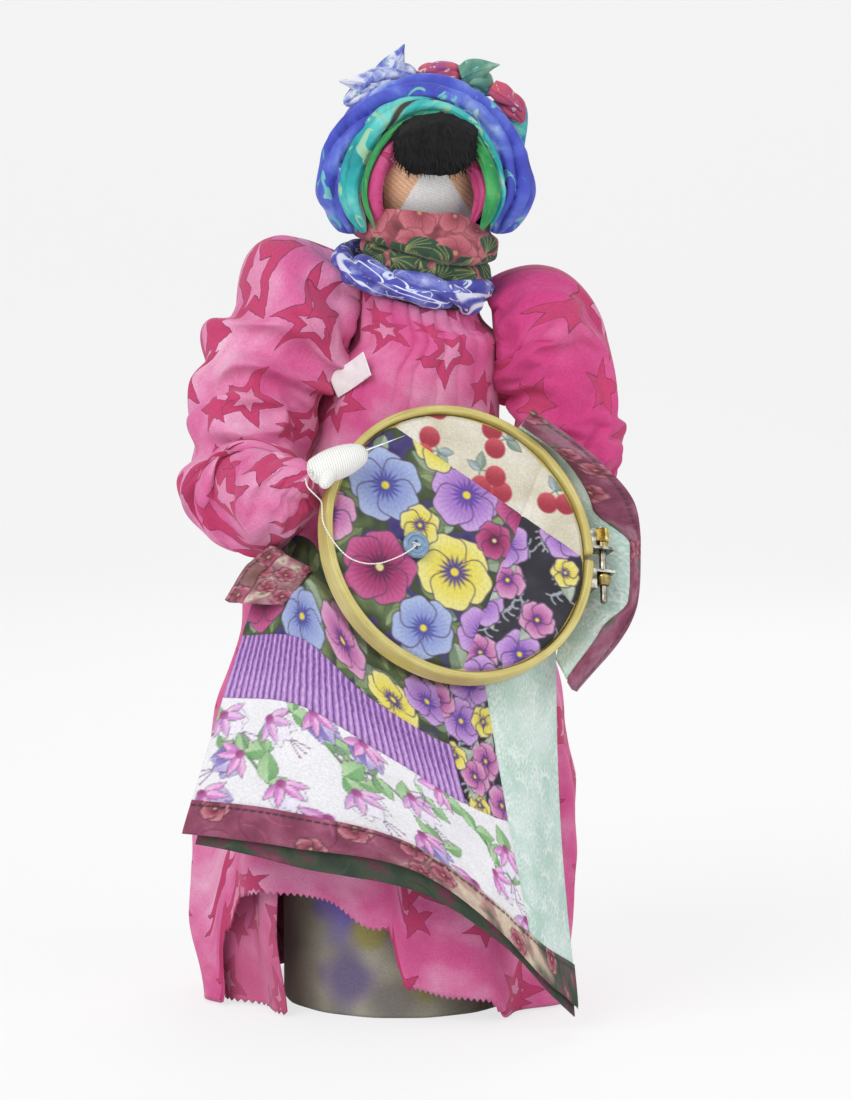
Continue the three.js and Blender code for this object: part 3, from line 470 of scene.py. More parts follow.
def node(tree: NodeTree, kind: str, inputs: dict | None = None, stops: Stops = (), **settings: object) -> Node:
    """Adds a node with its settings, values and links.

    Args:
        tree: the material's or world's nodes.
        kind: the node's type, without its ShaderNode prefix.
        inputs: a value, node or socket for each named or numbered input.
        stops: places and hex colours, for a colour ramp.
        settings: the node's own properties.

    Returns:
        The new node.
    """
    made = tree.nodes.new("ShaderNode" + kind)
    for name, value in settings.items():
        setattr(made, name, value)
    feed(made, inputs or {})
    band = made.color_ramp.elements if stops else ()
    while len(band) < len(stops):
        band.new(1.0)
    for element, (place, code) in zip(band, stops):
        element.position, element.color = place, tone(code)
    return made


@dataclass(frozen=True)
class Finish:
    """What every finish starts from: a name, a roughness and a pattern read from the piece."""

    name: str
    roughness: float = 0.85
    on_cloth: ClassVar[bool] = True  # the pattern follows the UV map, else Object coordinates
    values: ClassVar[dict[str, float]] = {}  # the shader's other values

    def pattern(self, add: Adder, place: NodeSocket) -> dict[str, Node]:
        """The nodes for the shader's sockets.

        Args:
            add: adds a node to the material.
            place: the place on the piece.

        Returns:
            A node for each named socket.
        """
        raise NotImplementedError

    def make(self) -> Material:
        """The material, with its shader's values and pattern."""
        material = bpy.data.materials.new(self.name)
        material.use_nodes = True
        tree = material.node_tree
        add = partial(node, tree)
        place = add("UVMap", uv_map="cloth").outputs[0] if self.on_cloth else add("TexCoord").outputs["Object"]
        sockets = {"Roughness": self.roughness, **self.values, **self.pattern(add, place)}
        feed(tree.nodes["Principled BSDF"], sockets)
        return material


def cotton_surface(add: Adder, place: NodeSocket, pitch: float, depth: float) -> Node:
    """Bump of woven cotton: the over and under of its threads, and slight slubs.

    Args:
        add: adds a node to the material.
        place: the UV vector, in millimetres.
        pitch: distance between threads, in millimetres.
        depth: strength of the bump.

    Returns:
        The bump.
    """
    scale = add("VectorMath", {0: place, 1: (math.tau / pitch / 2,) * 3}, operation="MULTIPLY")
    parts = add("SeparateXYZ", {0: scale})
    warp = add("Math", {0: parts.outputs[0]}, operation="SINE")
    weft = add("Math", {0: parts.outputs[1]}, operation="SINE")
    crossed = add("Math", {0: warp, 1: weft}, operation="MULTIPLY")
    weave = add("Math", {0: crossed, 1: 0.5, 2: 0.5}, operation="MULTIPLY_ADD")
    slub = add("TexNoise", {"Vector": place, "Scale": 0.35, "Detail": 3.0})
    height = add("Math", {0: weave, 1: slub}, operation="ADD")
    return add("Bump", {"Height": height, "Strength": depth, "Distance": 0.12 * MM})


@dataclass(frozen=True)
class Settling:
    """How a cloth skin that is too big for its stuffing settles in folds round it."""

    slack: float = 0.5  # how much too big the cloth is, as a share of its lengths
    stiff: float = 3.0  # how stiffly it bends, which decides how broad the folds are
    core: float = 0.74  # the stuffing's radius, as a share of the skin's
    limit: float = 12.0  # how far a point may move, in millimetres
    out: float = 5.0  # how far it may move outwards
    frames: int = 24
    big: float = 10.0  # the solver works well on things some decimetres across
    low: float = 0.03  # below this share of the length the skin is pinned
    high: float = 0.95  # and above this one

    def skin(self, obj: Object, pins: str) -> Modifier:
        """Adds the cloth solver to the skin, which keeps its pinned ends where they are.

        Args:
            obj: the skin.
            pins: the vertex group of its pinned ends.

        Returns:
            The solver.
        """
        soft = obj.modifiers.new("skin", "CLOTH")
        cloth = {
            "quality": 6, "mass": 0.25, "tension_stiffness": 20, "compression_stiffness": 20, "shear_stiffness": 8,
            "bending_stiffness": self.stiff, "air_damping": 2, "vertex_group_mass": pins, "shrink_min": -self.slack,
            "use_pressure": True, "uniform_pressure_force": 0.05,
        }
        for name, value in cloth.items():
            setattr(soft.settings, name, value)
        soft.settings.effector_weights.gravity = 0.35
        soft.collision_settings.distance_min = 0.005
        soft.collision_settings.use_self_collision = False
        soft.point_cache.frame_end = self.frames
        return soft

    def stuffing(self, core: Surface, material: Material) -> Object:
        """The core that the skin can't pass, for the time of the simulation.

        Args:
            core: its surface, in millimetres.
            material: any finish.

        Returns:
            The core, made bigger.
        """
        inner = laid("stuffing_core", (48, 60), core, even((1, 1)), material)
        inner.data.transform(Matrix.Scale(self.big, 4))
        inner.modifiers.new("core", "COLLISION")
        inner.collision.thickness_outer = 0.006
        inner.collision.cloth_friction = 8
        return inner

    def settle(self, obj: Object, core: Surface, length: float) -> None:
        """Runs the simulation and applies its result.

        Args:
            obj: the skin, whose UV map runs along it.
            core: the stuffing's surface, in millimetres.
            length: the UV map's height, in millimetres.
        """
        mesh = obj.data
        start, outward = read_points(mesh, "co"), read_points(mesh, "normal")
        write_points(mesh, start * self.big)
        pins = obj.vertex_groups.new(name="ends")
        for loop in mesh.loops:
            if not self.low < mesh.uv_layers["cloth"].data[loop.index].uv[1] / length < self.high:
                pins.add([loop.vertex_index], 1.0, "REPLACE")
        inner = self.stuffing(core, mesh.materials[0])
        soft = self.skin(obj, pins.name)
        scene = bpy.context.scene
        for number in range(1, self.frames + 1):
            scene.frame_set(number)
        settled = obj.evaluated_get(bpy.context.evaluated_depsgraph_get())
        moved = read_points(settled.data, "co") / self.big - start
        far = np.linalg.norm(moved, axis=1, keepdims=True)
        moved *= np.minimum(self.limit * MM / np.maximum(far, 1e-9), 1)
        out = (moved * outward).sum(1, keepdims=True)
        moved -= outward * np.maximum(out - self.out * MM, 0)
        write_points(mesh, start + moved)
        obj.modifiers.remove(soft)
        obj.vertex_groups.remove(pins)
        bpy.data.objects.remove(inner)
        scene.frame_set(1)
        mesh.update()


# Prints, painted point by point on the flat cloth


class Canvas:
    """Flat cloth on which a print is painted, in millimetres and sRGB."""

    def __init__(self, x: Array, y: Array) -> None:
        """Starts as unprinted white cloth."""
        self.x, self.y = x, y
        self.ink = np.ones((len(x), 3))

    def linear(self) -> Array:
        """The print as linear colours with an alpha of 1."""
        return np.concatenate([to_linear(np.clip(self.ink, 0, 1)), np.ones((len(self.x), 1))], 1)

    def flat(self) -> Array:
        """The painted points, flat, as places for noise."""
        return rows(self.x, self.y, np.zeros_like(self.x))

    def ground(self, stops: Stops, scale: float, seed: float) -> None:
        """Covers the cloth with soft patches of colour.

        Args:
            stops: places from 0 to 1 and their hex colours.
            scale: size of a patch, in millimetres.
            seed: moves the patches.
        """
        flat = self.flat()
        level = 0.5 + 0.62 * grain(flat, scale, seed) + 0.2 * grain(flat, scale / 3, seed + 3)
        colours = np.array([srgb(code) for _, code in stops])
        places = [place for place, _ in stops]
        self.ink = rows(*(np.interp(level, places, colours[:, k]) for k in range(3)))

    def near(self, x: float, y: float, reach: float, turn: float = 0.0) -> tuple[Array, ...]:
        """Points near a place.

        Args:
            x: the place's distance from the left.
            y: its height.
            reach: half the side of the square that is searched.
            turn: how far the offsets are turned.

        Returns:
            The points' numbers and their turned offsets from the place.
        """
        found = np.flatnonzero((np.abs(self.x - x) < reach) & (np.abs(self.y - y) < reach))
        dx, dy = self.x[found] - x, self.y[found] - y
        c, s = math.cos(turn), math.sin(turn)
        return found, dx * c + dy * s, dy * c - dx * s

    def lay(self, found: Array, cover: Array, colour: Array) -> None:
        """Lays a colour over the found points, by how much it covers each."""
        self.ink[found] += (colour - self.ink[found]) * cover[:, None]


SOFT = 0.35  # width of a printed edge, in millimetres


def inside(distance: Array) -> Array:
    """1 inside a shape and 0 outside, from a distance that is negative inside."""
    return 1 - smooth(distance, -SOFT, SOFT)


def blend_codes(low: str, high: str, share: Array) -> Array:
    """Colours between two hex codes."""
    return srgb(low) + (srgb(high) - srgb(low)) * np.clip(share, 0, 1)[:, None]


@dataclass(frozen=True)
class Petals:
    """Colours of one kind of blossom, from its edge to its eye."""

    edge: str
    body: str
    throat: str
    eye: str = "#e8d34a"
    line: str = "#4a3a55"


def blossom(canvas: Canvas, x: float, y: float, size: float, kind: Petals, turn: float = 0.0) -> None:
    """A broad blossom of five round overlapping petals with a streaked throat.

    Args:
        canvas: the cloth.
        x: its middle's distance from the left.
        y: its middle's height.
        size: its radius.
        kind: its colours.
        turn: how far it is turned.
    """
    for i in (0, 1, 4, 2, 3):
        angle = turn + i * math.tau / 5
        centre = (x + 0.5 * size * math.cos(angle), y + 0.5 * size * math.sin(angle))
        found, a, b = canvas.near(*centre, size * 0.75, angle)
        wave = 1 + 0.06 * np.cos(5 * np.arctan2(b, a) + i)
        distance = np.hypot(a, b * 0.92) - 0.54 * size * wave
        canvas.lay(found, inside(np.abs(distance) - 0.22), srgb(kind.line))
        reach = np.hypot(a + 0.5 * size, b) / size
        streak = 0.07 * np.sin(np.arctan2(b, a + 0.5 * size) * 34 + i) * smooth(reach, 0.2, 0.5)
        shade = blend_codes(kind.body, kind.edge, smooth(reach + streak, 0.45, 0.98))
        canvas.lay(found, inside(distance + 0.25), shade)
    found, a, b = canvas.near(x, y, size * 0.7, turn)
    ray = np.hypot(a, b) / size + 0.09 * np.cos(np.arctan2(b, a) * 17)
    canvas.lay(found, 0.9 * (1 - smooth(ray, 0.2, 0.46)), srgb(kind.throat))
    canvas.lay(found, inside(np.hypot(a, b) - 0.11 * size), srgb(kind.eye))


def leaf(canvas: Canvas, x: float, y: float, length: float, turn: float, dark: str, pale: str,
         wide: float = 0.42) -> None:
    """An almond leaf from its foot at a place, with a midrib and side veins.

    Args:
        canvas: the cloth.
        x: its foot's distance from the left.
        y: its foot's height.
        length: its length.
        turn: the way it points.
        dark: its shaded half's hex colour.
        pale: its lit half's and its veins' hex colour.
        wide: its width as a share of its length.
    """
    middle = (x + 0.5 * length * math.cos(turn), y + 0.5 * length * math.sin(turn))
    found, a, b = canvas.near(*middle, length * 0.62, turn)
    t = np.clip(a / length + 0.5, 0, 1)
    half = wide * length * np.sin(np.pi * t**0.8) * 0.62
    distance = np.where((a > -length / 2) & (a < length / 2), np.abs(b) - half, 1.0)
    canvas.lay(found, inside(distance), blend_codes(dark, pale, 0.5 + 0.5 * np.sign(b) * (1 - t)))
    vein = np.minimum(np.abs(b), np.abs(np.sin((a - np.abs(b) * 1.1) * 1.7)) + 0.25) - 0.16
    canvas.lay(found, inside(distance + 0.4) * inside(vein) * 0.7, srgb(pale))
    canvas.lay(found, inside(np.abs(distance) - 0.1) * 0.6, srgb("#26382a"))


def stem(canvas: Canvas, points: Sequence[Pair], width: float, colour: str) -> None:
    """A curved line through points.

    Args:
        canvas: the cloth.
        points: what it passes through, in millimetres.
        width: its width.
        colour: its hex colour.
    """
    line = Path([(x, y, 0) for x, y in points], 10).table[:, :2]
    for (x, y), (p, q) in zip(line[::2], line[2::2]):
        found, a, b = canvas.near((x + p) / 2, (y + q) / 2, math.hypot(p - x, q - y) + width)
        d = np.array([p - x, q - y])
        t = np.clip(((a + d[0] / 2) * d[0] + (b + d[1] / 2) * d[1]) / max(d @ d, 1e-6), 0, 1)
        gap = np.hypot(a + d[0] / 2 - t * d[0], b + d[1] / 2 - t * d[1])
        canvas.lay(found, inside(gap - width / 2), srgb(colour))


def berry(canvas: Canvas, x: float, y: float, size: float, dark: str, pale: str) -> None:
    """A round berry with a lit side and small dots.

    Args:
        canvas: the cloth.
        x: its middle across, in millimetres.
        y: its middle up.
        size: its radius.
        dark: its hex colour.
        pale: that of its lit side.
    """
    found, a, b = canvas.near(x, y, size * 1.3)
    reach = np.hypot(a, b)
    shade = blend_codes(dark, pale, smooth(a * 0.5 - b * 0.6, -size * 0.4, size))
    canvas.lay(found, inside(reach - size), shade)
    dots = np.sin(a * 4.1) * np.sin(b * 4.1 + 0.8)
    canvas.lay(found, inside(reach - size * 0.8) * smooth(dots, 0.75, 0.92) * 0.5, srgb("#6a2a30"))


def sprig(canvas: Canvas, x: float, y: float, size: float, turn: float, colour: str) -> None:
    """A bent fern sprig with paired leaf strokes.

    Args:
        canvas: the cloth.
        x: where it starts across, in millimetres.
        y: where it starts up.
        size: its rough length.
        turn: its direction.
        colour: its hex colour.
    """
    line = [(x + size * k / 4 * math.cos(turn + 0.22 * k), y + size * k / 4 * math.sin(turn + 0.22 * k))
            for k in range(5)]
    stem(canvas, line, 0.45, colour)
    for k, (p, q) in enumerate(line[1:]):
        reach = size * (0.42 - 0.06 * k)
        for side in (-0.95, 0.95):
            lean = turn + 0.32 * k + side
            curl = lean - side * 0.3
            stem(canvas, [(p, q), (p + reach * 0.5 * math.cos(lean), q + reach * 0.5 * math.sin(lean)),
                          (p + reach * math.cos(curl), q + reach * math.sin(curl))], 0.5, colour)


def bell(canvas: Canvas, x: float, y: float, size: float, turn: float, skirt: str, cap: str) -> None:
    """A hanging bell flower: a flared skirt, three pointed sepals and long stamens.

    Args:
        canvas: the cloth.
        x: where it starts across, in millimetres.
        y: where it starts up.
        size: its rough length.
        turn: the direction in which it hangs.
        skirt: its hex colour.
        cap: that of its sepals.
    """
    tip = (math.cos(turn), math.sin(turn))
    for spread in (-0.16, 0.0, 0.16):
        angle = turn + spread
        end = (x + 1.75 * size * math.cos(angle), y + 1.75 * size * math.sin(angle))
        stem(canvas, [(x + size * tip[0], y + size * tip[1]), end], 0.3, "#7d5a86")
        berry(canvas, *end, 0.42, "#8a4a78", "#b06a98")
    for spread in (-0.42, 0.42, 0.0):
        leaf(canvas, x, y, size * 1.15, turn + spread, skirt, "#f3ecf6", 0.62)
    for spread in (-1.15, 1.15, -0.55, 0.55):
        leaf(canvas, x, y, size * 0.95, turn + spread, cap, "#f6cdea", 0.3)
    berry(canvas, x, y, size * 0.18, "#a04a88", "#c878b0")


def scattered(count: int, size: Pair, gap: float, seed: int) -> list[Pair]:
    """Places that keep a gap from each other.

    Args:
        count: how many are wanted.
        size: the cloth's width and height.
        gap: the least distance between two.
        seed: decides where they lie.

    Returns:
        As many places as were found.
    """
    draw = np.random.default_rng(seed)
    places: list[Pair] = []
    for _ in range(count * 40):
        x, y = draw.uniform(0, size[0]), draw.uniform(0, size[1])
        if all(math.hypot(x - p, y - q) > gap for p, q in places):
            places.append((x, y))
        if len(places) == count:
            break
    return places


BUTTER = Petals("#e9df8c", "#e6d65a", "#4b3a86")
PLUM = Petals("#c45a8e", "#a03468", "#5a1a40", "#e6d79a")
SKY = Petals("#aab8dc", "#8f9cd0", "#4a4a9a")
LILAC = Petals("#c9a2da", "#a97ac6", "#5a3f9a")
ROSE = Petals("#dba0c4", "#c070a8", "#5a2f78")
SMALL_ROSE = Petals("#c9858f", "#a34f63", "#6b2c3e", "#d9b98a", "#5c2a38")
FLANNEL_ROSE = Petals("#c5717b", "#b05965", "#8a3f4c", "#b98a6a", "#8f4a54")
HOOP_LEAVES = (("#56683f", "#93a377"), ("#6b7f66", "#a7b59a"), ("#495b3c", "#86965f"))


def garden(canvas: Canvas, size: Pair, seed: int, blooms: Sequence[tuple]) -> None:
    """A dense flower print: olive and violet ground, leaves and big blossoms.

    Args:
        canvas: the cloth.
        size: its width and height, in millimetres.
        seed: decides where the leaves lie.
        blooms: the blossoms' places, sizes and kinds.
    """
    canvas.ground([(0, "#2c2250"), (0.3, "#463a78"), (0.42, "#39442b"), (0.7, "#5c6a42"), (1, "#8b9670")],
                  13, seed)
    draw = np.random.default_rng(seed)
    for x, y in scattered(70, size, 8, seed):
        dark, pale = HOOP_LEAVES[draw.integers(3)]
        leaf(canvas, x, y, draw.uniform(11, 17), draw.uniform(0, math.tau), dark, pale)
    for x, y, radius, kind in blooms:
        blossom(canvas, x, y, radius, kind, draw.uniform(0, math.tau))


def berries(canvas: Canvas, size: Pair, seed: int) -> None:
    """Red berries with grey-green leaves and thin stems on cream.

    Args:
        canvas: the cloth.
        size: its width and height, in millimetres.
        seed: decides where the motifs lie.
    """
    canvas.ground([(0, "#cfc6ae"), (0.5, "#ddd5c2"), (1, "#e6e0d2")], 9, seed)
    draw = np.random.default_rng(seed)
    for x, y in scattered(26, size, 14, seed):
        turn = draw.uniform(0, math.tau)
        ends = [(x + 6.5 * math.cos(turn + k), y + 6.5 * math.sin(turn + k)) for k in (0, 1.25)]
        for end in ends:
            stem(canvas, [(x, y), ((x + end[0]) / 2 + 1, (y + end[1]) / 2), end], 0.5, "#7f8f7c")
            berry(canvas, *end, 4.3, "#a53243", "#cf5f66")
        leaf(canvas, x, y, 8, turn + 3.0, "#75887c", "#a8b5a6")
        leaf(canvas, x, y, 6.5, turn + 4.1, "#8797a0", "#b4bfc0")


def night(canvas: Canvas, size: Pair, seed: int) -> None:
    """Violet and yellow blossoms and pale scrolls on near-black.

    Args:
        canvas: the cloth.
        size: its width and height, in millimetres.
        seed: decides where the motifs lie.
    """
    canvas.ground([(0, "#1c1a22"), (0.6, "#2a2731"), (1, "#3a3540")], 9, seed)
    draw = np.random.default_rng(seed)
    for x, y in scattered(60, size, 8, seed):
        sprig(canvas, x, y, draw.uniform(7, 11), draw.uniform(0, math.tau), "#a9adb6")
    for i, (x, y) in enumerate(scattered(40, size, 10.5, seed + 1)):
        leaf(canvas, x, y, 12, draw.uniform(0, math.tau), "#8f9c92", "#c9cfc0")
        blossom(canvas, x, y, (9.5, 6, 7.5)[i % 3], (LILAC, BUTTER, ROSE)[i % 3], draw.uniform(0, 6))


def bells(canvas: Canvas, size: Pair, seed: int) -> None:
    """Pink and violet bell flowers with green leaves and arching stems on white.

    Args:
        canvas: the cloth.
        size: its width and height, in millimetres.
        seed: decides where the motifs lie.
    """
    canvas.ground([(0, "#ebe9ee"), (1, "#f6f4f6")], 20, seed)
    draw = np.random.default_rng(seed)
    for k, x in enumerate(np.arange(-8, size[0], 30)):
        high = size[1] * (0.5 + 0.26 * (k % 2))
        arch = [(x, high), (x + 11, high + 7), (x + 23, high), (x + 34, high - 11)]
        stem(canvas, arch, 1.0, "#587a52")
        for j, (p, q) in enumerate(arch):
            for side in (1, -1):
                turn = side * draw.uniform(0.5, 1.5) + 0.4 * j
                leaf(canvas, p, q, draw.uniform(9, 13), turn, "#6fa568", "#bcd9ad", 0.5)
    colours = (("#5f46ae", "#d06fc6"), ("#e7dcf2", "#cf6cc6"), ("#efe9f5", "#c98bd4"))
    for k, (x, y) in enumerate(scattered(22, size, 17.5, seed + 2)):
        skirt, cap = colours[k % 3]
        bell(canvas, x, y, 10.5, draw.uniform(-2.6, -0.5), skirt, cap)


def lace(canvas: Canvas, size: Pair, seed: int) -> None:
    """Tone on tone on mint: pale rosettes, fans and dotted scrolls.

    Args:
        canvas: the cloth.
        size: its width and height, in millimetres.
        seed: decides where the motifs lie.
    """
    canvas.ground([(0, "#aecfc1"), (0.45, "#c3ddd2"), (1, "#dcece5")], 16, seed)
    draw = np.random.default_rng(seed)
    for x, y in scattered(60, size, 10, seed):
        sprig(canvas, x, y, draw.uniform(6, 9), draw.uniform(0, math.tau), "#e6f1ec")
    for x, y in scattered(46, size, 11, seed + 4):
        found, a, b = canvas.near(x, y, 8)
        reach, turn = np.hypot(a, b), np.arctan2(b, a)
        for radius, petals, width in ((4.6, 6, 0.22), (2.9, 6, 0.3)):
            rosette = np.abs(reach - radius * (1 + 0.2 * np.cos(petals * turn))) - width
            canvas.lay(found, inside(rosette) * 0.85, srgb("#f0f7f3"))
        dots = np.abs(reach - 5.9) - 0.5 * np.cos(9 * turn) ** 4
        canvas.lay(found, inside(dots) * 0.7, srgb("#e6f2ec"))
        canvas.lay(found, inside(reach - 1.2) * 0.85, srgb("#e2efe9"))


def border(canvas: Canvas, size: Pair, seed: int, zones: Sequence[tuple[float, Stops]]) -> None:
    """A painterly floral border, with leaf strokes and small roses.

    Args:
        canvas: the cloth.
        size: its width and height, in millimetres.
        seed: decides where the motifs lie.
        zones: places along it and the colours that it has from there on.
    """
    share = canvas.x / size[0] + 0.03 * np.sin(canvas.y * 0.5 + canvas.x * 0.2)
    canvas.ground(zones[0][1], 7, seed)
    before = zones[0][0]
    for place, stops in zones[1:]:
        ink = canvas.ink
        canvas.ground(stops, 7, seed)
        part = smooth(share, before, place)[:, None]
        canvas.ink, before = ink + (canvas.ink - ink) * part, place
    draw = np.random.default_rng(seed)
    for x, y in scattered(26, size, 9, seed + 2):
        if draw.uniform() < 0.45:
            blossom(canvas, x, y, draw.uniform(3.6, 5.4), SMALL_ROSE)
    for x, y in scattered(80, size, 6, seed):
        found, a, b = canvas.near(x, y, 8, draw.uniform(0, math.tau))
        stroke = np.abs(b - 0.08 * a * a) - 0.25
        lit = draw.uniform(-0.16, 0.16)
        stroke = inside(stroke) * inside(np.abs(a) - 5)
        canvas.lay(found, stroke * 0.7, np.clip(canvas.ink[found] + lit, 0, 1))


def rose_leaf(canvas: Canvas, size: Pair, seed: int) -> None:
    """Rose and maroon blooms among dark green leaves with gold veins, grained as flannel.

    Args:
        canvas: the cloth.
        size: its width and height, in millimetres.
        seed: decides where the motifs lie.
    """
    canvas.ground([(0, "#6b333b"), (0.35, "#8d4650"), (0.55, "#a8555f"), (0.8, "#c0707a"), (1, "#d09494")],
                  7, seed)
    draw = np.random.default_rng(seed)
    for x, y in scattered(16, size, 12, seed + 1):
        blossom(canvas, x, y, draw.uniform(7, 9.5), FLANNEL_ROSE)
    for x, y in scattered(90, size, 5.2, seed):
        if y < size[1] * 0.5 + 3 * math.sin(x / 9) or draw.uniform() < 0.1:
            turn = draw.uniform(0, math.tau)
            leaf(canvas, x, y, draw.uniform(11, 14), turn, "#24402d", "#38573f", 0.66)
            for spread in (-0.5, -0.25, 0.0, 0.25, 0.5):
                end = (x + 11 * math.cos(turn + spread), y + 11 * math.sin(turn + spread))
                stem(canvas, [(x, y), ((x + end[0]) / 2, (y + end[1]) / 2 + 0.5), end], 0.2, "#b0a56a")
    canvas.ink += 0.04 * np.sin(canvas.x * 9.1 + 3 * np.sin(canvas.y * 7.3))[:, None]


def shadow_bloom(canvas: Canvas, size: Pair, seed: int) -> None:
    """A blurred violet and yellow bloom on grey-olive cloth: the print with painted shade, muted and darkened as it
    looks under the skirt.

    Args:
        canvas: the cloth.
        size: its width and height, in millimetres.
        seed: decides where the motifs lie.
    """
    # the muted grey-olive ground is the print darkened by painted shade
    canvas.ground([(0, "#8d897a"), (0.5, "#a09b8a"), (1, "#b4ae9c")], 18, seed)
    blur = 1 + 0.35 * grain(canvas.flat(), 9, seed)
    for x, y, reach, code in (
        (0.44, 0.4, 18, "#7a68cf"), (0.5, 0.36, 14, "#8270cc"), (0.46, 0.3, 9, "#a8a24c"),
        (0.43, 0.13, 14, "#6d5f8a"), (0.53, 0.12, 9, "#9d9954"), (0.49, 0.06, 12, "#7d7672"),
        (0.57, 0.3, 10, "#938c74"), (0.7, 0.5, 15, "#7a68c4"), (0.85, 0.3, 12, "#a29b52"),
        (0.12, 0.4, 14, "#7a68c4"), (0.25, 0.6, 12, "#9a964a"),
    ):
        found, a, b = canvas.near(x * size[0], y * size[1], reach * 1.6)
        away = np.hypot(a, b * 1.1) * blur[found]
        canvas.lay(found, 0.85 * (1 - smooth(away, reach * 0.4, reach * 1.3)), srgb(code))


def twill_face(canvas: Canvas, size: Pair) -> None:
    """White twill with peach herringbone at both sides, meeting the white on a slant, with faint painted shade
    along its twill lines.

    Args:
        canvas: the cloth.
        size: its width and height, in millimetres.
    """
    canvas.ground([(0, "#f2f0ed"), (1, "#fbfaf8")], 12, 2)
    side = np.abs(canvas.x - size[0] * 0.56)
    edge = 16.5 - 0.62 * (canvas.y - 5)
    bone = np.abs(((canvas.x * 0.8 + canvas.y * 0.9) % 2.0) - 1.0)
    peach = blend_codes("#e8b088", "#f2caa6", smooth(bone, 0.3, 0.7))
    canvas.lay(np.arange(len(side)), smooth(side - edge, -0.6, 0.6), peach)
    # faint darker lines along the twill: painted shade between its wales
    line = np.abs(((canvas.x * 0.32 + canvas.y) % 1.15) - 0.57)
    canvas.ink -= 0.05 * (1 - smooth(line, 0.1, 0.3))[:, None]


# Finishes, each named for its real material


@dataclass(frozen=True)
class PrintedCotton(Finish):
    """Quilting cotton with a print: dry, matt, with a fine plain weave."""

    pitch: float = 0.9  # real threads lie 0.35 mm apart, drawn as coarse as they need to show
    depth: float = 0.5
    values: ClassVar[dict[str, float]] = {"Sheen Weight": 0.12}

    def pattern(self, add: Adder, place: NodeSocket) -> dict[str, Node]:
        """The print painted on the piece, unevenly washed."""
        ink = add("Attribute", attribute_name="print")
        worn = add("TexNoise", {"Vector": place, "Scale": 0.9, "Detail": 4.0})
        fade = add("ValToRGB", {0: worn}, [(0.3, "#e9e9e9"), (0.7, "#ffffff")])
        colour = add("MixRGB", {0: 1.0, 1: ink, 2: fade}, blend_type="MULTIPLY")
        return {"Base Color": colour, "Normal": cotton_surface(add, place, self.pitch, self.depth)}


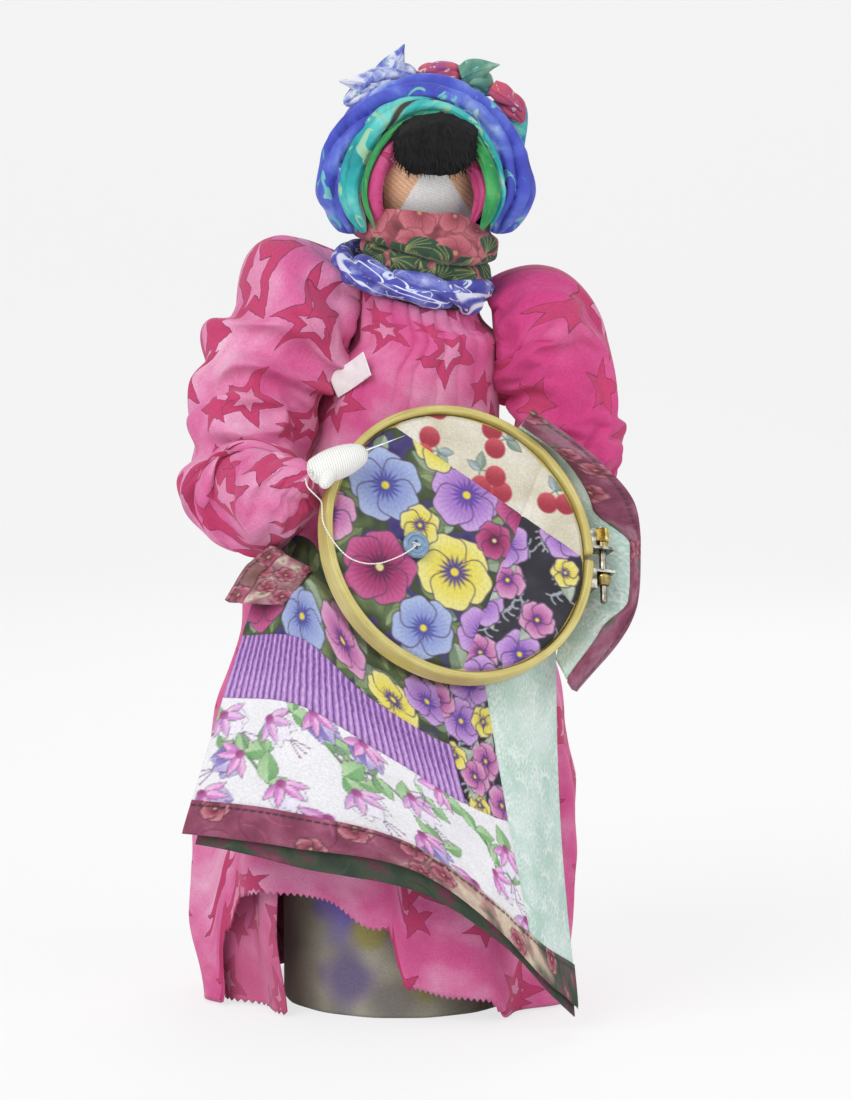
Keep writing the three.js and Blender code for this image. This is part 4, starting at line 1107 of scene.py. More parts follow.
@dataclass(frozen=True)
class StarBatik(Finish):
    """Batik cotton: wax-resist clouds of pink and stencilled stars with thin dark outlines."""

    clouds: Stops = ((0.28, "#d54689"), (0.44, "#df619b"), (0.58, "#e78bb6"), (0.74, "#f2bad2"))
    star: str = "#c83b6e"
    heart: str = "#e48db4"
    line: str = "#7c3150"
    size: float = 14.5  # from a star's middle to its points, in millimetres
    pitch: float = 37.0
    seed: float = 0.0
    notch: ClassVar[float] = 0.44  # an inner corner's distance as a share of a point's
    outline: ClassVar[float] = 0.26  # half the outline's width, in millimetres
    values: ClassVar[dict[str, float]] = {"Sheen Weight": 0.12}

    def star_level(self, add: Adder, place: Node, pitch: float, seed: float) -> tuple[Node, Node]:
        """How far out a point is in its nearest star, counted along the star's points.

        Args:
            add: adds a node to the material.
            place: the UV vector in millimetres.
            pitch: distance between stars.
            seed: moves the stars.

        Returns:
            The level in millimetres, and the star's own random colour.
        """
        lean = (1 - self.notch * math.cos(math.pi / 5)) / (self.notch * math.sin(math.pi / 5))
        cells = add("VectorMath", {0: place, 1: (1 / pitch,) * 3, 2: (seed, seed * 0.7, 0.0)},
                    operation="MULTIPLY_ADD")
        cell = add("TexVoronoi", {"Vector": cells, "Scale": 1.0, "Randomness": 0.4}, voronoi_dimensions="2D")
        gap = add("VectorMath", {0: cells, 1: cell.outputs["Position"]}, operation="SUBTRACT")
        away = add("VectorMath", {0: gap, 1: (pitch, pitch, 0.0)}, operation="MULTIPLY")
        parts = add("SeparateXYZ", {0: away})
        chance = add("SeparateColor", {0: cell.outputs["Color"]})
        angle = add("Math", {0: parts.outputs[1], 1: parts.outputs[0]}, operation="ARCTAN2")
        spun = add("Math", {0: chance.outputs[0], 1: math.tau, 2: angle}, operation="MULTIPLY_ADD")
        fold = add("Math", {0: spun, 1: math.pi / 5}, operation="PINGPONG")
        cosine = add("Math", {0: fold}, operation="COSINE")
        sine = add("Math", {0: fold}, operation="SINE")
        slope = add("Math", {0: sine, 1: lean, 2: cosine}, operation="MULTIPLY_ADD")
        reach = add("VectorMath", {0: away}, operation="LENGTH")
        return add("Math", {0: reach.outputs["Value"], 1: slope}, operation="MULTIPLY"), chance

    def stamp(self, add: Adder, under: Node, level: Node, radius: float, fill: str) -> Node:
        """Lays an outlined star over a colour.

        Args:
            add: adds a node to the material.
            under: the colour under it.
            level: how far out a point is in its star.
            radius: the star's radius, in millimetres.
            fill: its hex colour.

        Returns:
            The colour with the star on it.
        """
        share = add("Math", {0: level, 1: 1 / (2 * radius)}, operation="MULTIPLY")
        rim, line, soft = 0.5, self.outline / (2 * radius), 0.006
        cover = add("ValToRGB", {0: share}, [(rim - 0.01, "#ffffff"), (rim, "#000000")])
        edge = add("ValToRGB", {0: share}, [
            (rim - line - soft, "#000000"), (rim - line, "#ffffff"), (rim + line, "#ffffff"),
            (rim + line + soft, "#000000")])
        filled = add("MixRGB", {0: cover, 1: under, 2: tone(fill)})
        return add("MixRGB", {0: edge, 1: filled, 2: tone(self.line)})

    def pattern(self, add: Adder, place: NodeSocket) -> dict[str, Node]:
        """Clouds, big stars with a paler heart, small plain ones, and uneven fading."""
        drift = add("TexNoise", {"Vector": place, "Scale": 0.22, "Detail": 2.0})
        drawn_at = add("VectorMath", {0: drift.outputs["Color"], 1: (2.0, 2.0, 0.0), 2: place},
                       operation="MULTIPLY_ADD")
        cloud = add("TexNoise", {"Vector": place, "Scale": 0.032, "Detail": 4.0, "Roughness": 0.55})
        colour = add("ValToRGB", {0: cloud}, self.clouds)
        for pitch, radius, seed in ((self.pitch, self.size, 0.0), (self.pitch * 0.74, self.size * 0.55, 4.3)):
            level, chance = self.star_level(add, drawn_at, pitch, seed + self.seed)
            there = add("Math", {0: chance.outputs[1], 1: 0.72}, operation="LESS_THAN")
            drawn = self.stamp(add, colour, level, radius, self.star)
            if radius == self.size:
                drawn = self.stamp(add, drawn, level, radius * 0.46, self.heart)
            colour = add("MixRGB", {0: there, 1: colour, 2: drawn})
        fine = add("TexNoise", {"Vector": place, "Scale": 1.4, "Detail": 3.0})
        fade = add("ValToRGB", {0: fine}, [(0.3, "#e6e6e6"), (0.7, "#ffffff")])
        worn = add("MixRGB", {0: 1.0, 1: colour, 2: fade}, blend_type="MULTIPLY")
        return {"Base Color": worn, "Normal": cotton_surface(add, place, 0.9, 0.45)}


@dataclass(frozen=True)
class ScarfBatik(Finish):
    """Hand-dyed scarf cotton: cloudy colours that run into each other, with paler flecks."""

    clouds: Stops = ((0.3, "#333496"), (0.45, "#4447b2"), (0.58, "#5e66c8"), (0.73, "#a3aede"))
    flecks: Stops = ((0.0, "#b8c040"), (0.5, "#57b8b8"), (1.0, "#e8eaf0"))
    fleck_share: float = 0.66  # noise above this shows a fleck
    vein: str = ""
    vein_gap: float = 5.0  # rough distance between veins, in millimetres
    patch: float = 16.0  # size of a cloud, in millimetres
    seed: float = 0.0
    values: ClassVar[dict[str, float]] = {"Sheen Weight": 0.1}

    def pattern(self, add: Adder, place: NodeSocket) -> dict[str, Node]:
        """Clouds, flecks over them and, where there is a vein colour, thin crackle lines."""
        moved = add("VectorMath", {0: place, 1: (self.seed * 31, self.seed * 17, 0.0)}, operation="ADD")
        cloud = add("TexNoise", {"Vector": moved, "Scale": 1 / self.patch, "Detail": 5.0, "Distortion": 0.6})
        colour = add("ValToRGB", {0: cloud}, self.clouds)
        spot = add("TexNoise", {"Vector": moved, "Scale": 1.7 / self.patch, "Detail": 2.0, "Distortion": 1.2},
                   noise_dimensions="2D")
        which = add("TexNoise", {"Vector": moved, "Scale": 0.8 / self.patch})
        share = self.fleck_share
        cover = add("ValToRGB", {0: spot}, [(share, "#000000"), (share + 0.04, "#ffffff")])
        fleck = add("ValToRGB", {0: which}, self.flecks)
        colour = add("MixRGB", {0: cover, 1: colour, 2: fleck})
        if self.vein:
            drawn = add("VectorMath", {0: moved, 1: (1.0, 0.38, 0.0)}, operation="MULTIPLY")
            flow = add("TexNoise", {"Vector": drawn, "Scale": 1 / self.vein_gap, "Detail": 1.0,
                                    "Distortion": 0.5}, noise_dimensions="2D")
            level = add("Math", {0: flow, 1: 0.5}, operation="SUBTRACT")
            far = add("Math", {0: level}, operation="ABSOLUTE")
            lines = add("ValToRGB", {0: far}, [(0.014, "#ffffff"), (0.026, "#000000")])
            colour = add("MixRGB", {0: lines, 1: colour, 2: tone(self.vein)})
        return {"Base Color": colour, "Normal": cotton_surface(add, place, 0.8, 0.35)}


@dataclass(frozen=True)
class RibbedCotton(Finish):
    """Ribbed lilac cotton: pale crests, worn and with a painted highlight, and deep violet grooves of painted
    shade.
    """

    pitch: float = 2.8  # distance between ribs, in millimetres
    values: ClassVar[dict[str, float]] = {"Sheen Weight": 0.2}

    def pattern(self, add: Adder, place: NodeSocket) -> dict[str, Node]:
        """Grooves that run down the UV map, darkened with painted shade, with worn tufts between them."""
        parts = add("SeparateXYZ", {0: place})
        drift = add("TexNoise", {"Vector": place, "Scale": 0.3, "Detail": 3.0})
        shifted = add("Math", {0: drift, 1: 1.1, 2: parts.outputs[0]}, operation="MULTIPLY_ADD")
        share = add("Math", {0: shifted, 1: 1 / self.pitch}, operation="MULTIPLY")
        rib = add("Math", {0: share, 1: 0.5}, operation="PINGPONG")
        stretched = add("VectorMath", {0: place, 1: (1.1, 0.34, 0.0)}, operation="MULTIPLY")
        tuft = add("TexNoise", {"Vector": stretched, "Scale": 1.6, "Detail": 4.0})
        level = add("Math", {0: tuft, 1: 0.5, 2: rib}, operation="MULTIPLY_ADD")
        # colour follows the ribs: dark violet in the grooves is painted shade, pale lilac on the crests is wear and
        # painted highlight
        colour = add("ValToRGB", {0: level}, [
            (0.28, "#62407f"), (0.42, "#9767b3"), (0.58, "#b287c6"), (0.8, "#d5b3df")])
        bump = add("Bump", {"Height": level, "Strength": 0.6, "Distance": 0.5 * MM})
        return {"Base Color": colour, "Normal": bump}


@dataclass(frozen=True)
class WoundFloss(Finish):
    """White cotton floss wound side by side: each turn a soft bright ridge, with painted shade where the turns
    meet.
    """

    pitch: float = 0.9  # distance between turns, in millimetres

    def pattern(self, add: Adder, place: NodeSocket) -> dict[str, Node]:
        """Turns that lie across the UV map's height, on a slight slant."""
        parts = add("SeparateXYZ", {0: place})
        lean = add("Math", {0: parts.outputs[0], 1: 0.12, 2: parts.outputs[1]}, operation="MULTIPLY_ADD")
        share = add("Math", {0: lean, 1: 1 / self.pitch}, operation="MULTIPLY")
        turn = add("Math", {0: share, 1: 0.5}, operation="PINGPONG")
        hair = add("TexNoise", {"Vector": place, "Scale": 2.5, "Detail": 4.0})
        level = add("Math", {0: hair, 1: 0.35, 2: turn}, operation="MULTIPLY_ADD")
        # the grey where the turns meet is painted shade
        colour = add("ValToRGB", {0: level}, [(0.15, "#c9c6be"), (0.32, "#ebe9e4"), (0.6, "#f6f5f2")])
        bump = add("Bump", {"Height": level, "Strength": 0.7, "Distance": 0.35 * MM})
        return {"Base Color": colour, "Normal": bump}


@dataclass(frozen=True)
class DyedFur(Finish):
    """Black fur pile: near-black hairs with a faint cool shine."""

    roughness: float = 0.62
    on_cloth: ClassVar[bool] = False
    values: ClassVar[dict[str, float]] = {"Specular IOR Level": 0.25}

    def pattern(self, add: Adder, place: NodeSocket) -> dict[str, Node]:
        """Clumps of hair about 2 mm wide."""
        clump = add("TexNoise", {"Vector": place, "Scale": 420.0, "Detail": 3.0})
        colour = add("ValToRGB", {0: clump}, [(0.35, "#040405"), (0.6, "#0a0a0c"), (0.8, "#1a1a1e")])
        bump = add("Bump", {"Height": clump, "Strength": 0.6, "Distance": 0.4 * MM})
        return {"Base Color": colour, "Normal": bump}


@dataclass(frozen=True)
class BentBamboo(Finish):
    """Thin lacquered bamboo bent to a ring: golden, with fine grain along it and a satin shine."""

    roughness: float = 0.42
    colours: Stops = ((0.3, "#9c8a3e"), (0.5, "#c2b162"), (0.7, "#d9cf8f"))
    values: ClassVar[dict[str, float]] = {"Coat Weight": 0.25, "Coat Roughness": 0.3}

    def pattern(self, add: Adder, place: NodeSocket) -> dict[str, Node]:
        """Grain that runs along the UV map's width, over broad stains."""
        stretched = add("VectorMath", {0: place, 1: (0.03, 1.6, 0.0)}, operation="MULTIPLY")
        fibre = add("TexNoise", {"Vector": stretched, "Scale": 1.6, "Detail": 6.0})
        stain = add("TexNoise", {"Vector": place, "Scale": 0.06, "Detail": 3.0})
        level = add("Math", {0: stain, 1: 0.7, 2: fibre}, operation="MULTIPLY_ADD")
        half = add("Math", {0: level, 1: 0.6}, operation="MULTIPLY")
        colour = add("ValToRGB", {0: half}, self.colours)
        bump = add("Bump", {"Height": fibre, "Strength": 0.25, "Distance": 0.15 * MM})
        return {"Base Color": colour, "Normal": bump}


@dataclass(frozen=True)
class PlatedMetal(Finish):
    """Plated metal fittings, handled and a little dulled, so their shine is uneven."""

    colour: str = "#b5a066"
    dull: str = "#857648"
    on_cloth: ClassVar[bool] = False
    values: ClassVar[dict[str, float]] = {"Metallic": 1.0}

    def pattern(self, add: Adder, place: NodeSocket) -> dict[str, Node]:
        """Dull stains about 3 mm wide, which also roughen the shine."""
        stain = add("TexNoise", {"Vector": place, "Scale": 380.0, "Detail": 5.0})
        colour = add("ValToRGB", {0: stain}, [(0.35, self.dull), (0.62, self.colour)])
        gloss = add("ValToRGB", {0: stain}, [(0.3, "#9a9a9a"), (0.7, "#6e6e6e")])
        bump = add("Bump", {"Height": stain, "Strength": 0.15, "Distance": 0.05 * MM})
        return {"Base Color": colour, "Roughness": gloss, "Normal": bump}


@dataclass(frozen=True)
class CastResin(Finish):
    """Cast polyester button: blue-grey, faintly marbled, with a soft gloss."""

    roughness: float = 0.32
    on_cloth: ClassVar[bool] = False
    values: ClassVar[dict[str, float]] = {"Coat Weight": 0.3}

    def pattern(self, add: Adder, place: NodeSocket) -> dict[str, Node]:
        """Marbling in swirls of about 4 mm."""
        marble = add("TexNoise", {"Vector": place, "Scale": 260.0, "Detail": 4.0, "Distortion": 1.5})
        shades = [(0.3, "#5f7d9c"), (0.55, "#7391ad"), (0.75, "#93abc0")]
        return {"Base Color": add("ValToRGB", {0: marble}, shades)}


@dataclass(frozen=True)
class Calico(Finish):
    """Unbleached plain cotton of the hidden stuffed pieces, with specks of seed."""

    pale: str = "#ebe4d4"
    dark: str = "#d8cdb6"
    on_cloth: ClassVar[bool] = False

    def pattern(self, add: Adder, place: NodeSocket) -> dict[str, Node]:
        """Specks about a millimetre wide."""
        fine = add("TexNoise", {"Vector": place, "Scale": 900.0, "Detail": 4.0})
        colour = add("ValToRGB", {0: fine}, [(0.32, self.dark), (0.6, self.pale)])
        bump = add("Bump", {"Height": fine, "Strength": 0.3, "Distance": 0.15 * MM})
        return {"Base Color": colour, "Normal": bump}


@dataclass(frozen=True)
class TurnedWood(Finish):
    """Plain turned pine: warm and dry, with grain rings."""

    roughness: float = 0.6
    on_cloth: ClassVar[bool] = False

    def pattern(self, add: Adder, place: NodeSocket) -> dict[str, Node]:
        """Grain drawn out along the post's height."""
        long = add("VectorMath", {0: place, 1: (1.0, 1.0, 0.12)}, operation="MULTIPLY")
        ring = add("TexNoise", {"Vector": long, "Scale": 160.0, "Detail": 6.0, "Distortion": 0.8})
        colour = add("ValToRGB", {0: ring}, [(0.32, "#a8834f"), (0.55, "#cfae7a"), (0.75, "#e0c496")])
        bump = add("Bump", {"Height": ring, "Strength": 0.2, "Distance": 0.2 * MM})
        return {"Base Color": colour, "Normal": bump}


@dataclass(frozen=True)
class SpunThread(Finish):
    """Twisted cotton thread: bright, with darker lines of painted shade between its plies."""

    pale: str = "#f4f3ee"
    dark: str = "#c4c1b6"
    lay: float = 1.2  # length of one twist, in millimetres

    def pattern(self, add: Adder, place: NodeSocket) -> dict[str, Node]:
        """Plies that run on a slant over the UV map."""
        parts = add("SeparateXYZ", {0: place})
        share = add("Math", {0: parts.outputs[1], 1: 1 / self.lay, 2: parts.outputs[0]}, operation="MULTIPLY_ADD")
        ply = add("Math", {0: share, 1: 0.5}, operation="PINGPONG")
        # the darker lines between the plies are painted shade
        return {"Base Color": add("ValToRGB", {0: ply}, [(0.06, self.dark), (0.2, self.pale)])}


@dataclass(frozen=True)
class WovenTape(Finish):
    """White satin tape of a sewn-in tag: smooth, with a faint sheen and fine cross ribs."""

    roughness: float = 0.45
    values: ClassVar[dict[str, float]] = {"Sheen Weight": 0.3}

    def pattern(self, add: Adder, place: NodeSocket) -> dict[str, Node]:
        """Fine ribs, and soiling in patches of 5 mm."""
        bump = cotton_surface(add, place, 0.7, 0.25)
        soil = add("TexNoise", {"Vector": place, "Scale": 0.2, "Detail": 3.0})
        return {"Base Color": add("ValToRGB", {0: soil}, [(0.3, "#e6e5e3"), (0.65, "#f6f6f5")]), "Normal": bump}


# The doll's own sizes that several pieces share


COLLAR_CENTRE = vec(5, -3.5, 290.5)
DRESS_TOP = 290.0


def collar_height(x: Array, y: Array) -> Array:
    """Height of the collar roll's middle line over a place."""
    return COLLAR_CENTRE[2] - 0.2 * (x - COLLAR_CENTRE[0]) + 0.13 * (y - COLLAR_CENTRE[1])


@dataclass
class BodyColumn:
    """The stuffed body on its wooden disc and post, in a printed cover."""

    levels: tuple[tuple[float, float, float, float], ...] = (  # height, middle, half width, half depth
        (8.3, 0, 44.8, 44.8), (60, 0, 43.8, 43.8), (118, 2, 38.8, 38.8), (170, 5, 31.8, 30.8),
        (215, 9, 24.8, 25.8), (250, 10.5, 24.3, 24.8), (266, 10.5, 22.8, 20.8), (277, 9.5, 15.8, 14.8),
        (287, 8, 11.8, 11.8), (299, 8, 10.8, 10.8),
    )
    closing: float = 0.04  # the share of its length over which the body closes at each end
    cover_radius: float = 46.3
    cover_top: float = 114.0

    def body(self, u: Array, v: Array) -> Array:
        """The stuffed body, with a flat foot and a closed neck.

        Args:
            u: its share round or across.
            v: its share along or up.

        Returns:
            One point per row, in millimetres.
        """
        height, *sizes = np.array(self.levels).T
        share = np.clip((v - self.closing) / (1 - 2 * self.closing), 0, 1)
        z = height[0] + (height[-1] - height[0]) * share
        middle, wide, deep = (np.interp(z, height, size) for size in sizes)
        close = np.clip(np.minimum(v, 1 - v) / self.closing, 0, 1)
        angle = 2 * np.pi * u
        return rows(middle + wide * close * np.cos(angle), deep * close * np.sin(angle), z)

    def cover(self, u: Array, v: Array) -> Array:
        """The printed cover round the column, drawn in a little above.

        Args:
            u: its share round or across.
            v: its share along or up.

        Returns:
            One point per row, in millimetres.
        """
        z = self.cover_top * v
        angle = 2 * np.pi * (u + 0.25)
        radius = self.cover_radius - 3 * smooth(z, 60, self.cover_top) + 0.25 * np.cos(14 * angle)
        return rows(radius * np.cos(angle), radius * np.sin(angle), z)

    def build(self) -> None:
        """Makes the body, its cover, the disc and the post."""
        calico = Calico("unbleached_calico").make()
        wood = TurnedWood("turned_pine").make()
        Stuffed("stuffed_body_cloth", Body.TORSO, "stuffing", ("stuffed_body",), 0.95).make(
            (96, 90), self.body, even((280, 300)), calico)
        # the cover's print is dulled by painted shade
        worn = PrintedCotton("shade_dulled_cover_cotton", 0.9).make()
        size = (2 * math.pi * self.cover_radius, self.cover_top)
        cover = laid("body_cover_cloth", (300, 80), self.cover, even(size), worn,
                     lambda canvas: shadow_bloom(canvas, size, 5))
        thicken(cover, 1.0)
        finish_object(cover, Body.TORSO, ["printed_cover"])
        for name in ("base_disc", "center_post"):
            dress_node(name, wood)
        LOG.info("body column: stuffed body, printed cover, base disc and post")


@dataclass
class Dress:
    """The dress: gathered under the collar, full in the skirt, its pinked hem caught up in front."""

    size: tuple[int, int] = (420, 110)
    left: tuple = ((0, -77), (35, -82), (64, -81), (109, -74), (157, -62), (184, -56), (205, -41),
                   (214, -39), (232, -36), (250, -31), (266, -19), (290, -17.5))
    right: tuple = ((0, 67), (60, 70), (84, 70), (112, 66), (157, 58), (184, 50), (205, 41), (230, 39.5),
                    (262, 39.5), (290, 31))
    front: tuple = ((0, -62), (64, -64), (109, -62), (157, -58), (184, -52), (205, -46), (237, -41),
                    (262, -40), (275, -39), (290, -35))
    back: tuple = ((0, 60), (64, 62), (109, 60), (157, 52), (184, 44), (205, 36), (237, 29),
                   (275, 28), (290, 27))
    arch: tuple = ((-1.16, 0), (-1.04, 30), (-0.86, 47), (-0.5, 50), (0.02, 38), (0.12, 13), (0.4, 9), (0.54, 8),
                   (0.68, 0))
    hem_clear: float = 0.6
    rim_drop: float = 7.1
    tooth: float = 1.5  # depth of the pinked edge's teeth
    gathers: int = 22

    def hem(self, turn: Array) -> Array:
        """Height of the hem at an angle from straight ahead."""
        return self.hem_clear + along(self.arch, turn)

    def place(self, turn: Array, z: Array, swell: Array | float = 0.0) -> Array:
        """A point of the dress at an angle from straight ahead and a height.

        Args:
            turn: its angle.
            z: its height.
            swell: how far it stands out.

        Returns:
            One point per row, in millimetres.
        """
        left, right = along(self.left, z), along(self.right, z)
        middle = (left + right) / 2
        depth = np.where(np.cos(turn) > 0, -along(self.front, z), along(self.back, z))
        fullness = 0.045 * smooth(-z, -210, -60)
        fold = 1 + fullness * np.cos(10 * turn + 0.6)
        rim = collar_height(middle + right * np.sin(turn) * 0.8, -depth * np.cos(turn)) - self.rim_drop
        at_top = smooth(z, 262, DRESS_TOP)
        return rows(middle + ((right - left) / 2 * fold + swell) * np.sin(turn),
                    -(depth * fold + swell) * np.cos(turn), z + (rim - DRESS_TOP) * at_top)

    def folds(self, turn: Array, z: Array) -> Array:
        """How far the cloth stands out or in: gathers above, long soft folds and crumples below.

        Args:
            turn: the angles.
            z: the heights.

        Returns:
            One distance per point, in millimetres.
        """
        around = round_about(turn, 60, z * 0.28)
        gather = np.abs(np.sin(self.gathers / 2 * turn + 2.6 * grain(around, 30, 1))) ** 0.4
        high = smooth(z, 214, 284)
        low = smooth(-z, -215, -150)
        long = grain(around * vec(1, 1, 0.5), 17, 3)
        crumple = grain(round_about(turn, 60, z), 13, 7)
        return high * (2.7 * gather - 2.4) + low * (2.6 * long + 0.7 * crumple) + 0.4 * crumple * (1 - low)

    def clear(self, p: Array, gap: float) -> Array:
        """Moves points out until they are clear of the dress.

        Args:
            p: the points.
            gap: their least distance from it.

        Returns:
            The moved points.
        """
        z = np.clip(p[:, 2], 0, DRESS_TOP)
        left, right = along(self.left, z), along(self.right, z)
        middle, wide = (left + right) / 2, (right - left) / 2
        turn = np.arctan2((p[:, 0] - middle) / wide, -p[:, 1] / -along(self.front, z))
        shell = self.place(turn, z, self.folds(turn, z) + gap)
        inner = np.hypot(shell[:, 0] - middle, shell[:, 1])
        reach = np.hypot(p[:, 0] - middle, p[:, 1])
        push = np.maximum(inner / np.maximum(reach, 1), 1)
        out = p.copy()
        out[:, 0] = middle + (p[:, 0] - middle) * push
        out[:, 1] = p[:, 1] * push
        return out

    def surface(self, u: Array, v: Array) -> Array:
        """The whole dress, with its seam at the back.

        Args:
            u: its share round or across.
            v: its share along or up.

        Returns:
            One point per row, in millimetres.
        """
        turn = 2 * np.pi * (u - 0.5)
        low = self.hem(turn)
        z = DRESS_TOP + (low - DRESS_TOP) * (1 - v)
        swell = self.folds(turn, z)
        tooth = np.abs(((u * self.size[0] / 2) % 1) - 0.5) * 2 - 0.5
        edge = smooth(1 - v, 0.975, 1.0)
        p = self.place(turn, z, swell)
        caught = smooth(low, 4, 22) * smooth(1 - v, 0.86, 1.0)
        p[:, 2] += self.tooth * tooth * edge * (low > 3) + np.abs(tooth) * edge
        p[:, 2] += caught * 3.0 * grain(rows(turn * 40, v * 0, v * 0), 9, 11)
        p[:, 1] += caught * 2.0
        p[:, 2] = np.maximum(p[:, 2], 0.4)
        return p

    def under(self, u: Array, v: Array) -> Array:
        """The hem's lower layer, which hangs to the ground inside the raised part.

        Args:
            u: its share round or across.
            v: its share along or up.

        Returns:
            One point per row, in millimetres.
        """
        turn = -1.34 + 0.71 * u
        z = 0.8 + 74 * v
        wave = 1.6 * np.sin(9 * turn + 0.02 * z)
        p = self.place(turn, z, -9 + wave)
        p[:, 2] += 1.4 * (np.abs((u * 15) % 1 - 0.5) * 2) * smooth(1 - v, 0.95, 1.0)
        return p

    def flat(self, u: Array, v: Array) -> Array:
        """The cloth's own place: round the dress and down it.

        Args:
            u: its share round or across.
            v: its share along or up.

        Returns:
            One point per row, in millimetres.
        """
        z = DRESS_TOP * v
        wide = (along(self.right, z) - along(self.left, z)) * 0.5
        deep = (along(self.back, z) - along(self.front, z)) * 0.5
        girth = np.pi * (wide + deep)
        return rows((u - 0.5) * girth + 400, z)

    def build(self) -> None:
        """Makes the dress and its finish, with a duller wrong side."""
        batik = StarBatik("pink_star_batik").make()
        wrong = StarBatik("pink_star_batik_wrong_side", 0.9, (
            (0.3, "#cf5a8c"), (0.5, "#d76a98"), (0.66, "#df85ab"), (0.8, "#e8a5c1")),
            "#c25078", "#dd86a8", "#9a4868").make()
        obj = laid("dress_cloth", self.size, self.surface, self.flat, batik)
        obj.data.materials.append(wrong)
        thicken(obj, 0.6, -1.0)
        obj.modifiers["cloth"].material_offset = 1
        finish_object(obj, Body.TORSO, ["dress"])
        under = laid("dress_under_fold_cloth", (60, 60), self.under, even((78, 74)), wrong)
        thicken(under, 0.6, -1.0)
        finish_object(under, Body.TORSO)
        cover(under, (0.07 / MM, 0.075 / MM), "draped", ["dress_cloth"])
        LOG.info("dress")


@dataclass
class Collar:
    """A rope of scarf cloth twisted round the neck, with a tucked bulb at the doll's left."""

    half_x: float = 26.0
    half_y: float = 33.5
    roll: float = 6.8
    strands: int = 3
    twist: int = 9
    bulb_angle: float = -0.62  # where the end is tucked in, from +X, in radians
    bulb: float = 2.2

    def surface(self, u: Array, v: Array) -> Array:
        """The roll: u round it, v along it.

        Args:
            u: its share round or across.
            v: its share along or up.

        Returns:
            One point per row, in millimetres.
        """
        ring = 2 * np.pi * v
        a = 2 * np.pi * u
        x = COLLAR_CENTRE[0] + self.half_x * np.cos(ring)
        y = COLLAR_CENTRE[1] + self.half_y * np.sin(ring)
        middle = rows(x, y, collar_height(x, y))
        out = unit(rows(np.cos(ring) / self.half_x, np.sin(ring) / self.half_y, 0 * ring))
        lay = self.strands * a + self.twist * ring
        seed = round_about(ring, 30, 6 * np.sin(a))
        groove = 1 - np.abs(np.sin(lay / 2 + 0.7 * grain(seed, 12, 2)))
        near = np.angle(np.exp(1j * (ring - self.bulb_angle)))
        bulb = self.bulb * hump(near, 0.2)
        crease = 0.5 * grain(seed, 4, 5)
        r = self.roll * (0.97 + 0.07 * np.cos(2 * a + 7 * ring)) - 2.6 * groove**2 + crease + bulb
        rise = vec(0, 0, 1)
        return middle + r[:, None] * (out * np.cos(a)[:, None] + rise * np.sin(a)[:, None])

    def build(self) -> None:
        """Makes the collar."""
        batik = ScarfBatik("blue_leaf_batik", 0.85, (
            (0.34, "#3b3b96"), (0.5, "#5053ae"), (0.62, "#7a80c6"), (0.74, "#aeb6e0")),
            ((0.0, "#c2cbea"), (1.0, "#d8def2")), 0.64, "#dfe4f4", vein_gap=11, patch=10, seed=3).make()
        girth = math.tau * self.roll
        long = math.pi * (self.half_x + self.half_y)
        Stuffed("collar_roll_cloth", Body.TORSO, "scarf_blue", ("collar_roll",), 0.8).make(
            (60, 420), self.surface, lambda u, v: rows(u * girth + v * 60, v * long - u * 24), batik)
        LOG.info("collar roll")


@dataclass
class Sleeve:
    """A full sleeve, crumpled over its stuffing and gathered at the wrist."""

    name: str
    body: Body
    path: tuple
    swell: tuple[Pair, ...]
    phase: float
    node: str
    folds: tuple  # (share along, angle round, depth, width along, width round, slant) of the deep creases
    size: tuple[int, int] = (68, 90)
    start: float = 0.87  # the skin starts smaller than the puff, because it swells as it settles
    settling: Settling = Settling()

    def radius(self, t: Array, angle: Array) -> Array:
        """The puff's radius, with its soft ripples and deep creases.

        Args:
            t: shares along it.
            angle: angles round it.

        Returns:
            One radius per point, in millimetres.
        """
        ripple = 0.045 * np.sin(5 * angle + 6 * t + self.phase) + 0.03 * np.sin(3 * angle - 15 * t)
        puff = along(self.swell, t) * (1 + ripple * np.sin(np.pi * t))
        seed = round_about(angle, 30, 130 * t)
        crease = ridges(seed * vec(1, 1, 0.6), 26, self.phase)
        lump = grain(seed, 15, self.phase + 2)
        gather = np.abs(np.sin(11 * angle)) * smooth(t, 0.86, 0.97)
        out = puff - 3.0 * np.clip(crease - 0.55, 0, 1) ** 1.2 + 1.1 * lump * np.sin(np.pi * t)
        for share, turn, depth, long, wide, slant in self.folds:
            near = np.angle(np.exp(1j * (angle - turn)))
            along_it = (t - share - slant * near) / long
            out = out - depth * np.exp(-(along_it**2) - (near / wide) ** 2)
            out = out + 0.35 * depth * np.exp(-((along_it - 1.7) ** 2) - (near / wide) ** 2)
        return out * (1 - 0.1 * gather)

    def build(self, batik: Material) -> Object:
        """Makes the sleeve.

        Args:
            batik: its finish.
        """
        path = Path(self.path)
        share = self.start

        def skin(t: Array, angle: Array) -> Array:
            """The skin's radius before it settles."""
            return self.radius(t, angle) * (share + (1 - share) * (1 - np.sin(np.pi * t)) ** 2)

        obj = laid(self.name, self.size, limb(path, skin, (0, 1, 0.2), 0.05), lambda u, v: rows(
            (u - 0.5) * math.tau * along(self.swell, v), v * path.length), batik)
        core = limb(path, lambda t, angle: along(self.swell, t) * self.settling.core, (0, 1, 0.2), 0.05)
        self.settling.settle(obj, core, path.length)
        fine = obj.modifiers.new("fine", "SUBSURF")
        fine.levels = fine.render_levels = 2
        finish_object(obj, self.body, [self.node])
        return obj


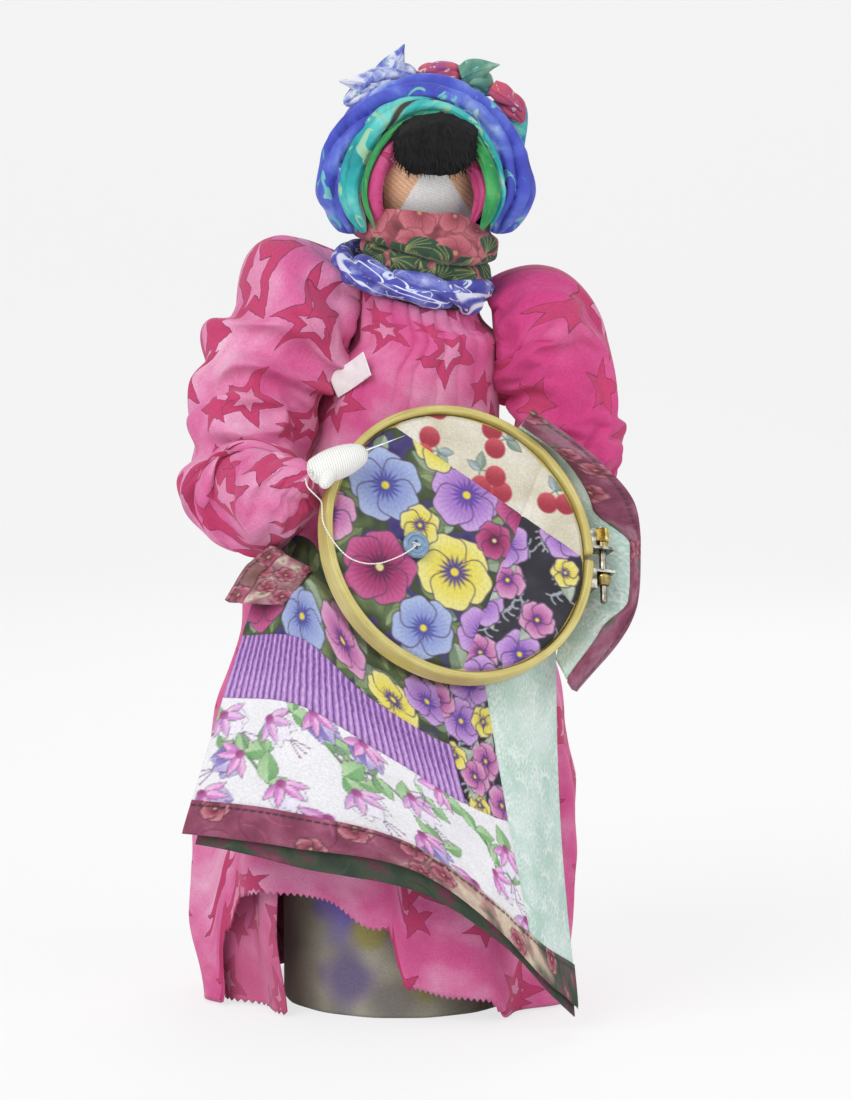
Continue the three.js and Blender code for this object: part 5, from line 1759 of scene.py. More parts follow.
def mitten(wrist: Sequence[float], tip: Sequence[float], radius: float) -> Surface:
    """A palm or thumb that swells from its wrist and closes round at its tip.

    Args:
        wrist: where it starts.
        tip: where it ends.
        radius: its largest radius.

    Returns:
        A surface of (round, along), both from 0 to 1.
    """
    path = Path([wrist, (vec(*wrist) + vec(*tip)) / 2, tip])

    def swell(t: Array, angle: Array) -> Array:
        """Radius of the palm, flattened a little."""
        return radius * np.sqrt(np.clip(1 - (1.75 * t - 0.78) ** 2, 0.08, 1)) * (1 - 0.06 * np.cos(2 * angle))

    return limb(path, swell, (0, 1, 0), 0.1)


@dataclass
class Arms:
    """Both sleeves with their wrapped hands, arm wires and the needle."""

    right_path: tuple = ((-16, 0, 271), (-34, -4, 275), (-50, -14, 262), (-59, -25, 238), (-61, -39, 215),
                         (-53, -58, 209), (-42, -80, 214), (-33, -93, 219))
    left_path: tuple = ((38, 0, 267), (52, -3, 268), (63, -8, 252), (66, -15, 230), (65, -24, 210), (61, -31, 201))
    right_swell: tuple = ((0, 15.5), (0.07, 20), (0.18, 29), (0.36, 26), (0.55, 24), (0.7, 21.5), (0.84, 14),
                          (0.95, 7.5), (1, 6.6))
    left_swell: tuple = ((0, 18), (0.22, 25), (0.45, 21), (0.7, 19), (0.88, 12), (1, 6.6))
    needle_eye: tuple = (-33.4, -99.5, 219.6)
    needle_tip: tuple = (2.7, -79, 231.9)
    needle_radius: float = 0.45
    right_wrist: tuple = (-33.5, -95.2, 218.6)
    right_tip: tuple = (-11.5, -88, 226.5)
    thumb_tip: tuple = (-28, -101.5, 214.2)
    left_wrist: tuple = (61, -31.5, 200.5)
    left_tip: tuple = (55, -41, 198.5)

    def needle(self) -> Object:
        """A sewing needle with a long eye."""
        path = Path([self.needle_eye, self.needle_tip])

        def shape(t: Array, angle: Array) -> Array:
            """Round shaft, flat at the eye and drawn to a point."""
            flat = 1 + 0.5 * (1 - smooth(t, 0.05, 0.1)) * np.cos(2 * angle)
            return self.needle_radius * flat * (1 - 0.85 * smooth(t, 0.7, 1.0))

        steel = PlatedMetal("polished_needle_steel", 0.2, colour="#d9dade", dull="#c2c4ca").make()
        obj = laid("needle_steel", (16, 90), limb(path, shape, (0, 0, 1), 0.01), even((3, 42)), steel)
        return finish_object(obj, Body.RIGHT_ARM, ["needle"])

    def build(self) -> Object:
        """Makes both arms and gives back the needle."""
        batik = StarBatik("pink_star_batik_sleeves", 0.85, (
            (0.3, "#d2498a"), (0.42, "#dd69a0"), (0.55, "#e792ba"), (0.7, "#f1bfd5")), seed=2.0, pitch=35.0).make()
        deep = StarBatik("deep_pink_star_batik", 0.85, (
            (0.3, "#cc2e78"), (0.48, "#d64488"), (0.63, "#de6399"), (0.78, "#e78fb5")), seed=5.0, pitch=36.0).make()
        Sleeve("right_sleeve_cloth", Body.RIGHT_ARM, self.right_path, self.right_swell, 0.4, "right_sleeve",
               ((0.125, 0.0, -7, 0.04, 0.8, 0), (0.215, -0.1, 6.5, 0.028, 0.9, 0.0),
                (0.27, -1.2, 7, 0.028, 1.1, 0.03), (0.37, -1.1, 5, 0.022, 0.9, 0.05),
                (0.55, -1.4, 5.5, 0.03, 1.0, -0.05), (0.68, -1.2, 5, 0.028, 1.1, 0.06))).build(batik)
        Sleeve("left_sleeve_cloth", Body.LEFT_ARM, self.left_path, self.left_swell, 1.9, "left_sleeve",
               ((0.2, -1.3, 4, 0.04, 1.0, 0.08), (0.48, -1.2, 4.5, 0.04, 1.1, -0.1))).build(deep)
        floss = WoundFloss("wound_cotton_floss").make()
        wrist, tip = vec(*self.right_wrist), vec(*self.right_tip)
        Stuffed("right_hand_floss", Body.RIGHT_ARM, "hand_floss", ("right_hand",), 0.9).make(
            (64, 90), mitten(wrist, tip, 6.6), even((40, 24)), floss)
        Stuffed("right_thumb_floss", Body.RIGHT_ARM, "hand_floss", (), 0.9).make(
            (48, 60), mitten(wrist + 0.42 * (tip - wrist), self.thumb_tip, 3.3), even((20, 14)), floss)
        Stuffed("left_hand_floss", Body.LEFT_ARM, "hand_floss", ("left_hand",), 0.9).make(
            (56, 60), mitten(self.left_wrist, self.left_tip, 7), even((40, 16)), floss)
        needle = self.needle()
        wire = PlatedMetal("galvanised_arm_wire", 0.4, colour="#a9abad", dull="#808386").make()
        for name in ("right_arm_wire", "left_arm_wire"):
            dress_node(name, wire)
        LOG.info("arms: sleeves, hands, wires and needle")
        return needle


# The head


HEAD_CENTRE = vec(9, 0, 330)
HEAD_RADII = vec(26, 30, 31)
TURBAN_X = 10.0
TURBAN_Z = 320.0
TURBAN_FOOT = 305.0


def arch(half_width: float, rise: float, y: float, lean: float, aside: float = 0.0) -> Path:
    """An arch round the face, from the doll's right foot over the top to its left.

    Args:
        half_width: half its width.
        rise: its height over the head's middle.
        y: how far back it stands.
        lean: how far it leans back, as a share of its height.
        aside: how far it is moved to the doll's left.
    """
    angle = np.pi + 0.38 - (np.pi + 0.76) * np.arange(15) / 14
    z = TURBAN_Z + rise * np.sin(angle)
    return Path(rows(TURBAN_X + aside + half_width * np.cos(angle), y + lean * (z - TURBAN_Z), z))


@dataclass(frozen=True)
class Roll:
    """One roll of the head scarf: its arch, radius and the lie of its creases."""

    name: str
    node: str
    slot: str
    arch: Path
    radius: float
    finish: Finish
    crease: float  # depth of the folds that run along it
    twist: float
    seed: float
    fullness: tuple = ((0, 1), (1, 1))  # how full it is, from the doll's right foot to its left
    lobes: int = 3  # folds round it

    def radius_at(self, t: Array, angle: Array) -> Array:
        """The roll's radius, with long folds and a few sharp cross creases.

        Args:
            t: shares along it.
            angle: angles round it.

        Returns:
            One radius per point, in millimetres.
        """
        swell = self.radius * (0.6 + 0.4 * np.sin(np.pi * t) ** 0.5) * along(self.fullness, t)
        seed = round_about(angle, 9, 130 * t)
        long = ridges(seed * vec(1, 1, 0.16), 7.0, self.seed)
        across = ridges(seed * vec(0.5, 0.5, 1), 15.0, self.seed + 5)
        turn = np.abs(np.sin(self.lobes / 2 * (angle + self.twist * t + 0.8 * grain(seed, 34, self.seed))))
        cut = self.crease * (
            1.3 * (1 - turn**0.5) + 0.5 * np.clip(long - 0.5, 0, 1) + 0.6 * np.clip(across - 0.7, 0, 1))
        fine = 0.4 * grain(seed, 11, self.seed + 1) + 0.3 * ridges(seed * vec(1, 1, 0.3), 4, self.seed + 2)
        return swell * (1 + 0.45 * self.crease / self.radius) - cut + fine

    def surface(self, u: Array, v: Array) -> Array:
        """The roll, whose feet are tucked in and back above the collar.

        Args:
            u: its share round or across.
            v: its share along or up.

        Returns:
            One point per row, in millimetres.
        """
        p = limb(self.arch, self.radius_at, (0, 1, 0), 0.07)(u, v)
        low = smooth(-p[:, 2], -324, -304)
        p[:, 0] -= (p[:, 0] - TURBAN_X) * 0.13 * low
        p[:, 1] += 3 * low
        over, round_foot = p[:, 2] - TURBAN_FOOT, 2.5
        low_end = round_foot * np.exp((np.minimum(over, round_foot) - round_foot) / 4)
        p[:, 2] = TURBAN_FOOT + np.where(over > round_foot, over, low_end)
        return p

    def build(self) -> None:
        """Makes the roll."""
        girth = math.tau * self.radius
        Stuffed(self.name, Body.HEAD, self.slot, (self.node,), 0.8).make((52, 300), self.surface, lambda u, v: rows(
            u * girth, v * self.arch.length + u * 10), self.finish.make())


@dataclass
class Corner:
    """A folded, pointed corner of scarf cloth that stands out of the crown."""

    name: str
    slot: str
    start: tuple
    end: tuple
    wide: float
    thick: float
    finish: Finish
    flat: tuple = (0, 1, 0)  # the direction in which it is thin

    def build(self) -> None:
        """Makes the corner: a thin leaf of cloth, folded double and drawn to a point."""
        start, end = vec(*self.start), vec(*self.end)
        path = Path([start, (start + end) / 2 + vec(0, -0.6, 0.8), end])

        def radius(t: Array, angle: Array) -> Array:
            """Radius of a flat oval that narrows evenly to the tip."""
            wide = self.wide * (1 - smooth(t, 0.25, 1.12)) * (0.8 + 0.2 * smooth(t, 0, 0.3))
            thin = self.thick * (1 - 0.5 * t)
            fold = 1 + 0.3 * hump(np.cos(angle) - 0.35, 0.2)
            return fold * wide * thin / np.sqrt((thin * np.cos(angle)) ** 2 + (wide * np.sin(angle)) ** 2)

        Stuffed(self.name, Body.HEAD, self.slot, (), 0.2).make(
            (48, 60), limb(path, radius, self.flat, 0.04), even((math.tau * self.wide * 0.6, path.length)),
            self.finish.make())


@dataclass
class Tail:
    """A bunched end of the scarf, from the knot to its point."""

    name: str
    node: str
    slot: str
    start: tuple
    end: tuple
    radius: float
    finish: Finish

    def build(self) -> None:
        """Makes the tail, pleated and drawn out to a blunt point."""
        start, end = vec(*self.start), vec(*self.end)
        path = Path([start, (start + end) / 2 + vec(0, -1, 2), end])

        def radius(t: Array, angle: Array) -> Array:
            """Radius with pleats that run down to the point."""
            pleat = np.abs(np.sin(2.5 * angle + 1.2 * grain(round_about(angle, 6, 40 * t), 16, self.radius)))
            drawn = 1 - 0.45 * smooth(t, 0.6, 1)
            return self.radius * (0.6 + 0.45 * np.sin(np.pi * t)) * (1.06 - 0.34 * (1 - pleat) ** 2) * drawn

        Stuffed(self.name, Body.HEAD, self.slot, (self.node,), 0.6).make(
            (64, 90), limb(path, radius, (0, 1, 0.3), 0.1), even((math.tau * self.radius, path.length)),
            self.finish.make())


@dataclass
class Face:
    """The stuffed head, its blank face cloth, the hair and the scarf over the chin."""

    half: float = 17.5
    up: float = 14.0
    down: float = 24.0
    off: float = 1.35  # from the ball to the middle of the face cloth
    chin_from: float = -1.02
    chin_to: float = 0.98
    chin_top: float = 315.0
    chin_low: float = 290.0
    chin_thick: float = 3.0
    hairs: int = 620
    fringe: tuple = (14, -36.5, 342.5)

    def face(self, u: Array, v: Array) -> Array:
        """The face cloth on the front of the ball.

        Args:
            u: its share round or across.
            v: its share along or up.

        Returns:
            One point per row, in millimetres.
        """
        x = 2.5 - self.half + 2 * self.half * u
        z = self.up - (self.up + self.down) * (1 - v)
        reach = HEAD_RADII + self.off
        rise = 1 - (x / reach[0]) ** 2 - (z / reach[2]) ** 2
        return rows(HEAD_CENTRE[0] + x, -reach[1] * np.sqrt(np.maximum(rise, 0.04)), HEAD_CENTRE[2] + z)

    def chin(self, u: Array, v: Array) -> Array:
        """The chin's scarf, with one deep fold from cheek to cheek and soft ones below.

        Args:
            u: its share round or across.
            v: its share along or up.

        Returns:
            One point per row, in millimetres.
        """
        angle = self.chin_from + (self.chin_to - self.chin_from) * u
        down = 1 - v
        z = self.chin_top + (self.chin_low - self.chin_top) * down
        z = z + 5 * smooth(-angle, 0.5, 1.0) * smooth(down, 0.5, 1)  # clears the sleeve as the head turns
        reach = 33.5 + 5 * np.sin(np.pi * (0.25 + 0.55 * down)) + 1.2 * np.cos(9 * down + 3 * angle)
        flat = rows(34 * angle, z, 0 * z)
        fold = down - 0.5 - 0.22 * np.sin(1.5 * angle + 0.5) + 0.03 * grain(flat, 9, 4)
        lip = 3.6 * smooth(-fold, -0.02, 0.05) * np.exp(-np.clip(-fold, 0, 1) / 0.4)
        second = down - 0.8 + 0.12 * angle
        reach = reach + lip - 2.6 * hump(fold - 0.06, 0.05) - 0.9 * hump(second, 0.04)
        reach = reach + 0.5 * grain(flat, 6, 9) - 0.6
        p = rows(11 + 0.78 * reach * np.sin(angle), -reach * np.cos(angle), z)
        p[:, 2] += 2.2 * np.cos(1.4 * angle) * smooth(v, 0.7, 1) - 1.1
        dip = 6.5 * smooth(angle, 0.25, 0.98) + 1.6 * hump(angle - 0.05, 0.3)
        p[:, 2] -= dip * smooth(v, 0.5, 1)
        low = collar_height(p[:, 0], p[:, 1]) + 5.2
        p[:, 2] = np.where(v < 0.08, np.maximum(p[:, 2], np.minimum(low, p[:, 2] + 3)), p[:, 2])
        return p

    def hair(self) -> None:
        """A tuft of fur over the brow: a dark pad and short hairs combed down and out."""
        fur = DyedFur("black_fur_pile").make()
        centre, reach = vec(*self.fringe), vec(16, 5.2, 13)

        def bumps(way: Array) -> Array:
            """Lumps and an uneven lower edge, drawn back under the scarf above."""
            boxy = (np.abs(way[:, [0, 2]]) ** 3).sum(1) + np.abs(way[:, 1]) ** 3
            lumps = 0.08 * grain(way * 16, 6, 1) + 0.05 * grain(way * 16, 2, 2)
            square = 0.7 * (boxy ** (-1 / 3) - 1) * (1 - smooth(way[:, 2], 0, 0.6))
            return square + lumps - 0.16 * smooth(way[:, 2], 0.3, 1)

        Stuffed("hair_fringe_fur", Body.HEAD, "black_fur", ("hair_fringe",), 0.6).make(
            (110, 60), egg(centre, reach, bumps), even((80, 40)), fur)
        draw = np.random.default_rng(8)
        bm = bmesh.new()
        for _ in range(self.hairs):
            turn, tilt = draw.uniform(math.pi * 1.04, math.pi * 1.96), draw.uniform(-0.95, 0.9)
            way = vec(math.cos(turn) * math.cos(tilt), math.sin(turn) * math.cos(tilt), math.sin(tilt))
            root = centre + way * reach * (0.97 + bumps(way[None])[0])
            fall = unit(way * vec(0.5, 0.35, 0.25) + vec(draw.normal(0, 0.3), -0.25, -0.9 + draw.normal(0, 0.2)))
            length = draw.uniform(2.2, 5.2)
            side = unit(np.cross(fall, vec(0, 1, 0.1))) * 0.2
            tip = root + fall * length + vec(0, -0.2, -0.4)
            corners = [root - side, root + side, root + fall * length * 0.6 + side * 0.8, tip]
            bm.faces.new([bm.verts.new(Vector(c * MM)) for c in corners])
        bmesh.ops.recalc_face_normals(bm, faces=bm.faces)
        finish_object(from_bmesh("hair_fringe_hairs", bm, fur), Body.HEAD)

    def build(self) -> None:
        """Makes the head, face, hair and chin scarf."""
        calico = Calico("unbleached_calico_head").make()
        Stuffed("head_ball_cloth", Body.HEAD, "stuffing", ("head_ball",), 0.95).make(
            (72, 48), egg(HEAD_CENTRE, HEAD_RADII, lambda way: 0 * way[:, 0]), even((180, 95)), calico)
        twill = PrintedCotton("white_twill_face", 0.8, pitch=0.8, depth=0.6).make()
        size = (2 * self.half, self.up + self.down)
        face = laid("face_cloth_twill", (120, 150), self.face, even(size), twill,
                    lambda canvas: twill_face(canvas, size))
        thicken(face, 0.8)
        finish_object(face, Body.HEAD, ["face_cloth"])
        self.hair()
        flannel = PrintedCotton("rose_leaf_flannel", 0.95, pitch=1.0, depth=0.7).make()
        wide, high = 68.0, 34.0
        chin = laid("chin_scarf_flannel", (260, 130), self.chin, even((wide, high)), flannel,
                    lambda canvas: rose_leaf(canvas, (wide, high), 21))
        thicken(chin, self.chin_thick)
        finish_object(chin, Body.HEAD, ["chin_scarf"])
        LOG.info("head: ball, face cloth, fringe and chin scarf")


@dataclass
class Turban:
    """The head scarf: nested rolls round the face, a cap behind, a knot and tails on the crown."""

    cap_radii: tuple = (42, 40, 45)
    cap_front: float = -2.0

    def rolls(self) -> list[Roll]:
        """The five rolls, from the outside in."""
        blue = ScarfBatik("blue_violet_scarf_batik", seed=1.0)
        inner = ScarfBatik("blue_violet_scarf_batik_inner", seed=6.1, clouds=(
            (0.3, "#363c9e"), (0.44, "#454fb8"), (0.58, "#5d70cc"), (0.74, "#9db2e0")))
        turquoise = ScarfBatik("turquoise_scarf_batik", 0.85, (
            (0.34, "#1c8f95"), (0.46, "#2ba8a8"), (0.58, "#5fc3bd"), (0.68, "#9fd6c8")),
            ((0.0, "#a9c9a0"), (1.0, "#7fc0a8")), 0.6, vein="#3a332f", vein_gap=40, seed=4.0)
        green = ScarfBatik("green_scarf_batik", 0.85, (
            (0.36, "#1f7f46"), (0.5, "#369a54"), (0.64, "#55aa60"), (0.78, "#2f8f80")),
            ((0.0, "#1d3c36"), (1.0, "#a8d070")), seed=5.0)
        hood = StarBatik("pink_star_batik_hood", 0.85, (
            (0.3, "#c22f70"), (0.5, "#d24b86"), (0.66, "#dc6d9e"), (0.8, "#e497ba")),
            size=6.5, pitch=17, seed=7.0)
        return [
            Roll("turban_roll_outer_cloth", "turban_roll_outer", "scarf_blue",
                 arch(34.5, 38.5, -9, 0.04), 8.8, blue, 3.4, 2.6, 1.0, lobes=5),
            Roll("turban_roll_inner_cloth", "turban_roll_inner", "scarf_blue",
                 arch(34.6, 39.2, -25, 0.06), 8.8, inner, 4.2, -2.4, 2.0, ((0, 1), (0.5, 0.88), (1, 1)), 6),
            Roll("turquoise_fold_cloth", "turquoise_fold", "scarf_turquoise", arch(29, 36, -33.5, 0.1), 4.2,
                 turquoise, 1.8, 1.8, 3.0, ((0, 1.1), (0.35, 1.1), (0.6, 0.7), (1, 0.6))),
            Roll("green_edge_roll_cloth", "green_edge_roll", "scarf_green", arch(25, 31.5, -37, 0.12, 1.5), 2.9,
                 green, 0.7, 1.5, 4.0, ((0, 0.4), (0.4, 0.45), (0.62, 0.9), (1, 1.05))),
            Roll("inner_hood_cloth", "inner_hood", "hood_batik", arch(21.5, 25, -32, 0.12, 0.5), 3.8,
                 hood, 1.2, 1.2, 5.0, ((0, 1.4), (0.5, 1.1), (0.75, 0.75), (1, 0.8))),
        ]

    def cap(self) -> None:
        """The back of the scarf, wrapped in broad overlapping turns."""
        centre = vec(TURBAN_X, 0, TURBAN_Z + 1)
        radii = vec(*self.cap_radii)

        def surface(u: Array, v: Array) -> Array:
            """The back half of an egg: wrapped turns, closed in front by a flat side."""
            way = globe(u / 2, v)
            wrap = way[:, 2] * 5.2 + way[:, 0] * 1.6 + 0.5 * grain(way * 40, 26, 3)
            step = wrap - np.floor(wrap)
            layer = 1.5 * step**3 - 0.9 * hump(step - 0.02, 0.07)
            fine = 0.5 * grain(way * vec(40, 40, 90), 9, 4)
            p = centre + way * (radii - 1.4 + (layer + fine)[:, None])
            p[:, 0] -= (p[:, 0] - TURBAN_X) * 0.16 * smooth(-p[:, 2], -326, -306)
            p[:, 1] = np.maximum(p[:, 1], self.cap_front)
            p[:, 2] = np.maximum(p[:, 2], TURBAN_FOOT + 3)
            return p

        finish = ScarfBatik("blue_violet_scarf_batik_cap", seed=6.0, patch=22)
        Stuffed("turban_cap_cloth", Body.HEAD, "scarf_blue", ("turban_cap",), 0.7).make(
            (200, 160), surface, even((130, 140)), finish.make())

    def build(self) -> None:
        """Makes the rolls, cap, knot and tails."""
        for roll in self.rolls():
            roll.build()
        self.cap()
        red = ScarfBatik("red_violet_scarf_batik", 0.85, (
            (0.3, "#8d3f8c"), (0.44, "#b04d6c"), (0.6, "#c9546a"), (0.76, "#d98aa0")),
            ((0.0, "#cfc6dc"), (1.0, "#d9a07a")), 0.64, patch=9, seed=9.0)

        def bunch(way: Array) -> Array:
            """Pleats that meet at the knot's side."""
            pleat = np.abs(np.sin(4 * np.arctan2(way[:, 2], way[:, 0] + 1.2) + 1.1 * grain(way * 9, 6, 3)))
            return -0.16 * (1 - pleat) ** 2 + 0.04

        Stuffed("red_knot_cloth", Body.HEAD, "scarf_red", ("red_knot",), 0.8).make(
            (90, 50), egg(vec(16, -3, 369), vec(9.5, 7, 5), bunch), even((50, 20)), red.make())
        blue = ScarfBatik("pale_blue_scarf_batik", clouds=(
            (0.3, "#4a4fa8"), (0.42, "#6a74c2"), (0.52, "#b4bcdc"), (0.62, "#dfe2ea")), patch=5, seed=10.0)
        green = ScarfBatik("teal_green_scarf_batik", clouds=(
            (0.3, "#3d6f66"), (0.45, "#558a78"), (0.6, "#7aa48c"), (0.76, "#b4c8b4")), patch=8, seed=11.0)
        pale = ScarfBatik("white_blue_scarf_batik", clouds=(
            (0.32, "#5963b4"), (0.42, "#99a1cf"), (0.52, "#d5d8e4"), (0.7, "#e4e4e6")), patch=6, seed=13.0)
        teal = ScarfBatik("teal_blue_scarf_batik", clouds=(
            (0.34, "#2e5da8"), (0.46, "#2f7fb4"), (0.55, "#45b3ac"), (0.7, "#8fd0c4")), patch=12, seed=14.0)
        red_end = replace(red, name="red_violet_scarf_batik_tail", seed=12.0)
        for piece in (
            Tail("blue_tail_cloth", "blue_tail", "scarf_blue", (7, -2, 369), (-22, -8, 357), 6.5, blue),
            Tail("green_tail_cloth", "green_tail", "scarf_green", (24, -1, 367), (37, -4, 361), 5, green),
            Tail("red_tail_cloth", "red_tail", "scarf_red", (38, 0, 360), (49, -4, 350), 4.6, red_end),
            Corner("blue_corner_cloth", "scarf_blue", (-6, -7, 363), (2, -9, 380.5), 6.5, 1.8, blue),
            Corner("white_corner_cloth", "scarf_blue", (-4, -10, 362), (-24, -10, 366), 6, 2.2, pale),
            Corner("green_corner_cloth", "scarf_green", (24, -7, 368), (39.5, -8, 372.5), 5, 1.6, green),
            Corner("red_corner_cloth", "scarf_red", (36, -7, 364), (49, -8, 354), 4, 1.6, red),
            Corner("teal_fold_cloth", "scarf_turquoise", (40, 3, 360), (49, 3, 336), 8, 6, teal),
        ):
            piece.build()
        LOG.info("turban: rolls, cap, knot, tails and corners")


# The hoop, its clamp and what is sewn in it


@dataclass
class Hoop:
    """A round hoop of two wooden rings with a pieced quilt between them and a screw clamp."""

    centre: tuple = (24, -78.4, 192)
    radius: float = 55.0
    wall: float = 3.0
    depth: float = 9.5
    split: float = 1.2  # half the gap at the clamp
    clamp_turn: float = -134.0
    inner_out: float = 51.7
    inner_in: float = 47.7
    inner_back: float = -10.9
    inner_front: float = -2.4
    batting_radius: float = 47.2
    cloth: float = 51.3  # radius of the stretched quilt
    cloth_front: float = -1.2
    seam_turn: float = -73.6
    seam_out: float = 25.0
    dark_turn: float = -156.0
    dark_out: float = 19.0
    screw_radius: float = 1.5
    screw_axis: float = 60.6
    screw_depth: float = -4.75
    head_radius: float = 3.0
    head_low: float = 5.6
    head_long: float = 8.0  # all lengths on the screw are from the middle between its lugs
    screw_tail: float = 17.0
    knurls: int = 40
    grid: int = 230  # points across the painted disc
    button_place: tuple = (10, 16.5)
    button_radius: float = 5.2
    normal: Array = field(default_factory=lambda: unit(vec(0.371, -0.833, 0.411)))
    long: Array = field(default_factory=lambda: vec(-0.656, 0.079, 0.751))

    def __post_init__(self) -> None:
        """Squares the hoop's two directions with its normal."""
        self.short = unit(np.cross(self.normal, self.long))
        self.long = unit(np.cross(self.short, self.normal))

    def place(self, p: Array) -> Array:
        """Points from the hoop's frame into the doll's."""
        return vec(*self.centre) + p @ np.stack([self.long, self.short, self.normal])

    def spot(self, p: Array) -> Array:
        """One point from the hoop's frame into the doll's."""
        return self.place(p[None, :])[0]

    def ring(self, low: float, high: float, back: float, front: float, node_name: str, split: float) -> None:
        """A wooden ring with eased edges, of flat bent strip.

        Args:
            low: inner radius.
            high: outer radius.
            back: its back, along the normal.
            front: its front.
            node_name: the node it stands for.
            split: half the gap at the clamp, or 0 for a closed ring.
        """
        ease, steps = 0.5, 6
        corners = [(low + ease, front), (high - ease, front), (high, front - ease), (high, back + ease),
                   (high - ease, back), (low + ease, back), (low, back + ease), (low, front - ease)]
        profile = []
        for (a, b), (c, d) in zip(corners, corners[1:] + corners[:1]):
            profile += [(a + (c - a) * k / steps, b + (d - b) * k / steps) for k in range(steps)]
        edge = np.array(profile + profile[:1])
        share = np.concatenate([[0], np.cumsum(np.linalg.norm(np.diff(edge, axis=0), axis=1))])
        gap = split / high
        start = math.radians(self.clamp_turn) + gap
        tip_share = 0.004  # of the length, over which a split ring's ends close

        def surface(u: Array, v: Array) -> Array:
            """The strip round the ring; closed at the split by its ends."""
            t = u * share[-1]
            radius, out = (np.interp(t, share, edge[:, k]) for k in (0, 1))
            turn = start + (math.tau - 2 * gap) * np.clip((v - tip_share) / (1 - 2 * tip_share), 0, 1)
            if split:
                tip = np.clip(np.minimum(v, 1 - v) / tip_share, 0, 1)
                radius = (low + high) / 2 + (radius - (low + high) / 2) * tip
                out = (front + back) / 2 + (out - (front + back) / 2) * tip
            else:
                turn = start + math.tau * v
            wave = 0.16 * np.sin(3 * turn) + 0.1 * np.sin(7 * turn + 1)
            return self.place(rows(radius * np.cos(turn), radius * np.sin(turn), out + wave * 0.4))

        bamboo = BentBamboo(f"lacquered_bamboo_{node_name}").make()
        obj = laid(f"{node_name}_bamboo", (len(edge) - 1, 300), surface,
                   lambda u, v: rows(v * math.tau * high, u * share[-1]), bamboo)
        finish_object(obj, Body.TORSO, [node_name])

    def quilted(self, p: Array) -> Array:
        """Soft rise and fall of the stretched quilt, sunk along its seams and under the button.

        Args:
            p: points in the hoop's frame.

        Returns:
            One height per point, in millimetres.
        """
        out = 0.28 * grain(p * vec(1, 1, 0), 17, 3)
        for turn, reach in ((self.seam_turn, self.seam_out), (self.dark_turn, self.dark_out)):
            away = self.side_of(p, turn) - reach
            out -= 0.55 * hump(away, 1.1)
        button = np.hypot(p[:, 0] - self.button_place[0], p[:, 1] - self.button_place[1])
        return out - 0.45 * hump(button, 9)

    def patch(self, kind: str, seams: Sequence[tuple[float, float, int]], paint: Paint, cotton: Finish) -> None:
        """One patch of the pieced quilt, cut from the disc by its seams.

        Args:
            kind: what tells its name, node and slot from the others'.
            seams: each seam's turn and distance from the middle, and 1 where the patch lies beyond it or -1.
            paint: its print.
            cotton: its finish.
        """
        side = 2 * self.cloth
        step = side / self.grid

        def past(p: Array, turn: float, reach: float, way: int) -> Array:
            """How far places lie outside a seam."""
            return way * (reach - self.side_of(p, turn))

        def surface(u: Array, v: Array) -> Array:
            """The flat disc, its cut edges drawn to the seams, pulled down at its rim."""
            p = rows((u - 0.5) * side, (v - 0.5) * side, 0 * u)
            for turn, seam, way in seams:
                over = np.clip(past(p, turn, seam, way), 0, None) * way
                p[:, 0] += over * math.cos(math.radians(turn))
                p[:, 1] += over * math.sin(math.radians(turn))
            reach = np.hypot(p[:, 0], p[:, 1])
            over = np.maximum(reach / self.cloth, 1)[:, None]
            p = p / over
            reach = np.minimum(reach, self.cloth)
            rim = 1.2 * smooth(reach, 49.4, self.cloth)
            p[:, 2] = self.cloth_front - 0.45 + np.minimum(self.quilted(p), 0.5) - rim
            return self.place(p)

        def cut(u: Array, v: Array) -> Array:
            """Keeps what lies in the disc and on the patch's side of its seams."""
            p = rows((u - 0.5) * side, (v - 0.5) * side)
            kept = np.hypot(p[:, 0], p[:, 1]) < self.cloth + 0.9
            for turn, seam, way in seams:
                kept &= past(p, turn, seam, way) < 1.45 * step
            return kept

        obj = laid(f"hoop_patch_{kind}_cotton", (self.grid, self.grid), surface, even((side, side)),
                   cotton.make(), paint, cut)
        thicken(obj, 0.7)
        finish_object(obj, Body.TORSO, [f"hoop_patch_{kind}"])

    def side_of(self, p: Array, turn: float) -> Array:
        """How far places lie out along a direction of the hoop."""
        return p[:, 0] * math.cos(math.radians(turn)) + p[:, 1] * math.sin(math.radians(turn))

    def patches(self) -> None:
        """The three patches with their prints."""
        blooms = (
            (63, 36, 14.5, LILAC), (86, 60, 14.5, SKY), (44, 62, 15, BUTTER), (22, 40, 13.5, ROSE),
            (64, 85, 14.5, PLUM), (36, 88, 12.5, SKY), (84, 30, 11, BUTTER), (19, 70, 11, LILAC),
            (44, 20, 12, PLUM), (92, 86, 11, ROSE), (66, 60, 8, BUTTER), (43, 40, 7.5, PLUM),
        )
        side = (2 * self.cloth, 2 * self.cloth)
        berry, dark = (self.seam_turn, self.seam_out), (self.dark_turn, self.dark_out)
        self.patch("blossom", [(*berry, -1), (*dark, -1)], lambda canvas: garden(canvas, side, 11, blooms),
                   PrintedCotton("blossom_print_cotton"))
        self.patch("berry", [(*berry, 1)], lambda canvas: berries(canvas, side, 5),
                   PrintedCotton("berry_print_cotton"))
        self.patch("dark", [(*dark, 1), (*berry, -1)], lambda canvas: night(canvas, side, 9),
                   PrintedCotton("night_print_cotton"))

    def batting(self) -> None:
        """The wool layer under the patches."""
        def surface(u: Array, v: Array) -> Array:
            """A thin round pad."""
            turn, tilt = 2 * np.pi * u, np.pi * (v - 0.5)
            out = np.sign(np.sin(tilt)) * np.abs(np.sin(tilt)) ** 0.35
            reach = self.batting_radius * np.cos(tilt) ** 0.25
            return self.place(rows(reach * np.cos(turn), reach * np.sin(turn), -3.2 + 0.8 * out))

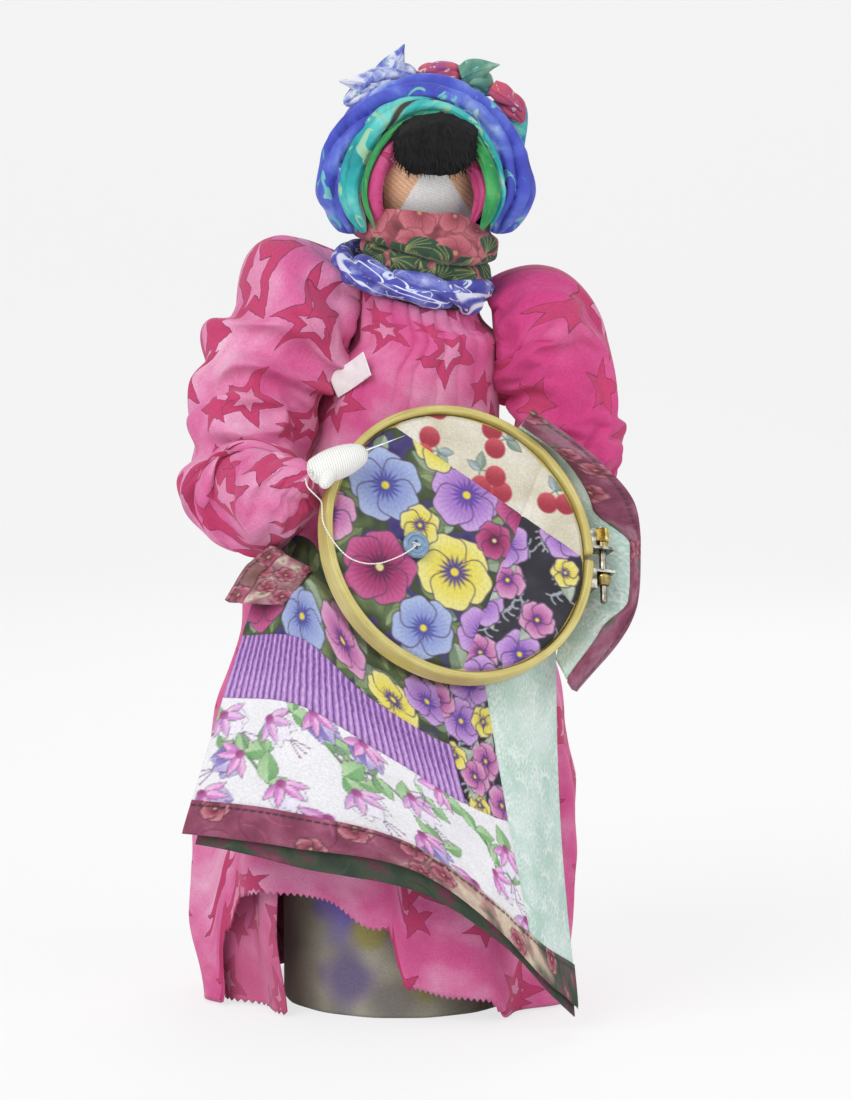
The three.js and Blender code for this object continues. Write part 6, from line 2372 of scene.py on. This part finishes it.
        wool = Calico("needled_wool_batting", 1.0, pale="#f4f1e8", dark="#e6e1d3").make()
        Stuffed("hoop_batting_wool", Body.TORSO, "stuffing", ("hoop_batting",), 0.5).make(
            (96, 16), surface, even((150, 90)), wool)

    def turned(self, profile: Sequence[Pair], sides: int) -> BMesh:
        """A solid turned round the screw's axis, from (radius, height) pairs, in the clamp's frame.

        Args:
            profile: radii and heights, in millimetres.
            sides: faces round it.

        Returns:
            The solid's mesh.
        """
        bm = bmesh.new()
        verts = [bm.verts.new((r * MM, 0, h * MM)) for r, h in profile]
        for a, b in zip(verts, verts[1:]):
            bm.edges.new((a, b))
        bmesh.ops.spin(bm, geom=[*bm.verts, *bm.edges], cent=(0, 0, 0), axis=(0, 0, 1), angle=math.tau,
                       steps=sides, use_merge=True)
        bmesh.ops.remove_doubles(bm, verts=bm.verts, dist=1e-6)
        return bm

    def at_clamp(self, name: str, bm: BMesh, material: Material) -> Object:
        """Moves a turned solid onto the screw's axis and makes it an object.

        Args:
            name: the piece's name.
            bm: its mesh, about the z axis.
            material: its finish.

        Returns:
            The object.
        """
        turn = math.radians(self.clamp_turn)
        out = vec(math.cos(turn), math.sin(turn), 0)
        tangent = vec(-math.sin(turn), math.cos(turn), 0)
        across = np.cross(tangent, out)
        base = out * self.screw_axis + vec(0, 0, self.screw_depth)
        for vert in bm.verts:
            x, y, z = (c / MM for c in vert.co)
            vert.co = Vector(self.spot(base + out * x + across * y + tangent * z) * MM)
        bmesh.ops.recalc_face_normals(bm, faces=bm.faces)
        return from_bmesh(name, bm, material)

    def screw(self) -> None:
        """The thumb screw: a knurled brass head, a plain neck and a threaded shank."""
        low, top, r = self.head_low, self.head_low + self.head_long, self.head_radius
        brass = PlatedMetal("knurled_plated_brass", 0.35).make()
        profile = [(0, top - 0.1), (r - 0.9, top), (r - 0.35, top - 0.25), (r - 0.05, top - 0.8),
                   (r - 0.05, low + 2.9), (r - 0.4, low + 2.4), (r - 0.9, low + 2), (r - 0.9, low),
                   (self.screw_radius, low)]
        bm = self.turned(profile, self.knurls * 2)
        for vert in bm.verts:
            reach = math.hypot(vert.co.x, vert.co.y) / MM
            if reach > r - 0.2:
                index = round(math.atan2(vert.co.y, vert.co.x) / (math.pi / self.knurls))
                if index % 2:
                    vert.co.xy *= 1 - 0.28 / r
        head = self.at_clamp("clamp_screw_brass", bm, brass)
        for polygon in head.data.polygons:
            polygon.use_smooth = False
        finish_object(head, Body.CLAMP_SCREW, ["clamp_screw"])
        pitch, shank = 0.8, []
        start = -self.screw_tail
        count = int((low - start) / pitch)
        for k in range(count):
            at = low - k * pitch
            shank += [(self.screw_radius - 0.02, at), (self.screw_radius - 0.32, at - pitch / 2)]
        shank += [(self.screw_radius - 0.35, start + 0.3), (0.6, start), (0, start)]
        steel = PlatedMetal("zinc_plated_screw_steel", 0.4, colour="#a9a49a", dull="#6f6a62").make()
        thread = self.at_clamp("clamp_screw_shank", self.turned(shank, 24), steel)
        finish_object(thread, Body.CLAMP_SCREW)
        nut_top = -self.head_low
        cone = [(1.8, nut_top), (2.9, nut_top), (3.2, nut_top - 0.3), (3.2, nut_top - 1.2), (2.9, nut_top - 1.7),
                (2.3, nut_top - 4.0), (2.1, nut_top - 4.2), (1.8, nut_top - 4.2), (1.8, nut_top)]
        nut = self.at_clamp("clamp_nut_brass", self.turned(cone, 40), brass)
        finish_object(nut, Body.TORSO, ["clamp_nut"])

    def button(self) -> None:
        """A four-hole button with a raised rim, and the white stitch through it."""
        r, low = self.button_radius, self.cloth_front + 0.3
        top = low + 2.2
        hole, spread = 0.65, 1.25

        def surface(u: Array, v: Array) -> Array:
            """Face and back of the button, with its holes pressed in from both sides."""
            front = v > 0.5
            share = np.where(front, (1 - v) * 2, v * 2)
            angle = 2 * np.pi * u
            reach = r * np.minimum(share * 1.12, 1)
            x, y = reach * np.cos(angle), reach * np.sin(angle)
            face = top - 0.7 + 0.7 * smooth(reach, r - 2.1, r - 1.3) - 0.5 * smooth(reach, r - 0.7, r)
            back = low + 0.5 * smooth(reach, r - 0.9, r)
            p = rows(x, y, np.where(front, face, back))
            for k in range(4):
                turn = math.pi / 4 + k * math.pi / 2
                gap = np.hypot(x - spread * math.cos(turn), y - spread * math.sin(turn))
                pit = 1 - smooth(gap, hole - 0.18, hole + 0.1)
                p[:, 2] -= np.where(front, pit * 1.0, 0)
            edge = smooth(share * 1.12, 1.0, 1.12)
            p[:, 2] = np.where(edge > 0, p[:, 2] * (1 - edge) + (low + 1.1) * edge, p[:, 2])
            return self.place(p + vec(*self.button_place, 0))

        resin = CastResin("cast_blue_grey_resin").make()
        obj = laid("button_resin", (120, 120), surface, even((30, 12)), resin)
        finish_object(obj, Body.TORSO, ["button"])
        floss = WoundFloss("button_stitch_floss", pitch=0.3).make()
        base = vec(*self.button_place, top - 0.3)
        for k, turn in enumerate((0.72, 0.86)):
            reach = 1.75 * vec(math.cos(turn), math.sin(turn), 0)
            shift = 0.32 * (2 * k - 1) * vec(-math.sin(turn), math.cos(turn), 0)
            ends = [self.spot(base + s * reach + shift - vec(0, 0, abs(s) ** 4 * 0.7))
                    for s in (-1, -0.55, 0, 0.55, 1)]
            stitch = laid(f"button_stitch_floss_{k}", (10, 24), limb(
                Path(ends), lambda t, angle: 0.28 + 0 * t, (0, 0, 1), 0.08), even((1.8, 4)), floss)
            finish_object(stitch, Body.TORSO, ["button_stitch"] if k == 0 else [])

    def build(self) -> None:
        """Makes the rings, patches, clamp and button."""
        self.ring(self.radius - self.wall, self.radius, -self.depth, 0, "hoop_outer", self.split)
        self.ring(self.inner_in, self.inner_out, self.inner_back, self.inner_front, "hoop_inner", 0)
        self.batting()
        self.patches()
        self.screw()
        steel = PlatedMetal("oxidised_spring_steel", 0.45, colour="#a8a69b", dull="#565349").make()
        for name in ("clamp_lug_upper", "clamp_lug_lower"):
            dress_node(name, steel)
        self.button()
        LOG.info("hoop: rings, patches, batting, clamp and button")


# The quilt over the lap, the flaps at the hoop's sides and the tag


SizedPaint = Callable[[Canvas, Pair], None]


@dataclass(frozen=True)
class Patchwork:
    """One piece of the quilt: the part of the lap that it covers, its print and its finish."""

    name: str
    node: str
    slot: str
    part: tuple[float, float, float, float]  # its left, right, top and foot, as shares of the quilt
    paint: SizedPaint | None
    finish: Finish
    thick: float = 1.2
    offset: float = 0.0  # how far it lies in front of the quilt's middle


@dataclass
class Quilt:
    """The pieced quilt that hangs from the back of the hoop over the doll's lap."""

    dress: Dress
    hoop: Hoop
    wide: float = 172.0
    high: float = 106.0
    grid: float = 0.62  # distance between painted points, in millimetres
    top: Path = field(default_factory=lambda: Path(
        [(-53, -62, 176), (-36, -76, 178), (-14, -93, 153), (14, -91, 137), (40, -79, 138), (60, -63, 147)]))
    low: Path = field(default_factory=lambda: Path(
        [(-83, -76, 79), (-42, -84, 76), (4, -86, 68), (39, -82, 43), (58, -76, 21), (69, -70, 9)]))
    tuck: float = -0.13  # how far the cloth reaches up behind the hoop, as a share of its height
    stripe: float = 0.23
    white: float = 0.47
    binding: float = 0.88
    dark: float = 0.6
    mint: float = 0.74
    droop: float = 0.08  # how far the lining hangs out under the binding, as a share of the height

    def point(self, u: Array, v: Array) -> Array:
        """A place of the quilt: u across, v down.

        Args:
            u: shares across the quilt.
            v: shares down it.

        Returns:
            One point per row, in millimetres.
        """
        u, v = np.asarray(u, float), np.asarray(v, float)
        top, low = self.top.knot(u), self.low.knot(u)
        p = top + (low - top) * v[:, None]
        drop = np.sin(np.pi * np.clip(v, 0, 1))
        p[:, 1] -= 5 * drop * np.sin(np.pi * np.clip(u, 0, 1)) - 2.2 * v * np.sin(4.2 * np.pi * u + 1.2 * v)
        p[:, 0] -= 2.5 * drop * np.clip(u, 0, 1) ** 4
        p[:, 1] += 11 * smooth(-v, 0, 0.07)
        flat = rows(u * self.wide, v * self.high, 0 * u)
        p[:, 1] -= 0.9 * grain(flat, 21, 3) + 0.35 * grain(flat, 7, 5)
        return p

    def quilting(self, u: Array, v: Array) -> Array:
        """How far the cloth sinks at its seams, in millimetres.

        Args:
            u: shares across the quilt.
            v: shares down it.

        Returns:
            One depth per point.
        """
        x, y = u * self.wide, v * self.high
        seams = [y - self.stripe * self.high, y - self.white * self.high, y - self.binding * self.high]
        edges = [x - self.dark * self.wide, x - self.mint * self.wide]
        sink = 0 * x
        depth, half_width = 0.7, 1.0
        for k, line in enumerate(seams):
            there = (u < self.mint) if k < 2 else (u > -1)
            sink = sink + depth * hump(line, half_width) * there
        for k, line in enumerate(edges):
            sink = sink + depth * hump(line, half_width) * (v < (self.white if k == 0 else self.binding))
        return sink

    def in_hoop(self, p: Array) -> Array:
        """Which points lie in the hoop's own room.

        Args:
            p: points in the doll's frame.

        Returns:
            True for each point inside.
        """
        away = p - vec(*self.hoop.centre)
        out = away @ self.hoop.normal
        reach = np.hypot(away @ self.hoop.long, away @ self.hoop.short)
        return (reach < self.hoop.radius + 0.3) & (out < 0.3) & (out > -self.hoop.depth - 0.3)

    def build_piece(self, piece: Patchwork) -> None:
        """Makes one piece of the quilt.

        Args:
            piece: what it covers and is made of.
        """
        u0, u1, v0, v1 = piece.part
        size = ((u1 - u0) * self.wide, (v1 - v0) * self.high)

        def spread(u: Array, v: Array) -> tuple[Array, Array]:
            """The piece's own shares as shares of the whole quilt."""
            return u0 + (u1 - u0) * u, v1 - (v1 - v0) * v

        def surface(u: Array, v: Array) -> Array:
            """The piece in its place, clear of the dress."""
            a, b = spread(u, v)
            if piece.offset < 0:  # the lining droops out from under the binding
                b = b + self.droop * smooth(b, 0.85, 1.04) * hump(a - 0.42, 0.24)
            p = self.point(a, b)
            p[:, 1] += self.quilting(a, b) - piece.offset
            if piece.node == "quilt_binding":
                p[:, 1] -= 0.9 * np.sin(np.pi * np.clip((b - v0) / (v1 - v0), 0, 1)) ** 0.6
            if piece.node == "quilt_band_ribbed":
                rib = np.abs(((a - u0) * self.wide / 2.8 + 0.35 * np.sin(b * 9)) % 1 - 0.5) * 2
                p[:, 1] -= 0.5 * rib**0.7
            return self.dress.clear(p, 1.0 + piece.thick / 2 + (0 if piece.offset < 0 else 1.4))

        def keep(u: Array, v: Array) -> Array:
            """Leaves out what the hoop's rings fill."""
            return ~self.in_hoop(surface(u, v))

        steps = (max(40, int(size[0] / self.grid)), max(24, int(size[1] / self.grid)))
        paint = (lambda canvas: piece.paint(canvas, size)) if piece.paint else None
        obj = laid(piece.name, steps, surface, even(size), piece.finish.make(), paint, keep)
        thicken(obj, piece.thick)
        finish_object(obj, Body.TORSO, [piece.node])
        cover(obj, size, "hung", ["dress_cloth", "hoop_inner_bamboo"])

    def pieces(self) -> list[Patchwork]:
        """The quilt's pieces, from the hoop down."""
        blooms = ((10, 15, 13, PLUM), (35, 9, 12, SKY), (58, 17, 12, ROSE), (80, 8, 11, BUTTER),
                  (97, 17, 10, LILAC))
        maroon = ((0, "#76304c"), (0.5, "#8f4460"), (1, "#a8607a"))
        cream = ((0, "#4f6346"), (0.35, "#b98a88"), (0.6, "#d9cdb0"), (1, "#c8909a"))
        leafy = ((0, "#26352b"), (0.5, "#3d4f39"), (0.8, "#7a4458"), (1, "#a98a80"))
        along_it = ((0.0, maroon), (0.36, maroon), (0.48, cream), (0.72, cream), (0.84, leafy), (1.0, leafy))
        # the backing's colours are the binding's leafy border darkened: painted shade where it hangs behind the
        # quilt
        border_in_painted_shade = ((0.0, ((0, "#26332b"), (0.5, "#3b4a36"), (0.75, "#6a3346"), (1, "#7f4658"))),)
        return [
            Patchwork("quilt_panel_cotton", "quilt_panel_print", "patch_blossom",
                      (0, self.dark, self.tuck, self.stripe), lambda c, s: garden(c, s, 17, blooms),
                      PrintedCotton("blossom_print_cotton_panel")),
            Patchwork("quilt_ribbed_cotton", "quilt_band_ribbed", "band_ribbed",
                      (0, self.dark, self.stripe, self.white), None, RibbedCotton("ribbed_lilac_cotton")),
            Patchwork("quilt_dark_cotton", "quilt_strip_dark", "patch_dark",
                      (self.dark, self.mint, self.tuck, self.white), lambda c, s: night(c, s, 14),
                      PrintedCotton("night_print_cotton_strip")),
            Patchwork("quilt_bell_cotton", "quilt_band_white", "band_white",
                      (0, self.mint, self.white, self.binding), lambda c, s: bells(c, s, 6),
                      PrintedCotton("bell_print_cotton")),
            Patchwork("quilt_lace_cotton", "quilt_panel_mint", "panel_mint",
                      (self.mint, 1, self.tuck, self.binding), lambda c, s: lace(c, s, 8),
                      PrintedCotton("lace_print_cotton")),
            Patchwork("quilt_binding_cotton", "quilt_binding", "binding_floral", (0, 1, self.binding, 1),
                      lambda c, s: bound(c, s, 4, along_it), PrintedCotton("border_print_cotton"), 2.2),
            Patchwork("quilt_backing_cotton", "quilt_backing", "backing_dark", (0.03, 0.97, 0.3, 1.04),
                      lambda c, s: border(c, s, 12, border_in_painted_shade), PrintedCotton("backing_print_cotton"), 1.0, -2.2),
        ]

    def build(self) -> None:
        """Makes every piece."""
        for piece in self.pieces():
            self.build_piece(piece)
        LOG.info("quilt: printed panel, ribbed, white and dark bands, mint panel, binding and backing")


def bound(canvas: Canvas, size: Pair, seed: int, zones: Sequence[tuple[float, Stops]]) -> None:
    """A border print with the dark line of machine stitches along its upper edge.

    Args:
        canvas: the cloth.
        size: its width and height, in millimetres.
        seed: decides where the motifs lie.
        zones: places along it and the colours that it has from there on.
    """
    border(canvas, size, seed, zones)
    high = size[1]
    edge = np.abs(canvas.y - high + 1.6) - 0.25
    dash = np.abs((canvas.x % 2.6) - 1.3) - 1.0
    canvas.lay(np.arange(len(canvas.x)), inside(edge) * inside(dash), srgb("#241a20"))


def cover(obj: Object, size: Pair, held: str, rests_on: Sequence[str]) -> None:
    """Works out a sheet's flat size from its size before the cut, grown to the area of what is left; nothing uses
    the result.

    Args:
        obj: the sheet.
        size: its width and height before the cut, in millimetres.
        held: how it is held; not used.
        rests_on: the pieces or nodes under it; not used.
    """
    area = sum(face.area for face in obj.data.polygons)
    wide, high = size[0] * MM, size[1] * MM
    grow = max(1.0, math.sqrt(area / (wide * high)) * 1.01)
    wide, high = max(wide * grow, 0.0101), max(high * grow, 0.0101)


@dataclass
class Flap:
    """A corner of the quilt that stands out past the hoop, bound along its rolled edge."""

    name: str
    inner: Path
    outer: Path
    bulge: float
    wide: float
    high: float
    cloth: tuple[str, str, SizedPaint, str]  # its node, slot, print and finish's name
    bound: tuple[str, str, SizedPaint, str]
    room: Callable[[Array], Array]
    shares: tuple = ((0, 0.72),)  # where the binding starts across the flap, read along it

    def point(self, u: Array, v: Array) -> Array:
        """A place of the flap: u along, v from the hoop out.

        Args:
            u: shares along it.
            v: shares from the hoop out.

        Returns:
            One point per row, in millimetres.
        """
        near, far = self.inner.knot(u), self.outer.knot(u)
        p = near + (far - near) * v[:, None]
        flat = rows(u * self.wide, v * self.high, 0 * u)
        wave = 1.2 * np.sin(7 * u + 2 * v) + 0.9 * np.sin(16 * u - 3 * v) * v
        p[:, 1] -= self.bulge * np.sin(np.pi * np.clip(v, 0, 1)) + wave + 0.8 * grain(flat, 12, 6)
        return p

    def piece(self, bound_edge: bool, kind: tuple, thick: float, roll: float) -> None:
        """Makes the cloth or the binding.

        Args:
            bound_edge: whether it is the binding.
            kind: its node, slot, print and finish's name.
            thick: its thickness.
            roll: how far its middle stands out.
        """
        node_name, slot, paint, finish_name = kind
        middle = float(np.mean([edge for _, edge in self.shares]))
        size = (self.wide, self.high * (1 - middle if bound_edge else middle))

        def surface(u: Array, v: Array) -> Array:
            """The piece in its place."""
            edge = along(self.shares, u)
            share = edge + (1 - edge) * v if bound_edge else (edge + 0.01) * v
            p = self.point(u, share)
            p[:, 1] -= roll * np.sin(np.pi * v) ** 0.6
            return p

        steps = (int(self.wide / 0.7), max(14, int(size[1] / 0.6)))
        obj = laid(f"{node_name}_cotton", steps, surface, even(size), PrintedCotton(finish_name).make(),
                   lambda canvas: paint(canvas, size), lambda u, v: ~self.room(surface(u, v)))
        thicken(obj, thick)
        finish_object(obj, Body.TORSO, [node_name])
        cover(obj, size, "hung", ["hoop_inner_bamboo"])

    def build(self) -> None:
        """Makes the cloth and its binding."""
        self.piece(False, self.cloth, 1.2, 0)
        self.piece(True, self.bound, 2.2, 0.8)
        LOG.info("flap: %s", self.name)


def flaps(quilt: Quilt) -> list[Flap]:
    """The flaps at the doll's left and right of the hoop.

    Args:
        quilt: what they belong to.

    Returns:
        Both flaps.
    """
    wine = ((0, "#6c3048"), (0.45, "#8b4560"), (0.75, "#a06a80"), (1, "#5f6a50"))
    leafy = ((0.0, wine), (1.0, wine))
    brown = ((0.0, ((0, "#6b4a3a"), (0.4, "#94656a"), (0.6, "#b0838a"), (0.8, "#d8c9b4"), (1, "#5a5f44"))),)
    left = Path([(46, -46, 232), (58, -39, 222), (66, -36, 203), (67, -36, 182), (65, -50, 162), (60, -71, 146)])
    left_edge = Path([(51, -55, 240), (77, -45, 219), (91, -41, 203), (93, -41, 182), (89, -54, 158),
                      (67, -75, 134)])
    right = Path([(-33, -77, 181), (-38, -77, 174), (-44, -74, 167)])
    right_edge = Path([(-48, -70, 189), (-58, -65, 180), (-66, -63, 167)])
    return [
        Flap("doll's left", left, left_edge, 3, 112, 26,
             ("right_flap", "panel_mint", lambda c, s: lace(c, s, 31), "lace_print_cotton_flap"),
             ("right_flap_binding", "binding_floral", lambda c, s: bound(c, s, 32, leafy), "leafy_border_cotton"),
             quilt.in_hoop, ((0, 0.3), (0.42, 0.36), (0.56, 0.9), (0.74, 0.92), (0.84, 0.64), (1, 0.6))),
        Flap("doll's right", right, right_edge, 2, 30, 24,
             ("left_flap", "patch_berry", lambda c, s: border(c, s, 33, brown), "striped_cotton_flap"),
             ("left_flap_binding", "binding_floral", lambda c, s: bound(c, s, 34, brown),
              "brown_rose_border_cotton"),
             quilt.in_hoop),
    ]


@dataclass
class BlankTag:
    """A blank white tag, sewn by one corner to the bodice."""

    wide: float = 20.0
    high: float = 10.0
    centre: tuple = (-18.5, -32, 252)
    lean: float = -0.5
    tilt: float = -0.72

    def surface(self, u: Array, v: Array) -> Array:
        """The tag, a little curled.

        Args:
            u: its share round or across.
            v: its share along or up.

        Returns:
            One point per row, in millimetres.
        """
        x, z = (u - 0.5) * self.wide, (v - 0.5) * self.high
        y = -0.9 * (x / self.wide) ** 2 * 4 - 0.35 * np.sin(3 * v + 2 * u)
        c, s = math.cos(self.lean), math.sin(self.lean)
        x, z = x * c + z * s, z * c - x * s
        c, s = math.cos(self.tilt), math.sin(self.tilt)
        return vec(*self.centre) + rows(x * c - y * s, x * s + y * c, z)

    def build(self) -> None:
        """Makes the tag."""
        tape = WovenTape("white_satin_tape").make()
        obj = laid("blank_tag_tape", (60, 36), self.surface, even((self.wide, self.high)), tape)
        thicken(obj, 0.5)
        finish_object(obj, Body.TORSO, ["blank_tag"])
        cover(obj, (self.wide, self.high), "hung", ["dress_cloth"])
        LOG.info("blank tag")


@dataclass
class StitchThread:
    """The sewing thread, from the button's stitch over the hoop and into the needle's eye."""

    route: tuple = (
        (6.6, -89, 191), (4.4, -90.8, 189.5), (2.2, -91.8, 188.2), (-0.2, -92.8, 187.1), (-3.2, -94.8, 186.1),
        (-6.8, -97.4, 185.3), (-12.4, -100.6, 185.6), (-17.9, -102.4, 187.7), (-22.4, -102.4, 191.8),
        (-26.3, -100.9, 197.3), (-28.2, -99, 201.6), (-28.4, -98.6, 205.2), (-28.6, -100, 208.4),
        (-30.6, -103, 211.2), (-33.6, -103.2, 214.4), (-34.6, -101, 217.6),
    )
    radius: float = 0.25
    sides: int = 10
    rings: int = 260

    def build(self) -> Object:
        """Makes the thread, which bends where it crosses from the hoop to the hand."""
        path = Path(self.route)
        cotton = SpunThread("twisted_cotton_thread").make()
        obj = laid("thread_cotton", (self.sides, self.rings), limb(
            path, lambda t, angle: self.radius + 0 * t, (0, 0.3, 1), 0.002),
            lambda u, v: rows(u, v * path.length), cotton)
        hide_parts("thread")
        return obj

    def declare(self, obj: Object) -> None:
        """Args:
            obj: the thread.
        """
        path = Path(self.route)
        points = [list(p * MM) for p in path.point(np.linspace(0, 1, 60))]
        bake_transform(obj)
        LOG.info("thread: %.1f mm", path.length)


# The studio


def seen(tree: NodeTree) -> Node:
    """Tells rays that show a thing, from the camera or by gloss or glass, from those that light it.

    Args:
        tree: the material's or world's nodes.

    Returns:
        A node that gives 1 for the first kind, else 0.
    """
    rays = node(tree, "LightPath")
    direct = node(tree, "Math", {0: rays.outputs["Is Camera Ray"], 1: rays.outputs["Is Glossy Ray"]},
                  operation="ADD")
    return node(tree, "Math", {0: direct, 1: rays.outputs["Is Transmission Ray"]},
                operation="ADD", use_clamp=True)


@dataclass
class Studio:
    """A pale sweep, soft lamps and the camera of the photograph."""

    eye: tuple = (10.2, -1491.8, 336.8)
    fall: float = 84.0  # degrees the camera is turned from looking down
    lens: float = 122.7
    white: str = "#f4f4f4"
    daylight: tuple = (0.96, 0.98, 1.0)
    paper_glow: float = 0.72  # share of the paper that shows plain white; the rest keeps the shadow
    world_light: float = 0.5  # strength of the white world as light
    lamps: tuple = (  # name, place in metres, side and watts
        ("key", (-0.75, -1.0, 1.15), 1.1, 14),
        ("fill", (1.0, -0.9, 0.6), 1.2, 5.6),
        ("back", (0.3, 1.1, 1.1), 1.0, 6),
    )
    aim: tuple = (0.01, 0, 0.17)  # where the lamps point, in metres
    front: float = -1400.0  # the sweep's near edge; its sizes are in millimetres
    run: float = 4200.0
    wide: float = 5000.0
    flat_to: float = 1500.0  # where it starts to curve up
    curve: float = 900.0  # length of the curve, a quarter circle
    curve_radius: float = 573.0

    def camera(self) -> None:
        """The camera, six degrees down, with the photograph's frame."""
        data = bpy.data.cameras.new("camera")
        data.lens = self.lens
        data.sensor_width = 36
        data.clip_end = 20
        obj = bpy.data.objects.new("camera", data)
        obj.location = [c * MM for c in self.eye]
        obj.rotation_euler = (math.radians(self.fall), 0, 0)
        bpy.context.scene.collection.objects.link(obj)
        bpy.context.scene.camera = obj

    def lamp(self, name: str, place: tuple, size: float, power: float) -> None:
        """A soft square lamp that faces the doll.

        Args:
            name: its name.
            place: where it stands, in metres.
            size: its side, in metres.
            power: its power, in watts.
        """
        data = bpy.data.lights.new(name, "AREA")
        data.size = size
        data.energy = power
        data.color = self.daylight
        obj = bpy.data.objects.new(name, data)
        obj.location = place
        obj.rotation_euler = (Vector(self.aim) - Vector(place)).to_track_quat("-Z", "Y").to_euler()
        bpy.context.scene.collection.objects.link(obj)

    def world(self) -> None:
        """White to the camera and in reflections, softer as light."""
        world = bpy.data.worlds.new("studio")
        bpy.context.scene.world = world
        world.use_nodes = True
        tree = world.node_tree
        tree.nodes.clear()
        power = node(tree, "Mix", {0: seen(tree), 2: self.world_light, 3: 1.0})
        back = node(tree, "Background", {"Color": (1, 1, 1, 1), "Strength": power})
        node(tree, "OutputWorld", {"Surface": back})

    def sweep(self) -> None:
        """A floor that keeps the doll's shadow and curves up behind it."""
        material = bpy.data.materials.new("matt_studio_paper")
        material.use_nodes = True
        tree = material.node_tree
        tree.nodes.clear()
        share = node(tree, "Math", {0: seen(tree), 1: self.paper_glow}, operation="MULTIPLY")
        paper = node(tree, "BsdfDiffuse", {"Color": tone(self.white)})
        glow = node(tree, "Emission", {"Color": (1, 1, 1, 1), "Strength": 1.0})
        node(tree, "OutputMaterial", {"Surface": node(tree, "MixShader", {0: share, 1: paper, 2: glow})})

        def surface(u: Array, v: Array) -> Array:
            """Flat under the doll, then a quarter circle up."""
            way = self.front + self.run * v
            bend = np.clip((way - self.flat_to) / self.curve, 0, 1) * np.pi / 2
            rise = self.curve_radius * (1 - np.cos(bend)) + np.maximum(way - self.flat_to - self.curve, 0)
            y = np.where(way < self.flat_to, way, self.flat_to + self.curve_radius * np.sin(bend))
            return rows((u - 0.5) * self.wide, y, np.where(way < self.flat_to, 0, rise))

        laid("studio_sweep", (2, 60), surface, even((self.wide, self.run)), material)

    def build(self) -> None:
        """Sets up the camera, lamps, world and sweep."""
        scene = bpy.context.scene
        scene.view_settings.view_transform = "Standard"
        self.camera()
        self.world()
        for name, place, size, power in self.lamps:
            self.lamp(name, place, size, power)
        self.sweep()


def main() -> None:
    """Builds the doll, piece by piece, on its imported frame."""
    logging.basicConfig(level=logging.INFO, format="%(message)s")
    Studio().build()
    stitching = StitchThread()
    thread = stitching.build()
    BodyColumn().build()
    dress = Dress()
    dress.build()
    Collar().build()
    arms = Arms()
    needle = arms.build()
    Face().build()
    Turban().build()
    hoop = Hoop()
    hoop.build()
    quilt = Quilt(dress, hoop)
    quilt.build()
    for flap in flaps(quilt):
        flap.build()
    BlankTag().build()
    stitching.declare(thread)


if __name__ == "__main__":
    main()
